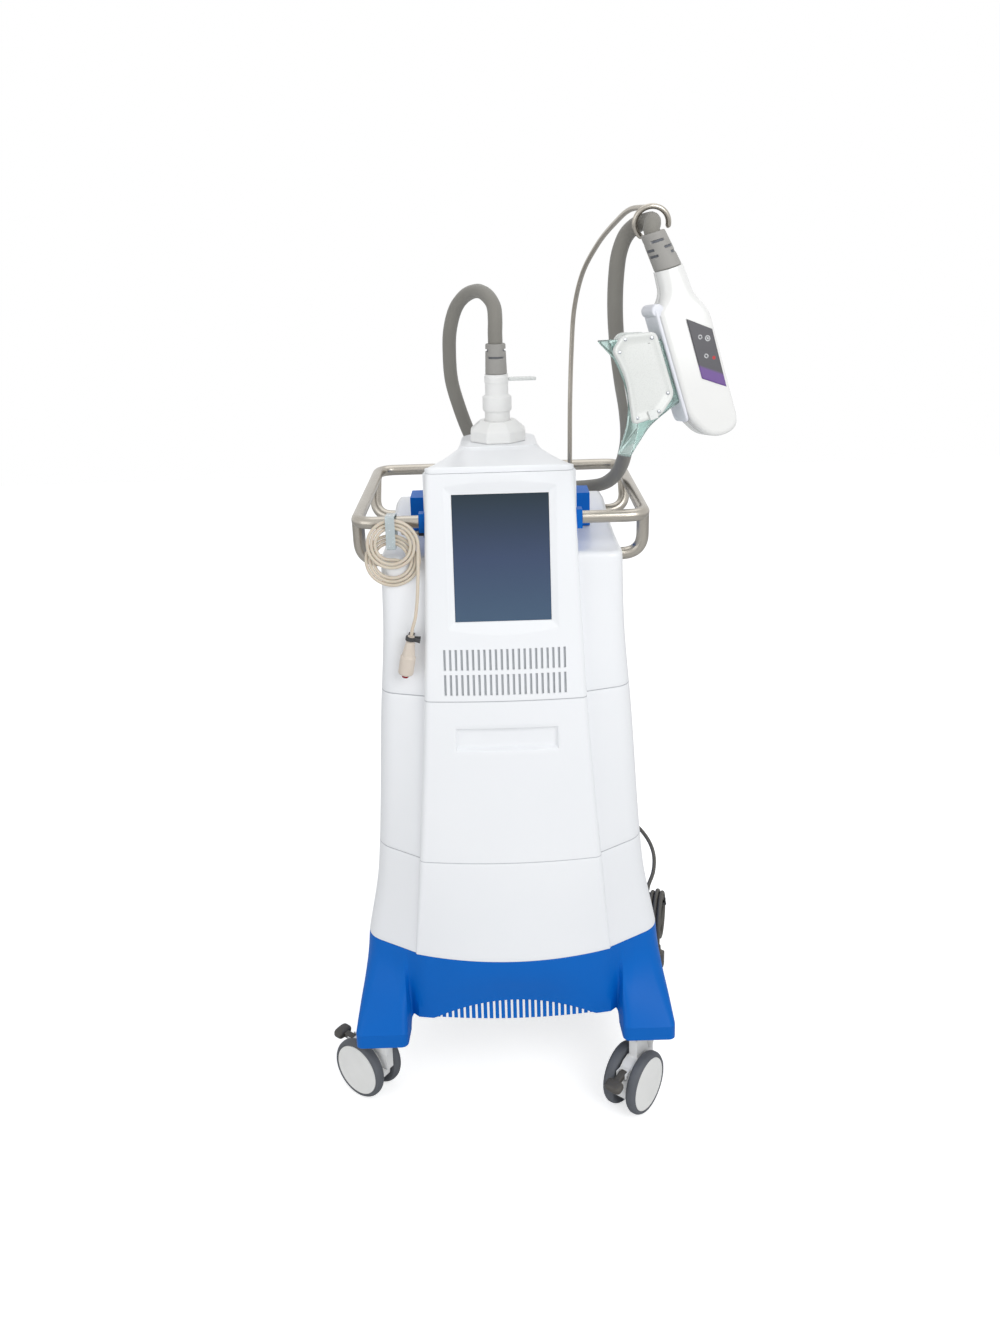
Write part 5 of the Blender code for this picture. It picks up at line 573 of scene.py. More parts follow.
# Two-pack paint on structural foam: white, satin, with the faintest spray texture, and painted
# shade in grey along the seams' rounded edges
white_paint = surfaced("white_two_pack_paint", "#F3F4F6", "#EDEFF2", 1.4, 0.02, 0.34, spread=0.04,
                       patch_mm=220, fixed={"Coat Weight": 0.15, "Coat Roughness": 0.2})
height = height_in(white_paint)
tree = white_paint.node_tree
# Painted shade: the paint turns half way to grey within 0.4 mm of each seam's height, and back to white by
# 1.6 mm
for seam in (SKIRT_TOP, LOWER_SEAM, UPPER_SEAM):
    away = add(tree, "ShaderNodeMath", {0: height, 1: seam}, operation="SUBTRACT").outputs[0]
    away = add(tree, "ShaderNodeMath", {0: away}, operation="ABSOLUTE").outputs[0]
    tinted(white_paint, ranged(white_paint, away, 0.0004, 0.0016, 0.5, 0.0), "#8D9299")
lower = wall_rows(body_ring, SKIRT_TOP + FIT, LOWER_SEAM, 26, closed=True)
piece("lower_shell_white", placed(lower), white_paint, wraps=(True, True), node="lower_shell")


def side_shells(part, rows):
    """The right side's shell from its rows, and the left side's as its mirror image."""
    for side, across in (("right", 1), ("left", -1)):
        piece(f"{part}_{side}_white", placed(rows * (across, 1, 1)), white_paint,
              wraps=(True, False), node=f"{part}_{side}")


side_shells("middle_side", wall_rows(side_line, LOWER_SEAM + FIT, UPPER_SEAM, 30))


# The upper side shells: the same painted foam mouldings as below them. They turn in over the
# shoulder to the blue core, where a flange is screwed down, and rise to a rounded fin.
SHOULDER_EDGE = 0.010
FLANGE_START = 0.012
FLANGE_SPREAD = 0.012
core_half = float(column_half(SHOULDER_TOP))
shoulder_line = side_line(np.array([SHOULDER_TOP]))[0]
tops = shoulder_z(shoulder_line[:, 1])
station = np.arange(len(tops))
middle_end = len(tops) - BEND_STEPS - 1
flange = shoulder_line.copy()
bend_end = BEND_STEPS + 2
flange[:bend_end, 1] = np.linspace(float(crease_y(SHOULDER_TOP)) + FLANGE_START,
                                   shoulder_line[bend_end - 1, 1] + FLANGE_SPREAD, bend_end)
flange[:, 0] = core_half + FIT
flange[0, 0] = shoulder_line[0, 0]
flange[middle_end:, 1] = HOOD_REAR + FIT
flange[middle_end:, 0] = np.linspace(core_half + FIT, REAR_COVER_HALF + FIT, len(tops) - middle_end)
flange_z = tops.copy()
flange_z[:bend_end] = shoulder_z(flange[:bend_end, 1])


def side_points(heights, inset):
    """The side line read at a height of its own for each station, moved inward."""
    line = inward(side_line(heights), inset)[station, station]
    return raised(line, heights)


upper_low = UPPER_SEAM + FIT
shoulder_round = quarter(SHOULDER_EDGE, 7)[1:]
upper = [side_points(np.full(len(tops), upper_low + rise), inset)
         for rise, inset in quarter(SEAM_ROUND, 4)[:3]]
upper += [side_points(upper_low + SEAM_ROUND + (tops - SHOULDER_EDGE - upper_low - SEAM_ROUND) * share, 0)
          for share in np.linspace(0, 1, 22)]
upper += [side_points(tops - fall, inset) for inset, fall in shoulder_round]
shoulder_rim = upper[-1]
flange_rim = raised(flange, flange_z)
upper += [shoulder_rim * (1 - share) + flange_rim * share for share in np.linspace(0, 1, 9)[1:]]
upper += [flange_rim - (0, 0, SHELL_WALL)]
upper += [side_points(tops - SHELL_WALL, SHOULDER_EDGE + SHELL_WALL / 2),
          side_points(tops - SHELL_WALL - SHOULDER_EDGE, SHELL_WALL)]
upper += [side_points(tops - (tops - upper_low) * share - (SHELL_WALL + SHOULDER_EDGE) * (1 - share),
                      SHELL_WALL) for share in (0.3, 0.65, 1)]
side_shells("upper_side", np.array(upper))


# The rear cover: a flat panel between the side shells, painted like them. It is folded in over the
# rear ledge and lifts off there for service.
LEDGE_TOP = float(shoulder_z(REAR_TOP))
cover_low = LOWER_SEAM + FIT
cover_z = np.concatenate([[cover_low, cover_low + SEAM_ROUND],
                          np.linspace(0.6, LEDGE_TOP - SHOULDER_EDGE, 8)])
cover_path = [(float(rear_y(z)) - inset, z) for z, inset in zip(cover_z, [SEAM_ROUND] + [0] * 9)]
ledge_y = float(rear_y(LEDGE_TOP))
cover_path += [(ledge_y - inset, LEDGE_TOP - fall) for inset, fall in shoulder_round]
cover_path += [(HOOD_REAR + FIT, LEDGE_TOP), (HOOD_REAR + FIT, LEDGE_TOP - SHELL_WALL),
               (ledge_y - SHOULDER_EDGE, LEDGE_TOP - SHELL_WALL),
               (ledge_y - SHELL_WALL, LEDGE_TOP - SHELL_WALL - SHOULDER_EDGE),
               (float(rear_y(cover_low)) - SHELL_WALL, cover_low)]
cover_x = np.linspace(-REAR_COVER_HALF, REAR_COVER_HALF, 9)
cover = np.array([[(x, y, z) for x in cover_x] for y, z in cover_path])
piece("rear_cover_white", placed(cover), white_paint, wraps=(True, False), node="rear_cover",
      bevel=0.0008)


# The column's front: the access panel with its finger scoop below the seam, and above it the bezel,
# moulded with a bevelled window for the display and a comb of vents. Both return to the side shells.
FRONT_WALL = 0.0125
PANEL_WALL = 0.0045
SCREEN_WIDTH, SCREEN_HEIGHT, SCREEN_Z = 0.1845, 0.246, 1.163
WINDOW_DEPTH, WINDOW_FRAME = 0.0085, 0.0245
VENT_COUNT, VENT_PITCH, VENT_WIDTH = 22, 0.01097, 0.0044
VENT_LOW, VENT_HIGH, VENT_RIB, VENT_WALL, VENT_MARGIN = 0.900, 0.9886, 0.008, 0.0035, 0.007
SCOOP_WIDTH, SCOOP_HEIGHT, SCOOP_DEPTH, SCOOP_Z = 0.200, 0.046, 0.011, 0.812
SCOOP_EDGE = 0.005


def filled(keys, extra, gap):
    """Key places, with extra places kept where they are at least a gap from every key."""
    keys = np.unique(np.round(keys, 6))
    extra = np.asarray(extra)
    extra = extra[np.abs(extra[:, None] - keys).min(axis=1) > gap]
    return np.sort(np.concatenate([keys, extra]))


def column_grid(z, x_inner, back, depth_at, wall_front):
    """Outer and inner points of the column's front: heights down the rows, and across them the left
    return, its rounded edge, the crowned front with a depth pressed into it, and the right side again."""
    half, front, rise = column_half(z), front_y(z), crown(z)
    edge = np.minimum(COLUMN_EDGE, 0.8 * crease_step(z))
    flat = np.stack(np.broadcast_arrays(x_inner[None, :], front[:, None] + rise[:, None]
                                        * (x_inner[None, :] / half[:, None]) ** 2), axis=-1)
    last = flat[:, -1]
    corner = np.stack([half, front + rise], axis=-1)
    end = np.stack([half, np.broadcast_to(back, half.shape)], axis=-1)
    zero = np.zeros(len(z))
    setbacks = np.stack([zero, edge, zero], axis=1)
    turn = rounded(np.stack([last, corner, end], axis=1), setbacks, BEND_STEPS, True)
    flat[..., 1] = np.maximum(flat[..., 1], depth_at(x_inner[None, :], z[:, None], flat[..., 1]))
    right = turn[:, 1:]
    outer = np.concatenate([right[:, ::-1] * (-1, 1), flat, right], axis=1)
    limit = half[:, None] - SHELL_WALL
    share = np.clip(outer[..., 0] / half[:, None], -1, 1)
    inner_x = np.clip(outer[..., 0], -limit, limit)
    wall = np.broadcast_to(wall_front, len(z))[:, None]
    inner_y = np.maximum(outer[..., 1], front[:, None] + rise[:, None] * share ** 2 + wall)
    inner_y = np.minimum(inner_y, end[:, None, 1])
    return raised(outer, z[:, None]), raised(np.stack([inner_x, inner_y], axis=-1), z[:, None])


def plate_faces(keep):
    """Faces of an outer and an inner grid, with a wall round every edge of the kept cells."""
    columns = keep.shape[1] + 1
    total = (keep.shape[0] + 1) * columns
    r, c = np.nonzero(keep)
    a = r * columns + c
    b, d, e = a + 1, a + columns + 1, a + columns
    around = np.pad(keep, 1)
    faces = [np.stack([a, b, d, e], 1), np.stack([e, d, b, a], 1) + total]
    for beside, first, second in ((around[r, c + 1], a, b), (around[r + 1, c + 2], b, d),
                                  (around[r + 2, c + 1], d, e), (around[r + 1, c], e, a)):
        open_edge = ~beside
        faces.append(np.stack([second, first, first + total, second + total], 1)[open_edge])
    return np.concatenate(faces).tolist()


def scooped(x, z, y):
    """The scoop: a floor at one depth with sides that ease up over the scoop's edge."""
    away = SCOOP_EDGE + np.maximum(np.abs(x) - SCOOP_WIDTH / 2, np.abs(z - SCOOP_Z) - SCOOP_HEIGHT / 2)
    share = np.clip(1 - away / SCOOP_EDGE, 0, 1)
    floor = float(front_y(SCOOP_Z)) + SCOOP_DEPTH
    return y + (floor - y) * (share * share * (3 - 2 * share))


screen_low_z, screen_high_z = SCREEN_Z - SCREEN_HEIGHT / 2, SCREEN_Z + SCREEN_HEIGHT / 2
screen_ends = -FRONT_TOP - (FRONT_BASE - FRONT_TOP) * np.interp(
    column_share([screen_low_z, screen_high_z]), *zip(*FRONT_REACH_SHARES))
lean = math.atan((screen_ends[1] - screen_ends[0]) / SCREEN_HEIGHT)
screen_y = float(screen_ends.mean())


def windowed(x, z, y):
    """The window: a plane that leans with the column, pressed in by a mitred bevel all round."""
    up = (z - SCREEN_Z) / math.cos(lean)
    near = np.minimum((SCREEN_WIDTH / 2 + WINDOW_FRAME - np.abs(x)) / WINDOW_FRAME,
                      (SCREEN_HEIGHT / 2 + WINDOW_FRAME - np.abs(up)) / WINDOW_FRAME)
    depth = WINDOW_DEPTH * np.clip(near, 0, 1)
    plane = screen_y + depth * math.cos(lean) + (up + depth * math.tan(lean)) * math.sin(lean)
    return np.where(near > 0, plane, y)


panel_back = float(crease_y(SHOULDER_TOP)) + SHELL_WALL
front_half = 0.1225
scoop_sides = [side * (SCOOP_WIDTH / 2 - np.linspace(0.0007, SCOOP_EDGE, 7)) for side in (-1, 1)]
panel_x = filled([-SCOOP_WIDTH / 2, SCOOP_WIDTH / 2, -front_half, front_half, 0],
                 np.concatenate([np.linspace(-front_half, front_half, 31), *scoop_sides]), 0.0002)
panel_z = filled([LOWER_SEAM + FIT, UPPER_SEAM - FIT],
                 np.concatenate([np.linspace(LOWER_SEAM, UPPER_SEAM, 31)[1:-1],
                                 *[SCOOP_Z + side * (SCOOP_HEIGHT / 2 - np.linspace(0, SCOOP_EDGE, 8))
                                   for side in (-1, 1)],
                                 [LOWER_SEAM + FIT + SEAM_ROUND, UPPER_SEAM - FIT - SEAM_ROUND]]), 0.0002)
outer, inner = column_grid(panel_z, panel_x, crease_y(panel_z) + SHELL_WALL, scooped,
                           SCOOP_DEPTH + PANEL_WALL)
keep = np.ones((len(panel_z) - 1, outer.shape[1] - 1), bool)
piece("access_panel_white", placed(np.concatenate([outer, inner])), white_paint,
      faces=plate_faces(keep), body="panel", node="access_panel", bevel=SEAM_ROUND / 2, sharp_deg=50)

slots = (np.arange(VENT_COUNT) - (VENT_COUNT - 1) / 2) * VENT_PITCH
slot_edges = np.concatenate([slots - VENT_WIDTH / 2, slots + VENT_WIDTH / 2])
frame_steps = np.linspace(SCREEN_WIDTH / 2, SCREEN_WIDTH / 2 + WINDOW_FRAME + 0.0015, 20)[1:]
bezel_x = filled([*slot_edges, -SCREEN_WIDTH / 2, SCREEN_WIDTH / 2, -front_half, front_half],
                 np.concatenate([frame_steps, -frame_steps, slots]), 0.0003)
vent_middle = (VENT_LOW + VENT_HIGH) / 2
vent_rows = [(VENT_LOW, vent_middle - VENT_RIB / 2), (vent_middle + VENT_RIB / 2, VENT_HIGH)]
hole_low = SCREEN_Z - SCREEN_HEIGHT / 2 * math.cos(lean) - WINDOW_DEPTH * math.sin(lean)
hole_high = SCREEN_Z + SCREEN_HEIGHT / 2 * math.cos(lean) - WINDOW_DEPTH * math.sin(lean)
bezel_low, bezel_high = UPPER_SEAM + FIT, BEZEL_TOP
band = np.linspace(0.0015, WINDOW_FRAME + 0.001, 16)
bezel_z = filled([bezel_low, bezel_high, *vent_rows[0], *vent_rows[1], hole_low, hole_high],
                 np.concatenate([hole_low - band, hole_high + band[:-1], np.linspace(hole_low, hole_high, 24),
                                 np.linspace(bezel_low, VENT_LOW, 4),
                                 np.linspace(VENT_HIGH, hole_low - 0.028, 5),
                                 [bezel_high - 0.0006, bezel_high - 0.003]]), 0.0004)
bezel_z = bezel_z[bezel_z <= bezel_high]
at_vents = (bezel_z > VENT_LOW - VENT_MARGIN) & (bezel_z < VENT_HIGH + VENT_MARGIN)
outer, inner = column_grid(bezel_z, bezel_x, np.minimum(panel_back, crease_y(bezel_z) + SHELL_WALL),
                           windowed, np.where(at_vents, VENT_WALL, FRONT_WALL))
keep = np.ones((len(bezel_z) - 1, outer.shape[1] - 1), bool)
cell_x = (outer[0, 1:, 0] + outer[0, :-1, 0]) / 2
cell_z = (bezel_z[1:] + bezel_z[:-1]) / 2
in_slot = (np.abs(cell_x[:, None] - slots).min(axis=1) < VENT_WIDTH / 2)[None, :]
in_vents = np.zeros(len(cell_z), bool)
for slot_low, slot_high in vent_rows:
    in_vents |= (cell_z > slot_low) & (cell_z < slot_high)
keep &= ~(in_slot & in_vents[:, None])
in_window = ((cell_z > hole_low) & (cell_z < hole_high))[:, None]
keep &= ~((np.abs(cell_x) < SCREEN_WIDTH / 2)[None, :] & in_window)
piece("console_bezel_white", placed(np.concatenate([outer, inner])), white_paint,
      faces=plate_faces(keep), node="console_bezel", sharp_deg=32)


# The air filter: a sheet of pale foam behind the vents, clipped in from inside. It bows with the
# front and shows between the bars.
FILTER_THICK = 0.003
filter_z = np.linspace(VENT_LOW - 0.006, VENT_HIGH + 0.006, 5)
filter_x = np.linspace(-0.125, 0.125, 25)
filter_bow = crown(filter_z) / column_half(filter_z) ** 2
filter_y = (front_y(filter_z) + VENT_WALL + 0.0008)[:, None] + filter_bow[:, None] * filter_x ** 2
filter_front = np.stack([np.broadcast_to(filter_x, filter_y.shape), filter_y,
                         np.broadcast_to(filter_z[:, None], filter_y.shape)], axis=-1)
filter_sheet = np.stack([filter_front, filter_front + (0, FILTER_THICK, 0)]).reshape(-1, 3)
# Open-cell foam: matt pale grey with a coarse pore
filter_foam = surfaced("pale_filter_foam", "#C6C9CC", "#B9BDC1", 2.2, 0.3, 0.9, patch_mm=30)
piece("vent_filter", placed(filter_sheet), filter_foam,
      faces=plate_faces(np.ones((len(filter_z) - 1, len(filter_x) - 1), bool)))


# The display: a touch screen switched off, its dark slate glass set back in the window and held by
# the bezel's mitred frame.
# Anti-glare glass: slate blue over a dark layer, with a painted reflection that darkens it toward its top and
# pales it toward its foot
screen_glass = surfaced("anti_glare_glass", "#354563", "#3B4B68", 40, 0.0, 0.16, spread=0.03, patch_mm=210,
                        fixed={"Specular IOR Level": 0.3, "Coat Weight": 0.1, "Coat Roughness": 0.08})
height = height_in(screen_glass)
# Painted reflection: from the screen's middle the colour darkens toward its top and pales toward its foot
for far_z, colour in ((SCREEN_Z + SCREEN_HEIGHT / 2, "#1E2F3A"), (SCREEN_Z - SCREEN_HEIGHT / 2, "#435A73")):
    tinted(screen_glass, ranged(screen_glass, height, SCREEN_Z, far_z), colour)


# The base skirt: one blue moulding, drawn out at its corners into four flared legs that stand on
# the casters, with a shallow arch at the front that shows the comb of the intake grille.
SKIRT_WALL = 0.005
SKIRT_BOTTOM, SKIRT_FRONT_BOTTOM, SKIRT_SIDE_BOTTOM, SKIRT_REAR_BOTTOM = 0.200, 0.270, 0.292, 0.250
SKIRT_EDGE_BAND, ARCH_HALF, ARCH_RISE = 0.004, 0.165, 0.047
FOOT_CORNER, FOOT_STEP = 0.015, 0.008
FOOT_BOTTOM, FOOT_BAND, FOOT_IN, FOOT_OUT = 0.1659, 0.030, 0.218, 0.323
FOOT_FRONT, FOOT_DEPTH, REAR_FOOT, CASTER_FRONT_Y = 0.300, 0.100, 0.272, -0.236
SKIRT_STEPS = 8
LEG_SPREAD_SHARES = ((0, 0), (0.25, 0.12), (0.5, 0.36), (0.75, 0.70), (1, 1))
front_share = np.linspace(-0.94, 0.94, 41)


def skirt_right(bottom):
    """The right half of the skirt's plan as corners with setbacks, at its top or its bottom."""
    z = SKIRT_TOP
    half = float(column_half(z))
    crease = np.array((half, float(crease_y(z))))
    front_corner = np.array((float(side_half(z)), -CORNER_REACH))
    rear_corner = np.array((float(side_half(z)) * REAR_TAPER_SHARE, float(rear_y(z))))
    rear_inner = np.array((half, float(rear_y(z))))
    foot_front, foot_back = -FOOT_FRONT, -FOOT_FRONT + FOOT_DEPTH
    if bottom:
        return [(half, -SKIRT_FRONT_BOTTOM + FRONT_CROWN / 2, 0),
                (FOOT_IN - FOOT_STEP / 2, CASTER_FRONT_Y, FOOT_STEP),
                (FOOT_IN, foot_front, FOOT_CORNER), (FOOT_OUT, foot_front, FOOT_CORNER),
                (FOOT_OUT, foot_back, FOOT_CORNER),
                (SKIRT_SIDE_BOTTOM, foot_back + FOOT_DEPTH / 4, FOOT_STEP),
                (SKIRT_SIDE_BOTTOM * 0.96, REAR_FOOT - FOOT_DEPTH * 1.25, FOOT_STEP),
                (FOOT_OUT, REAR_FOOT - FOOT_DEPTH, FOOT_CORNER), (FOOT_OUT, REAR_FOOT, FOOT_CORNER),
                (FOOT_IN, REAR_FOOT, FOOT_CORNER), (FOOT_IN - FOOT_STEP, SKIRT_REAR_BOTTOM, FOOT_STEP)]
    stops = ((crease, front_corner, 0.12, FOOT_STEP), (crease, front_corner, 0.38, FOOT_CORNER),
             (crease, front_corner, 1, CORNER_ROUND), (front_corner, rear_corner, 0.25, FOOT_CORNER),
             (front_corner, rear_corner, 0.36, FOOT_STEP), (front_corner, rear_corner, 0.60, FOOT_STEP),
             (front_corner, rear_corner, 0.70, FOOT_CORNER), (front_corner, rear_corner, 1, REAR_ROUND * 0.7),
             (rear_corner, rear_inner, 0.60, FOOT_STEP), (rear_corner, rear_inner, 0.90, FOOT_STEP / 2))
    return [(*crease, 0)] + [(*(a + (b - a) * share), setback) for a, b, share, setback in stops]


def skirt_plan(bottom):
    """The skirt's whole plan, with one point at each plain corner and an arc at each rounded one."""
    right = np.array(skirt_right(bottom))
    half = right[0, 0]
    front = -SKIRT_FRONT_BOTTOM if bottom else float(front_y(SKIRT_TOP))
    rise = right[0, 1] - front - (0 if bottom else float(crease_step(SKIRT_TOP)))
    rear = SKIRT_REAR_BOTTOM if bottom else float(rear_y(SKIRT_TOP))
    front_row = np.stack([front_share * half, front + rise * front_share ** 2, 0 * front_share], axis=1)
    rear_row = np.array([(x * half, rear, 0) for x in (0.5, 0, -0.5)])
    corners = np.concatenate([front_row, right, rear_row, right[::-1] * (-1, 1, 1)])
    plain = np.repeat(corners[:, 2] == 0, SKIRT_STEPS)
    plain[::SKIRT_STEPS] = False
    line = rounded(corners[:, :2], corners[:, 2], SKIRT_STEPS)[~plain]
    foot = np.repeat(np.abs(corners[:, 0]) >= FOOT_IN - FOOT_STEP / 2 - FIT, SKIRT_STEPS).astype(float)
    if bottom:
        turn = len(front_share) + 1
        ramp = np.linspace(0, 1, SKIRT_STEPS) ** 1.5
        foot[turn * SKIRT_STEPS:(turn + 1) * SKIRT_STEPS] = ramp
        foot[-2 * SKIRT_STEPS:-SKIRT_STEPS] = ramp[::-1]
    return line, foot[~plain]


top_plan = skirt_plan(False)[0]
bottom_plan, foot = skirt_plan(True)
arch = ARCH_RISE * np.clip(1 - (bottom_plan[:, 0] / ARCH_HALF) ** 2, 0, 1) * (bottom_plan[:, 1] < 0)
skirt_low = FOOT_BOTTOM * foot + (SKIRT_BOTTOM + arch) * (1 - foot)
skirt_band = skirt_low + FOOT_BAND * foot + SKIRT_EDGE_BAND * (1 - foot)


def skirt_row(height_share, inset):
    """The skirt's line a share of the way down, spread toward its foot by the legs' curve."""
    line = top_plan + (bottom_plan - top_plan) * flowing(height_share, LEG_SPREAD_SHARES)
    return raised(inward(line, inset, True), SKIRT_TOP + (skirt_band - SKIRT_TOP) * height_share)


skirt = [raised(inward(top_plan, SEAM_ROUND, True), SKIRT_TOP), raised(top_plan, SKIRT_TOP - SEAM_ROUND)]
skirt += [skirt_row(share, 0) for share in np.linspace(0, 1, 15)[1:]]
skirt += [raised(bottom_plan, skirt_low + 0.0012), raised(inward(bottom_plan, 0.0012, True), skirt_low),
          raised(inward(bottom_plan, SKIRT_WALL, True), skirt_low)]
skirt += [skirt_row(share, SKIRT_WALL) for share in np.linspace(1, 0.2, 6)]
skirt += [raised(inward(top_plan, SKIRT_WALL, True), SKIRT_TOP)]
# Through-coloured ABS: deep blue, with the sheen and fine grain of a textured mould
blue_abs = surfaced("blue_textured_abs", "#0068C6", "#0061BA", 1.2, 0.05, 0.42, patch_mm=160,
                    fixed={"Specular IOR Level": 0.15})
piece("base_skirt_blue", placed(skirt), blue_abs, wraps=(True, True), node="base_skirt", sharp_deg=24)


# The handle rail: satin stainless tube with one bend at each corner, which starts and ends at the
# core's neck and is welded to four drops that go down and into the side shells.
RAIL_RADIUS = 0.01225
RAIL_Z, RAIL_HALF, RAIL_FRONT, RAIL_BACK, RAIL_BEND = 1.226, 0.279, -0.159, 0.330, 0.040
CORE_NECK_HALF = 0.157
FRONT_DROP = (-0.108, 1.136)
REAR_DROP = (0.195, 1.150)
DROP_BEND = 0.042
TUBE_SIDES = 28


def tube(path, radius, reference, sides=TUBE_SIDES):
    """Rows of circles square to a path: each point is the centre plus the radius times the cosine of its
    angle sideways and the sine upward, where sideways is square to the path and a reference."""
    path = np.asarray(path, float)
    along = unit(np.gradient(path, axis=0))
    sideways = unit(np.cross(along, reference))
    upward = np.cross(sideways, along)
    angle = np.linspace(0, 2 * math.pi, sides, endpoint=False)[None, :, None]
    radius = np.broadcast_to(radius, len(path))[:, None, None]
    return path[:, None] + radius * (np.cos(angle) * sideways[:, None] + np.sin(angle) * upward[:, None])


def joined(parts):
    """Several tubes or turned forms as one list of points and one of faces."""
    points, faces, start = [], [], 0
    for rows in parts:
        faces += grid_faces(*rows.shape[:2], False, True, start)
        points.append(rows.reshape(-1, 3))
        start += rows.shape[0] * rows.shape[1]
    return np.concatenate(points), faces


def bent(corners, setback, steps=14):
    """A path in space through corners, with each inner corner rounded."""
    corners = np.asarray(corners, float)
    setbacks = np.full(len(corners), setback)
    setbacks[[0, -1]] = 0
    return rounded(corners, setbacks, steps, True)


rail_right = [(CORE_NECK_HALF + FIT, RAIL_FRONT, RAIL_Z), (RAIL_HALF, RAIL_FRONT, RAIL_Z),
              (RAIL_HALF, RAIL_BACK, RAIL_Z)]
rail_path = bent([(-x, y, z) for x, y, z in rail_right] + rail_right[::-1], RAIL_BEND)
rail_tubes = [tube(rail_path, RAIL_RADIUS, (0, 0, 1))]
for across in (-1, 1):
    for top_y, (low_y, low_z) in ((RAIL_FRONT + RAIL_BEND, FRONT_DROP),
                                  (RAIL_BACK - RAIL_BEND * 2, REAR_DROP)):
        shell = side_line(np.array([low_z - RAIL_RADIUS]))[0, 9:20]
        reach = float(np.interp(low_y - RAIL_RADIUS, shell[:, 1], shell[:, 0]))
        drop_path = bent([(across * RAIL_HALF, top_y, RAIL_Z), (across * RAIL_HALF, low_y, low_z),
                          (across * reach, low_y, low_z)], DROP_BEND)
        plane = np.cross(drop_path[0] - drop_path[-1], drop_path[len(drop_path) // 2] - drop_path[-1])
        rail_tubes.append(tube(drop_path, RAIL_RADIUS, unit(plane)))
# Satin stainless steel: warm grey, with a fine grain that is the same every way, dulled by hands
satin_steel = surfaced("satin_stainless_steel", "#B9B4AB", "#A8A298", 0.8, 0.02, 0.30, spread=0.08,
                       patch_mm=50, fixed={"Metallic": 1.0})
points, faces = joined(rail_tubes)
piece("handle_rail_steel", placed(points), satin_steel, faces=faces, node="handle_rail",
      sharp_deg=60)


# The mast: one steel rod from its socket on the rear ledge, bowed over the console, its horseshoe
# hook welded to its end to hold the hose up beside the applicator.
MAST_RADIUS = 0.005
HOOK_RADIUS = 0.0295
HOOK_PITCH_DEG = 14
HOOK_CENTRE = (0.2790, -0.236, 1.7715)
HOOK_POINTS, HOOK_START_DEG, HOOK_STOP_DEG = 49, 240, -18
mast_foot = (0.157, 0.200)
hook_middle = HOOK_POINTS // 2
hook_angle = np.radians(np.linspace(HOOK_START_DEG, HOOK_STOP_DEG, HOOK_POINTS))
hook_turn = np.array(Matrix.Rotation(math.radians(HOOK_PITCH_DEG), 3, "X"))
hook_ring = np.stack([np.cos(hook_angle), 0 * hook_angle, np.sin(hook_angle)], axis=1) * HOOK_RADIUS
hook_path = hook_ring @ hook_turn.T + HOOK_CENTRE
mast_path = smooth_route([
    (*mast_foot, LEDGE_TOP + 0.0066), (*mast_foot, 1.240), (0.158, 0.200, 1.300), (0.160, 0.200, 1.398),
    (0.1644, 0.195, 1.508), (0.170, 0.180, 1.594), (0.184, 0.130, 1.670), (0.208, 0.040, 1.731),
    (0.231, -0.080, 1.773), (0.2495, -0.180, 1.7965), hook_path[hook_middle],
], 0.012)
# The hook's ends are rounded: the last two circles at each draw in
past = np.clip(np.abs(np.arange(HOOK_POINTS) - hook_middle) - hook_middle + 2, 0, 2)
hook_reach = np.sqrt(np.clip(1 - past ** 2 / 4.6, 0.13, 1))
points, faces = joined([tube(mast_path, MAST_RADIUS, (1, 0, 0), 18),
                        tube(hook_path, MAST_RADIUS * hook_reach, hook_turn @ np.array((0, 1, 0)), 18)])
piece("mast_rod", placed(points), satin_steel, faces=faces, node="mast", sharp_deg=60)


# The top deck: a white cover over the core, its lid lapped over the bezel and swept up to the
# pedestal of the dock.
PEDESTAL_HALF, PEDESTAL_TOP = 0.076, 1.349
PEDESTAL_ROUND, PEDESTAL_REAR_ROUND, PEDESTAL_EDGE = 0.030, 0.052, 0.0015
DECK_FALL_SHARE = 0.21
HOOD_ROUND, HOOD_WALL, LID_EDGE = 0.020, 0.006, 0.006
DECK_STEPS = 9
hood_front = panel_back + FIT
lid_front = float(front_y(BEZEL_TOP) + crown(BEZEL_TOP))


def deck_loop(half, front, rear, setback, height, below=None, rear_setback=None):
    """A rounded rectangle in plan at a height, or at most a depth below the roof that falls rearward."""
    corners = np.array([(half, front), (half, rear), (-half, rear), (-half, front)])
    rear_setback = rear_setback or setback
    setbacks = (setback, rear_setback, rear_setback, setback)
    arcs = rounded(corners, setbacks, DECK_STEPS).reshape(4, DECK_STEPS, 2)
    share = np.linspace(0, 1, 8)[1:-1, None]
    sides = arcs[:, None, -1] * (1 - share) + np.roll(arcs, -1, axis=0)[:, None, 0] * share
    line = np.concatenate([arcs, sides], axis=1).reshape(-1, 2)
    if below is None:
        return raised(line, height)
    return raised(line, np.minimum(height, DECK_TOP - DECK_FALL_SHARE * (line[:, 1] - lid_front) - below))


def deck_blend(start, end, count, power):
    """Rows between two rows that leave the first flat and reach the second by a power of the share."""
    share = np.linspace(0, 1, count + 2)[1:-1, None, None]
    rows = start * (1 - share) + end * share
    rows[..., 2] = start[None, :, 2] * (1 - share[..., 0] ** power) + end[None, :, 2] * share[..., 0] ** power
    return list(rows)


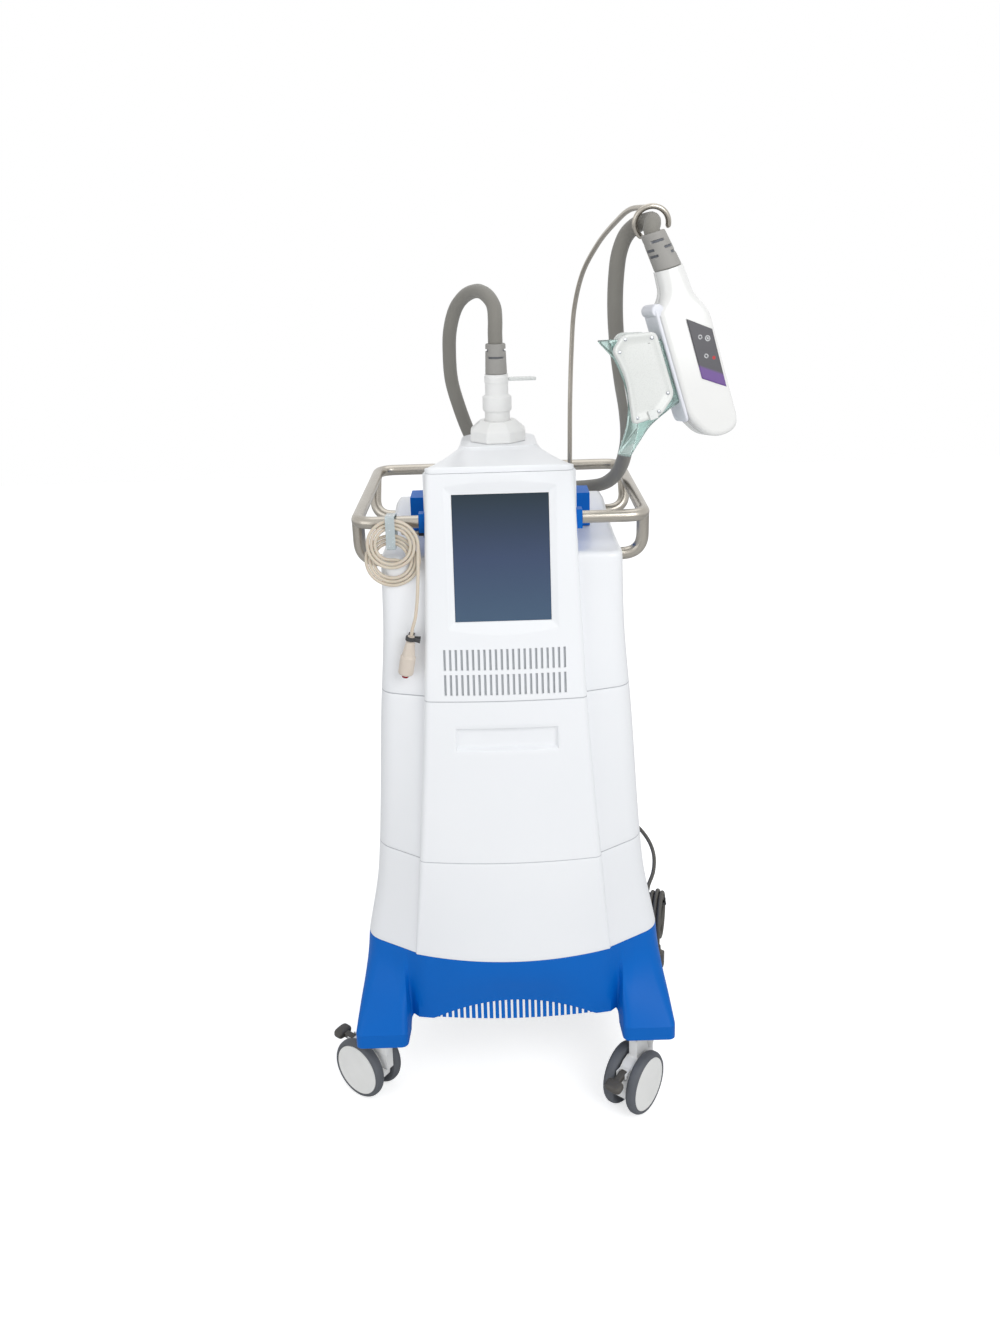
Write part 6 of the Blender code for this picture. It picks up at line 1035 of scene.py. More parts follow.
core_roof = CORE_TOP + FIT
lid_half = COLUMN_HALF_TOP
lid_rear = HOOD_REAR - LID_EDGE
hood_inside = core_half - HOOD_WALL, hood_front + HOOD_WALL, HOOD_REAR - HOOD_WALL, HOOD_ROUND
deck = [deck_loop(*hood_inside, BEZEL_TOP - HOOD_WALL, HOOD_WALL + LID_EDGE),
        deck_loop(*hood_inside, core_roof),
        deck_loop(core_half, hood_front, HOOD_REAR, HOOD_ROUND, core_roof),
        deck_loop(core_half, hood_front, HOOD_REAR, HOOD_ROUND, BEZEL_TOP - LID_EDGE, 2 * LID_EDGE),
        deck_loop(lid_half, hood_front, lid_rear, HOOD_ROUND, BEZEL_TOP + FIT, LID_EDGE),
        deck_loop(lid_half, lid_front, lid_rear, HOOD_ROUND, BEZEL_TOP + 2 * FIT, LID_EDGE - FIT)]
for inset, fall in quarter(LID_EDGE, 6):
    deck.append(deck_loop(lid_half - inset, lid_front + inset, lid_rear - inset, HOOD_ROUND, DECK_TOP - fall,
                          fall / 2))
pedestal_foot = deck_loop(PEDESTAL_HALF, DOCK_Y - PEDESTAL_HALF, DOCK_Y + PEDESTAL_HALF, PEDESTAL_ROUND,
                          PEDESTAL_TOP - 0.004, rear_setback=PEDESTAL_REAR_ROUND)
deck += deck_blend(deck[-1], pedestal_foot, 14, 2.2)
for inset, fall in quarter(PEDESTAL_EDGE, 6):
    half = PEDESTAL_HALF - inset
    deck.append(deck_loop(half, DOCK_Y - half, DOCK_Y + half, PEDESTAL_ROUND, PEDESTAL_TOP - fall,
                          rear_setback=PEDESTAL_REAR_ROUND))
piece("top_deck_white", placed(deck), white_paint, node="top_deck", sharp_deg=50)


# The dock: an octagonal housing of white nylon on the pedestal, and in its socket the hose's
# connector, a stepped turning with a ribbed ring, with a release lever at its top.
NECK_RADIUS, RING_RADIUS, GRIP_RADIUS = 0.0255, 0.0295, 0.0235
RING_LOW, RING_HIGH, GRIP_TOP = 1.411, 1.442, 1.4835
SOCKET_FLOOR = 1.378


def lathe(profile, sides=64):
    """A profile of radius and height turned about Z: each point is the radius times the cosine and sine
    of its angle, at its height. Ends off the axis are closed by a flat cap."""
    radius, height = np.asarray(profile, float).T
    angle = np.linspace(0, 2 * math.pi, sides, endpoint=False)
    return np.stack([radius[:, None] * np.cos(angle), radius[:, None] * np.sin(angle),
                     np.broadcast_to(height[:, None], (len(height), sides))], axis=-1)


def softened(profile, setback, steps=5):
    """A profile with every inner corner rounded by at most a setback, or less on short sides."""
    profile = np.asarray(profile, float)
    run = np.linalg.norm(np.diff(profile, axis=0), axis=1)
    setbacks = np.concatenate([[0], np.minimum(setback, 0.45 * np.minimum(run[1:], run[:-1])), [0]])
    return rounded(profile, setbacks, steps, True)


def refined(node, name, material, width, body="console"):
    """A CAD node's copy, welded and with its flat faces joined, its edges rounded by a live bevel."""
    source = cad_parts[node]
    build = bmesh.new()
    build.from_mesh(source.data)
    build.transform(source.matrix_world)
    bmesh.ops.remove_doubles(build, verts=build.verts, dist=2e-5)
    bmesh.ops.dissolve_limit(build, angle_limit=math.radians(2), verts=build.verts, edges=build.edges)
    bmesh.ops.recalc_face_normals(build, faces=build.faces)
    mesh = bpy.data.meshes.new(name)
    build.to_mesh(mesh)
    build.free()
    mesh.materials.append(material)
    mesh.shade_smooth()
    mesh.set_sharp_from_angle(angle=math.radians(35))
    made = bpy.data.objects.new(name, mesh)
    bpy.context.collection.objects.link(made)
    rim = made.modifiers.new("rounded_edges", "BEVEL")
    rim.width = width
    rim.segments = 3
    rim.angle_limit = math.radians(25)
    rim.harden_normals = True
    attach(made, body)
    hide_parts(node)
    return made


# Injection-moulded nylon: warm white, a little translucent, satin
white_nylon = surfaced("white_moulded_nylon", "#F1F1F0", "#E9E9E7", 1.8, 0.03, 0.38, patch_mm=60,
                       fixed={"Subsurface Weight": 0.06, "Subsurface Radius": (0.003, 0.003, 0.003)})
refined("dock_housing", "dock_housing_nylon", white_nylon, 0.0025)
connector = softened([
    (NECK_RADIUS, SOCKET_FLOOR + FIT), (NECK_RADIUS, RING_LOW - 0.004), (RING_RADIUS, RING_LOW),
    (RING_RADIUS, RING_HIGH - 0.004), (GRIP_RADIUS, RING_HIGH), (GRIP_RADIUS, 1.4655),
    (GRIP_RADIUS + 0.001, 1.467), (GRIP_RADIUS + 0.001, 1.4785), (GRIP_RADIUS, 1.480),
    (GRIP_RADIUS, GRIP_TOP)], 0.002)
piece("dock_connector_nylon", placed(lathe(connector), (0, DOCK_Y, 0)), white_nylon,
      node="dock_connector")
# Acetal: pale, slightly grey, smoother than the nylon round it
pale_acetal = surfaced("pale_acetal", "#E4E6E4", "#D9DCDA", 2.5, 0.01, 0.28, patch_mm=30)
refined("connector_latch", "connector_latch_acetal", pale_acetal, 0.0022, body="latch")


# The strain-relief sleeves at both ends of the hose: grey rubber, moulded with short slits that are
# staggered round them so that the rubber bends with the hose.
SLEEVE_RADIUS, SLEEVE_TOP_RADIUS = 0.022, 0.0202
APPLICATOR_SLEEVE_TOP, APPLICATOR_SLEEVE_LOW = 0.0215, 0.0245
APPLICATOR_SLEEVE_LENGTH, APPLICATOR_SLEEVE_SHIFT = 0.066, 0.010
SLIT_DEPTH = 0.0035


def slitted(low, high, low_radius, high_radius, slits, sides=120, rows=90):
    """A tapering sleeve whose radius drops by the slit depth inside each slit: a slit is a height, a
    half height, an angle and a half angle, and its walls rise over a short way. Also returns how deep
    each point lies in a slit."""
    share = np.linspace(0, 1, rows)[:, None]
    angle = np.linspace(0, 2 * math.pi, sides, endpoint=False)[None, :]
    z = low + (high - low) * share
    depth = np.zeros((rows, sides))
    for height, half_height, middle_deg, half_deg in slits:
        turn = np.abs((angle - math.radians(middle_deg) + math.pi) % (2 * math.pi) - math.pi)
        across = np.clip((math.radians(half_deg) - turn) / 0.09, 0, 1)
        upward = np.clip((half_height - np.abs(z - height)) / 0.0008, 0, 1)
        depth = np.maximum(depth, across * upward)
    rim = 0.0012 * (np.clip(1 - share * 40, 0, 1) + np.clip(1 - (1 - share) * 40, 0, 1))
    radius = low_radius + (high_radius - low_radius) * share - SLIT_DEPTH * depth - rim
    points = np.stack([radius * np.cos(angle), radius * np.sin(angle), z + 0 * radius], axis=-1)
    return points, depth


def shaded(made, name, values):
    """Stores a value from nought to one at each of a mesh's first points, for its material to read."""
    layer = made.data.attributes.new(name, "FLOAT", "POINT")
    layer.data.foreach_set("value", np.asarray(values, np.float32).ravel())


def stored(material, name):
    """A value stored at a mesh's points, as a socket in a material."""
    return add(material.node_tree, "ShaderNodeAttribute", {}, attribute_name=name).outputs["Fac"]


# Moulded rubber: mid grey, dull, with painted shade darkening the slits' floors
grey_rubber = surfaced("grey_moulded_rubber", "#A09E9A", "#94928E", 1.5, 0.08, 0.62, patch_mm=40)
# Painted shade: the deeper a point lies in a slit, the greyer it is
tinted(grey_rubber, stored(grey_rubber, "slit_depth"), "#6A6D74")
dock_slits = [(DOCK_SLEEVE_TOP - 0.0127, 0.0024, 0, 44), (DOCK_SLEEVE_TOP - 0.0127, 0.0024, 180, 44),
              (DOCK_SLEEVE_TOP - 0.0270, 0.0020, 270, 52), (DOCK_SLEEVE_TOP - 0.0270, 0.0020, 90, 52)]
sleeve, slit_depth = slitted(GRIP_TOP + FIT, DOCK_SLEEVE_TOP, SLEEVE_RADIUS, SLEEVE_TOP_RADIUS, dock_slits)
made = piece("dock_sleeve_rubber", placed(sleeve, (0, DOCK_Y, 0)), grey_rubber, node="dock_sleeve",
             merge=False)
shaded(made, "slit_depth", slit_depth)
hand_slits = [(-0.0155, 0.0024, middle, 34) for middle in (252, 12, 132)]
hand_slits += [(-0.0290, 0.0024, middle, 32) for middle in (300, 60, 190)]
hand_slits += [(-0.0400, 0.0024, middle, 30) for middle in (200, 320, 80)]
sleeve, slit_depth = slitted(-APPLICATOR_SLEEVE_LENGTH, 0, APPLICATOR_SLEEVE_LOW, APPLICATOR_SLEEVE_TOP,
                             hand_slits)
sleeve[..., 0] -= sleeve[..., 2] / APPLICATOR_SLEEVE_LENGTH * APPLICATOR_SLEEVE_SHIFT
made = piece("applicator_sleeve_rubber", on_applicator(sleeve), grey_rubber, node="applicator_sleeve",
             merge=False)
shaded(made, "slit_depth", slit_depth)


# The applicator: a flat paddle of two white shells joined at a seam round its edge, drawn in to a
# round neck at the sleeve.
BODY_NECK_HALF, BODY_RIGHT, BODY_LEFT, BODY_LENGTH = 0.0255, 0.0530, -0.0420, 0.375
BODY_HALF_THICK, BODY_EDGE, NECK_EDGE, SHELL_RIM = 0.030, 0.010, 0.021, 0.0006
BODY_SMALL_ROUND, BODY_HEEL_ROUND, BODY_TOE_IN = 0.018, 0.030, 0.004
NECK_START, NECK_RUN, NECK_THINNING = 0.10, 0.085, 0.0055
body_top = -APPLICATOR_SLEEVE_LENGTH - FIT
neck_left, neck_right = APPLICATOR_SLEEVE_SHIFT - BODY_NECK_HALF, APPLICATOR_SLEEVE_SHIFT + BODY_NECK_HALF
# Across, down, and how far the corner is rounded
body_corners = np.array([
    (neck_left, body_top, 0),
    (neck_left - BODY_NECK_HALF * 0.1, body_top - 0.12 * BODY_LENGTH, BODY_SMALL_ROUND),
    (BODY_LEFT, body_top - 0.17 * BODY_LENGTH, BODY_SMALL_ROUND * 0.6),
    (BODY_LEFT, -0.86 * BODY_LENGTH, BODY_HEEL_ROUND / 2),
    (BODY_LEFT + BODY_HEEL_ROUND, -BODY_LENGTH, BODY_HEEL_ROUND),
    (BODY_RIGHT - BODY_TOE_IN, -BODY_LENGTH, BODY_HEEL_ROUND),
    (BODY_RIGHT, -0.41 * BODY_LENGTH, BODY_SMALL_ROUND),
    (neck_right + BODY_NECK_HALF * 0.08, -0.33 * BODY_LENGTH, BODY_SMALL_ROUND * 0.7),
    (neck_right, body_top, 0)])
body_outline = rounded(body_corners[:, :2], body_corners[:, 2], 10, True)
toward_neck = np.clip((body_outline[:, 1] - (body_top - NECK_START)) / NECK_RUN, 0, 1)
toward_neck = toward_neck * toward_neck * (3 - 2 * toward_neck)
edge_round = BODY_EDGE + (NECK_EDGE - BODY_EDGE) * toward_neck
half_thick = BODY_HALF_THICK - NECK_THINNING * toward_neck


def body_row(inset, fall):
    """The outline moved in and back by shares of the edge's own round."""
    line = inward(body_outline, (edge_round * inset)[:, None])
    return np.stack([line[:, 0], -(half_thick - edge_round * fall), line[:, 1]], axis=-1)


# Painted ABS: white and smoother than the console's shells
white_abs = surfaced("white_gloss_abs", "#E9E9E7", "#E2E2E0", 2.0, 0.01, 0.24, spread=0.03, patch_mm=90,
                     fixed={"Coat Weight": 0.2, "Coat Roughness": 0.12})
shell_rows = [np.insert(line, 1, -FIT - out, axis=1)
              for line, out in ((inward(body_outline, SHELL_RIM), 0), (body_outline, SHELL_RIM))]
shell_rows = np.array(shell_rows + [body_row(inset, fall) for inset, fall in quarter(1, 9)])
for node, across, name in (("applicator_shell", 1, "applicator_front_abs"),
                           ("applicator_back", -1, "applicator_back_abs")):
    piece(name, on_applicator(shell_rows * (1, across, 1)), white_abs, node=node, sharp_deg=50)


# The keypad: a printed membrane in a slanted panel, dark grey with a violet foot, two round touch
# marks over a grey and a red one.
KEYPAD_WIDTH, KEYPAD_HEIGHT, KEYPAD_THICK, KEYPAD_EDGE = 0.041, 0.107, 0.0012, 0.0012
keypad_corners = np.array([(0.003, -0.157), (0.001, -0.265), (0.042, -0.294), (0.045, -0.189)])
PRINT_ROWS, PRINT_COLUMNS = 121, 49
MARK_RADIUS = 0.0042
u, v = np.meshgrid(np.linspace(0, 1, PRINT_COLUMNS), np.linspace(0, 1, PRINT_ROWS))
left_edge = keypad_corners[0] + (keypad_corners[1] - keypad_corners[0]) * v[..., None]
right_edge = keypad_corners[3] + (keypad_corners[2] - keypad_corners[3]) * v[..., None]
keypad_plan = left_edge + (right_edge - left_edge) * u[..., None]
nearest = np.minimum(np.minimum(u, 1 - u) * KEYPAD_WIDTH, np.minimum(v, 1 - v) * KEYPAD_HEIGHT)
keypad_out = KEYPAD_THICK * np.clip(nearest / KEYPAD_EDGE, 0, 1)
keypad_y = -BODY_HALF_THICK - FIT - np.stack([keypad_out, 0 * keypad_out])
keypad_rows = np.stack([np.stack([keypad_plan[..., 0], y, keypad_plan[..., 1]], axis=-1) for y in keypad_y])


def marked(centre, radius, width=None):
    """One inside a disc, or on a ring of a width, round a place on the keypad."""
    away = np.linalg.norm(keypad_plan - centre, axis=-1)
    if width is None:
        return np.clip((radius - away) / 0.0005, 0, 1)
    return np.clip((width / 2 - np.abs(away - radius)) / 0.0004 + 0.5, 0, 1)


pale = np.maximum(marked((0.0315, -0.2015), MARK_RADIUS, 0.0016), marked((0.0315, -0.2015), 0.0020))
pale = np.maximum(pale, marked((0.0185, -0.1950), MARK_RADIUS * 0.75, 0.0014))
pale = np.maximum(pale, marked((0.0200, -0.2300), MARK_RADIUS * 0.75, 0.0014))
red = marked((0.0330, -0.2375), MARK_RADIUS * 0.8)
violet = np.clip((v - 0.76) / 0.05, 0, 1)
# Printed polyester film: dark grey, satin
printed = surfaced("printed_membrane", "#4B4A4E", "#535257", 1.0, 0.02, 0.36, patch_mm=30)
made = piece("keypad_membrane", on_applicator(keypad_rows), printed, node="keypad", merge=False,
             faces=plate_faces(np.ones((PRINT_ROWS - 1, PRINT_COLUMNS - 1), bool)))
for name, values, colour in (("violet", violet, "#6A4C8C"), ("pale", pale, "#C9CACC"),
                             ("red", red, "#B3252B")):
    tinted(printed, stored(printed, name), colour)
    shaded(made, name, np.stack([values, values]))


# The cup: a flared trough of clear teal plastic on the applicator's side, its open edge cut back
# between two long lips that take up the skin.
CUP_WALL, CUP_LIP = 0.003, 0.0012
CUP_REACH_SHARES = ((0, 1), (0.25, 0.74), (0.5, 0.62), (0.75, 0.65), (1, 0.82))
cup_base_x = BODY_LEFT - FIT
# Out from the body, top, bottom, half thickness at the ends
CUP_SECTIONS = np.array([(0.000, -0.178, -0.292, 0.020), (0.030, -0.172, -0.300, 0.021),
                         (0.070, -0.163, -0.314, 0.023), (0.100, -0.152, -0.334, 0.026),
                         (0.126, -0.146, -0.352, 0.031)])


def cup_section(out):
    """The cup's top, bottom and half thickness at a reach, on smooth curves through its sections."""
    reach = CUP_SECTIONS[:, 0]
    return [flowing(out, list(zip(reach, CUP_SECTIONS[:, column]))) for column in (1, 2, 3)]


def cup_loop(out, inset):
    """A ring of the cup: its reach is cut back between the two lips, and its width follows its reach."""
    top, bottom, half = cup_section(out)
    low, high, out_half = bottom + inset, top - inset, half - inset
    sides = np.linspace(low, high, 25)[1:-1]
    corners = np.array([(-out_half, high), *[(-out_half, z) for z in sides[::-1]], (-out_half, low),
                        (out_half, low), *[(out_half, z) for z in sides], (out_half, high)])
    setbacks = np.full(len(corners), 0.0002)
    setbacks[[0, 24, 25, -1]] = half * 0.5
    setbacks[[1, 23, 26, -2]] = 0.0002
    line = rounded(corners, np.minimum(setbacks, (high - low) / 24 * 0.95), 5)
    rise = np.clip((line[:, 1] - bottom) / (top - bottom), 0, 1)
    reach = out * flowing(rise, CUP_REACH_SHARES)
    widths = cup_section(reach)[2]
    return np.column_stack([cup_base_x - reach, line[:, 0] * widths / half, line[:, 1]])


cup_reach = CUP_SECTIONS[-1, 0]
cup = [cup_loop(out, 0) for out in np.linspace(0, cup_reach - CUP_LIP, 22)]
cup += [cup_loop(cup_reach - fall, inset)
        for fall, inset in ((0.0003, 0.0004), (0, CUP_LIP), (0.0003, CUP_WALL - 0.0004))]
cup += [cup_loop(out, CUP_WALL) for out in np.linspace(cup_reach - CUP_LIP, CUP_WALL, 21)]
# Clear polycarbonate tinted teal: it lets the white behind show through, darker at its edges
clear_teal = surfaced("clear_teal_polycarbonate", "#E0F3EF", "#D4EEE9", 20, 0.0, 0.12, spread=0.03,
                      patch_mm=70, fixed={"Transmission Weight": 0.85})
piece("cup_polycarbonate", on_applicator(cup), clear_teal, node="cup", sharp_deg=60)


# The cooling plates' covers: two white boxes on the cup's sides, each screwed down by small bright
# screws along its rim, with a latch block at its foot.
PLATE_DEPTH, PLATE_EDGE, PLATE_ROOT, REAR_REACH = 0.009, 0.0035, -0.056, 0.76
SCREW_RADIUS = 0.0032
LATCH_FOOT, LATCH_TOP, LATCH_LEFT, LATCH_RIGHT, LATCH_DEPTH = -0.302, -0.285, -0.1155, -0.0995, 0.0042
plate_corners = np.array([(-0.056, -0.160, 0.012), (-0.118, -0.146, 0.012), (-0.145, -0.166, 0.010),
                          (-0.133, -0.214, 0.030), (-0.147, -0.299, 0.010), (-0.092, -0.302, 0.012),
                          (-0.056, -0.276, 0.012)])
plate_line = rounded(plate_corners[:, :2], plate_corners[:, 2], 9)


def cup_side(x):
    """How far the cup's side stands from its middle at a place along its reach."""
    return cup_section(np.clip(cup_base_x - np.asarray(x, float), 0, cup_reach))[2]


def plate_loop(out, inset):
    """The cover's outline moved in, at a depth away from the cup's side."""
    line = inward(plate_line, inset, True)
    return np.column_stack([line[:, 0], -cup_side(line[:, 0]) - out, line[:, 1]])


plate = [plate_loop(FIT, 0)]
plate += [plate_loop(FIT + PLATE_DEPTH - fall, inset) for inset, fall in quarter(PLATE_EDGE, 6)]
plate += [plate_loop(FIT + PLATE_DEPTH - fall, PLATE_EDGE + inset)
          for fall, inset in ((0, 0.0045), (0.0012, 0.006), (0.0012, 0.016))]
plate = np.array(plate)
screw = [(SCREW_RADIUS, 0), (SCREW_RADIUS, 0.0010), (SCREW_RADIUS * 0.7, 0.0016), (0.0004, 0.0017)]
screw = lathe(softened(screw, 0.0004), 24)
screw_places = np.array([(-0.068, -0.168), (-0.117, -0.155), (-0.134, -0.172), (-0.137, -0.290),
                         (-0.094, -0.293), (-0.068, -0.268)])
block_top = -float(cup_side(-0.11)) - PLATE_DEPTH - FIT
latch_ring = (LATCH_LEFT, 0), (LATCH_RIGHT, 0), (LATCH_RIGHT, LATCH_DEPTH), (LATCH_LEFT, LATCH_DEPTH)
latch_rows = np.array([[(x, block_top - out, z) for x, out in latch_ring] for z in (LATCH_FOOT, LATCH_TOP)])
# Painted ABS, a shade greyer than the paddle's
plate_abs = surfaced("pale_grey_abs", "#DCDEDB", "#D3D5D2", 2.0, 0.01, 0.28, spread=0.03, patch_mm=60,
                     fixed={"Coat Weight": 0.15, "Coat Roughness": 0.15})
# Zinc-plated steel: small bright screws, lightly scratched
bright_screws = surfaced("zinc_plated_screws", "#BFC3C7", "#A9ADB1", 0.6, 0.03, 0.28, patch_mm=4,
                         fixed={"Metallic": 1.0})
root = np.array((PLATE_ROOT, 0, 0))
for name, across, reach in (("front", 1, 1), ("rear", -1, REAR_REACH)):
    node, drawn_in = f"cooling_plate_{name}", (reach, across, 1)
    piece(f"{node}_cover", on_applicator((plate - root) * drawn_in + root), plate_abs,
          node=node, sharp_deg=50)
    heads = [np.stack([screw[..., 0] + PLATE_ROOT + (x - PLATE_ROOT) * reach,
                       (-cup_side(x) - FIT - PLATE_DEPTH + 0.0004 - screw[..., 2]) * across,
                       screw[..., 1] + z], axis=-1) for x, z in screw_places]
    points, faces = joined(heads)
    piece(f"{node}_screws", on_applicator(points), bright_screws, faces=faces)
    piece(f"{node}_latch", on_applicator((latch_rows - root) * drawn_in + root), pale_acetal,
          bevel=0.001)


# The bumper: a soft pale frame round the cup's root on the paddle's side, with a roll at its top
# that is pressed down to let the cup go.
FRAME_THICK, FRAME_HALF, ROLL_RADIUS, ROLL_HALF = 0.0055, 0.0265, 0.0115, 0.024
FRAME_TOP, FRAME_LOW, FRAME_EDGE = -0.122, -0.330, 0.003
FRAME_CORNER, FRAME_INSIDE = 0.012, (0.0208, -0.1765, -0.2935, 0.010)


def frame_loop(half, top, low, setback, x):
    """A rounded rectangle on the paddle's side, at a distance out from it."""
    line = rounded(np.array([(half, top), (-half, top), (-half, low), (half, low)]), np.full(4, setback), 9)
    return np.stack([np.full(len(line), x), line[:, 0], line[:, 1]], axis=-1)


frame_rows = [frame_loop(FRAME_HALF, FRAME_TOP, FRAME_LOW, FRAME_CORNER, BODY_LEFT - FIT)]
for inset, fall in quarter(FRAME_EDGE, 5):
    frame_rows.append(frame_loop(FRAME_HALF - inset, FRAME_TOP - inset, FRAME_LOW + inset, FRAME_CORNER,
                                 BODY_LEFT - FRAME_THICK + fall))
frame_rows += [frame_loop(*FRAME_INSIDE, BODY_LEFT - out) for out in (FRAME_THICK, FIT)]
# Soft vinyl: pale lavender grey, satin
pale_vinyl = surfaced("pale_lavender_vinyl", "#E4E5EA", "#DADCE4", 2.0, 0.04, 0.40, patch_mm=20)
piece("cup_bumper_vinyl", on_applicator(frame_rows), pale_vinyl, wraps=(True, True), sharp_deg=50)
roll = [(0.0004, -ROLL_HALF), (ROLL_RADIUS, -ROLL_HALF), (ROLL_RADIUS, ROLL_HALF), (0.0004, ROLL_HALF)]
roll = lathe(softened(roll, 0.003), 48)[..., [0, 2, 1]] + (BODY_LEFT + 0.0015, 0, FRAME_TOP - 0.006)
piece("cup_release_roll", on_applicator(roll), pale_vinyl, sharp_deg=50)


# The call handset: a stepped beige moulding on the end of its cord, with a red button in its lower
# end, in a small black clip on the side shell.
HANDSET_RADIUS, HANDSET_LENGTH = 0.0150, 0.079
HANDSET_SHARES = ((0.433, 0), (0.433, 0.127), (0.567, 0.152), (0.833, 0.468), (0.833, 0.506), (1, 0.532),
                  (1, 0.962), (0.867, 1))
BUTTON_RADIUS, BUTTON_BORE, BUTTON_DEPTH, BUTTON_PROUD, BUTTON_TRAVEL = 0.0070, 0.0074, 0.010, 0.0075, 0.003
handset = softened([(HANDSET_RADIUS * across, -HANDSET_LENGTH * along) for across, along in HANDSET_SHARES]
                   + [(BUTTON_BORE, -HANDSET_LENGTH), (BUTTON_BORE, -HANDSET_LENGTH + BUTTON_DEPTH)], 0.0018)
# Moulded ABS: beige, satin, yellowed
beige_abs = surfaced("beige_moulded_abs", "#DACFC3", "#CEC2B4", 1.6, 0.03, 0.36, patch_mm=35)
piece("handset_body_abs", placed(lathe(handset, 56), HANDSET_PLACE, HANDSET_TILT_DEG), beige_abs,
      node="handset_body")
button_top = -HANDSET_LENGTH + BUTTON_DEPTH - BUTTON_TRAVEL - FIT
button = softened([(BUTTON_RADIUS, button_top), (BUTTON_RADIUS, -HANDSET_LENGTH - BUTTON_PROUD * 0.6),
                   (BUTTON_RADIUS * 0.75, -HANDSET_LENGTH - BUTTON_PROUD * 0.95),
                   (BUTTON_RADIUS * 0.2, -HANDSET_LENGTH - BUTTON_PROUD)], 0.0015)
# Red cap: glossy moulded plastic
red_cap = surfaced("red_moulded_cap", "#9E1524", "#8A101D", 2.0, 0.01, 0.22, patch_mm=10)
piece("call_button_cap", placed(lathe(button, 40), HANDSET_PLACE, HANDSET_TILT_DEG), red_cap,
      body="button", node="call_button")
# Black nylon: the clip, the socket, the cleat and the mains fittings
black_nylon = surfaced("black_nylon", "#3B3B3D", "#303032", 1.5, 0.04, 0.48, patch_mm=25)
refined("handset_clip", "handset_clip_nylon", black_nylon, 0.0008)
refined("cord_cleat", "cord_cleat_nylon", black_nylon, 0.0015)
refined("mains_inlet", "mains_inlet_nylon", black_nylon, 0.0012)
# Clear vinyl strap: it ties the loops of the call cord to the rail
vinyl_strap = surfaced("clear_vinyl_strap", "#D9E2E4", "#C9D6DA", 3.0, 0.05, 0.22, patch_mm=15,
                       fixed={"Transmission Weight": 0.35})
refined("cord_strap", "cord_strap_vinyl", vinyl_strap, 0.0005)
plug = refined("mains_plug", "mains_plug_rubber", rubber_jacket, 0.0015)
refined("mast_socket", "mast_socket_zinc", satin_steel, 0.0012)


# The casters: twin wheels of 125 mm, grey rubber tyres on white nylon discs, either side of a white
# hood that turns on a stem in the skirt's foot. The front two have a brake pedal.
WHEEL_RADIUS, TYRE_WIDTH, DISC_RADIUS, HALF_TRACK = 0.0625, 0.022, 0.0530, 0.0265
TRAIL, CASTER_X, CASTER_REAR_Y = 0.052, 0.272, 0.218
cap = TYRE_WIDTH / 2
tyre_profile = softened([
    (0.012, -cap + 0.001), (DISC_RADIUS - 0.004, -cap + 0.001), (DISC_RADIUS, -cap),
    (WHEEL_RADIUS - 0.0045, -cap), (WHEEL_RADIUS, -cap * 0.45), (WHEEL_RADIUS, cap * 0.45),
    (WHEEL_RADIUS - 0.0045, cap), (DISC_RADIUS + 0.0012, cap), (DISC_RADIUS + 0.0006, cap - 0.002),
    (0.012, cap - 0.002)], 0.0035)
disc_profile = softened([
    (DISC_RADIUS, cap - 0.0018), (DISC_RADIUS, cap - 0.0006), (DISC_RADIUS - 0.0035, cap - 0.0001),
    (DISC_RADIUS - 0.0060, cap - 0.0008), (DISC_RADIUS * 0.5, cap - 0.0003), (0.0004, cap - 0.0001)], 0.0012)
# Thermoplastic rubber: grey, matt, dusty from the floor
tyre_rubber = surfaced("grey_tyre_rubber", "#5F6268", "#54575C", 1.2, 0.06, 0.66, patch_mm=20)
# Nylon discs: white, satin, a little dulled
disc_nylon = surfaced("white_disc_nylon", "#F0F0EE", "#E6E6E3", 1.5, 0.02, 0.34, patch_mm=30)
# Glass-filled nylon: the pedals, brown grey, scuffed by shoes
scuffed_nylon = surfaced("scuffed_grey_nylon", "#575450", "#494641", 1.2, 0.08, 0.55, patch_mm=12)
PEDAL_HINGE = (0.043, 0.036)
LUG_HALF, LUG_POWER, STEM_POWER = (0.0125, 0.0185, 0.0078), 0.55, 0.45
# Where each caster's stem stands, and its heading in degrees
CASTERS = {"front_left": ((-CASTER_X, CASTER_FRONT_Y), 143), "front_right": ((CASTER_X, CASTER_FRONT_Y), 232),
           "rear_left": ((-CASTER_X, CASTER_REAR_Y), 101), "rear_right": ((CASTER_X, CASTER_REAR_Y), 74)}
# Each pedal's side, its rise in degrees and its reach
PEDALS = (("left", 4, 0.030), ("right", -12, 0.033))


def lug(half, power, rows=24, sides=40):
    """A rounded block: the cosines and sines of a globe's two angles, each raised to a power below one."""
    angles = np.meshgrid(np.linspace(-math.pi / 2, math.pi / 2, rows),
                         np.linspace(0, 2 * math.pi, sides, endpoint=False), indexing="ij")
    waves = np.array([np.cos(angles), np.sin(angles)])
    (down_cos, turn_cos), (down_sin, turn_sin) = np.sign(waves) * np.abs(waves) ** power
    return np.stack([down_cos * turn_cos, down_cos * turn_sin, down_sin], axis=-1) * half


def caster_frame(place, heading_deg):
    """The way a caster heads, the way along its axle, and the axle's middle."""
    heading = math.radians(heading_deg)
    trail = np.array((math.cos(heading), math.sin(heading), 0))
    axle = np.array((-math.sin(heading), math.cos(heading), 0))
    return trail, axle, np.array((*place, WHEEL_RADIUS)) + TRAIL * trail + CONSOLE_PLACE


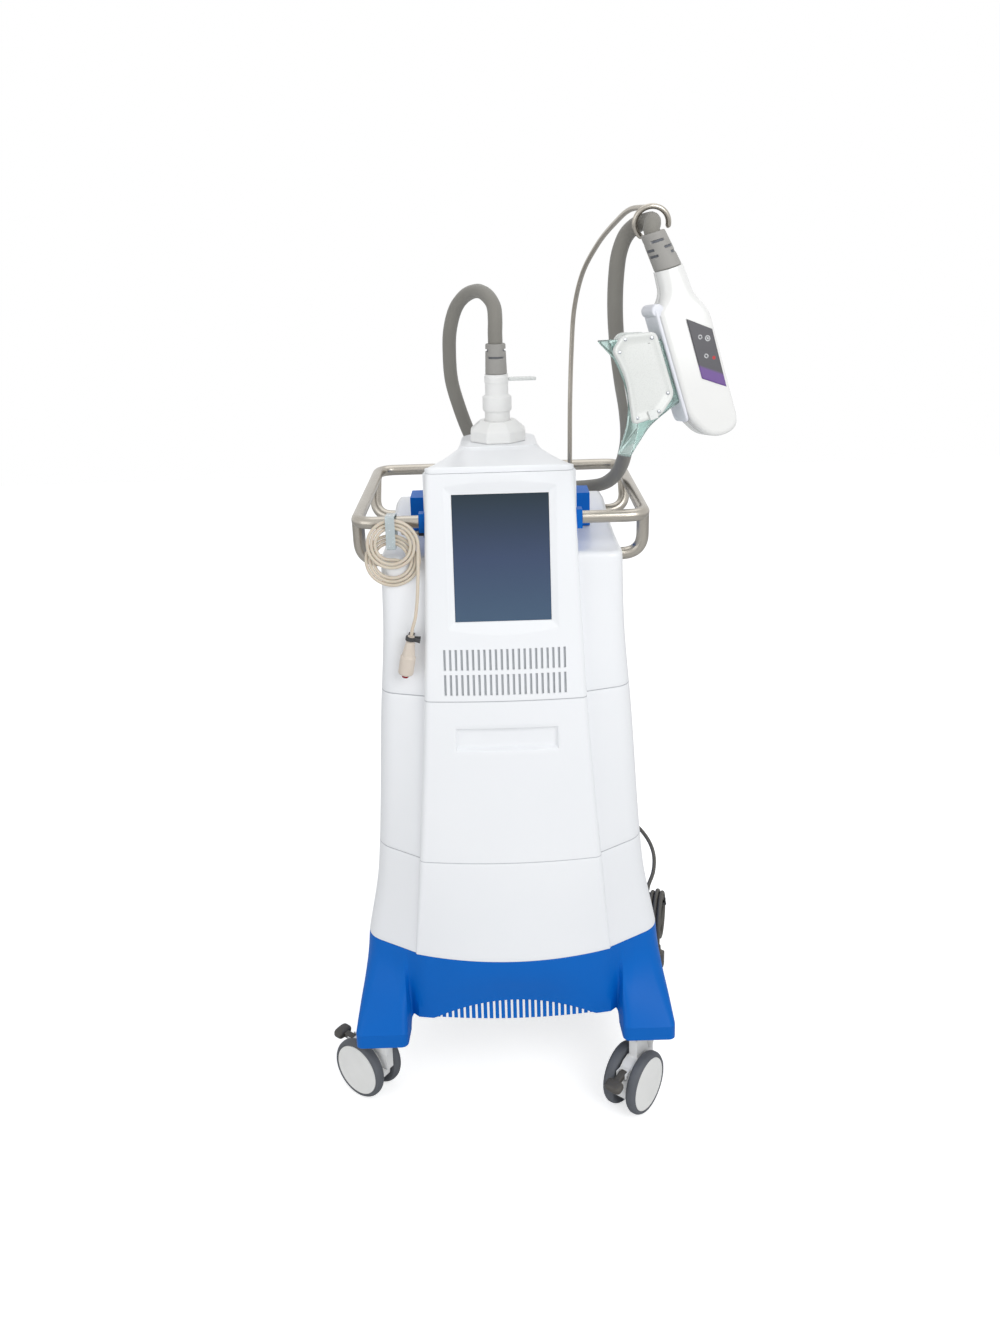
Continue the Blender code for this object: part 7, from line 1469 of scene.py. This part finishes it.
for name, caster in CASTERS.items():
    trail, axle, hub = caster_frame(*caster)
    outer_side = -math.copysign(1, caster[0][0] * trail[1])
    for label, side in (("outer", outer_side), ("inner", -outer_side)):
        centre = hub + side * HALF_TRACK * axle
        turn = np.stack([trail, np.cross(side * axle, trail), side * axle], axis=1)
        wheel = f"wheel_{name}_{label}"
        for part, profile, material in (("tyre", tyre_profile, tyre_rubber),
                                        ("disc", disc_profile, disc_nylon)):
            piece(f"{part}_{name}_{label}", lathe(profile, 96) @ turn.T + centre, material,
                  body=wheel, node=wheel)
    refined(f"caster_fork_{name}", f"caster_hood_{name}", white_nylon, 0.0025, f"caster_{name}")
for side, rise_deg, reach in PEDALS:
    trail, axle, hub = caster_frame(*CASTERS[f"front_{side}"])
    rise = math.radians(rise_deg)
    along = trail * math.cos(rise) + np.array((0, 0, math.sin(rise)))
    turn = np.stack([along, axle, np.cross(along, axle)], axis=1)
    hinge = hub + PEDAL_HINGE[0] * trail + (0, 0, PEDAL_HINGE[1])
    pad = lug(LUG_HALF, LUG_POWER) + (reach, 0, 0)
    stem = lug((0.5 * reach + 0.006, 0.0072, 0.0055), STEM_POWER) + (0.5 * reach - 0.002, 0, 0)
    points, faces = joined([pad @ turn.T + hinge, stem @ turn.T + hinge])
    piece(f"brake_pedal_{side}_nylon", points, scuffed_nylon, faces=faces, body=f"pedal_{side}",
          node=f"brake_pedal_front_{side}")


# The core, a blue moulding with its edges eased, and what stays as the CAD made it: the screen, the
# grille and the chassis, chiller, supply, tank, fan and socket inside, each in its own material.
refined("console_core", "console_core_abs", blue_abs, 0.002)
# Sheet steel, zinc plated: cool grey with a fine spangle
zinc_sheet = surfaced("zinc_plated_sheet", "#A9ADB0", "#989DA1", 3.0, 0.01, 0.36, patch_mm=12,
                      fixed={"Metallic": 1.0})
# Blow-moulded tank: milky polyethylene
milky_tank = surfaced("milky_polyethylene", "#DDE3E4", "#CFD8DA", 3.0, 0.03, 0.40, patch_mm=60)
for material, nodes in (
        (screen_glass, ("display_module",)), (blue_abs, ("intake_grille",)),
        (zinc_sheet, ("base_plate", "chiller_unit", "power_supply")), (milky_tank, ("coolant_reservoir",)),
        (black_nylon, ("fan_rotor", "call_socket"))):
    for node in nodes:
        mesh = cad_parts[node].data
        mesh.materials.clear()
        mesh.materials.append(material)


# The stage: a white sweep in a photographer's studio, lit from the front by a large soft light high
# on the right and a weaker one on the left, and from above and behind by the bright room.
KEY_WATTS, FILL_WATTS, TOP_WATTS = 50, 16, 16
ROOM_LIGHT, PAPER_GLOW = 0.56, 0.62


def soft_lamp(name, watts, size, place, aim):
    """A square area lamp that faces a point."""
    data = bpy.data.lights.new(name, "AREA")
    data.energy = watts
    data.size = size
    lamp = bpy.data.objects.new(name, data)
    bpy.context.collection.objects.link(lamp)
    facing = (Vector(aim) - Vector(place)).to_track_quat("-Z", "Y").to_matrix().to_4x4()
    lamp.matrix_world = Matrix.Translation(place) @ facing
    return lamp


key_light = soft_lamp("key_light", KEY_WATTS, 2.0, (1.5, -2.6, 2.7), (0, 0, 0.9))
fill_light = soft_lamp("fill_light", FILL_WATTS, 2.2, (-2.2, -2.2, 1.6), (0, 0, 0.8))
top_light = soft_lamp("top_light", TOP_WATTS, 2.4, (0.2, 0.6, 3.6), (0, 0, 0.8))
world = bpy.data.worlds.new("white_room")
bpy.context.scene.world = world
world.use_nodes = True
sky = world.node_tree
sky.nodes.clear()
path = add(sky, "ShaderNodeLightPath", {})
seen = add(sky, "ShaderNodeMath", {0: path.outputs["Is Camera Ray"], 1: path.outputs["Is Transmission Ray"]},
           operation="MAXIMUM")
seen = add(sky, "ShaderNodeMath", {0: seen.outputs[0], 1: path.outputs["Is Glossy Ray"]}, operation="MAXIMUM")
room = add(sky, "ShaderNodeBackground", {"Color": (0.97, 0.985, 1.0, 1), "Strength": ROOM_LIGHT})
white = add(sky, "ShaderNodeBackground", {"Color": (1, 1, 1, 1), "Strength": 1.0})
chosen = add(sky, "ShaderNodeMixShader", {0: seen.outputs[0], 1: room.outputs[0], 2: white.outputs[0]})
add(sky, "ShaderNodeOutputWorld", {"Surface": chosen.outputs[0]})
floor_mesh = bpy.data.meshes.new("floor_sweep")
floor_mesh.from_pydata([(-6, -6, 0), (6, -6, 0), (6, 6, 0), (-6, 6, 0)], [], [(0, 1, 2, 3)])
sweep = bpy.data.objects.new("floor_sweep", floor_mesh)
bpy.context.collection.objects.link(sweep)
# Paper sweep: a glow for the camera alone lifts it to white, and leaves the shadow on it
paper = bpy.data.materials.new("white_paper_sweep")
paper.use_nodes = True
tree = paper.node_tree
shader = tree.nodes["Principled BSDF"]
shader.inputs["Roughness"].default_value = 0.9
shader.inputs["Base Color"].default_value = (0.8, 0.8, 0.8, 1)
glow = add(tree, "ShaderNodeLightPath", {})
lift = add(tree, "ShaderNodeMath", {0: glow.outputs["Is Camera Ray"], 1: PAPER_GLOW}, operation="MULTIPLY")
tree.links.new(lift.outputs[0], shader.inputs["Emission Strength"])
shader.inputs["Emission Color"].default_value = (1, 1, 1, 1)
floor_mesh.materials.append(paper)
bpy.context.scene.view_settings.view_transform = "Standard"
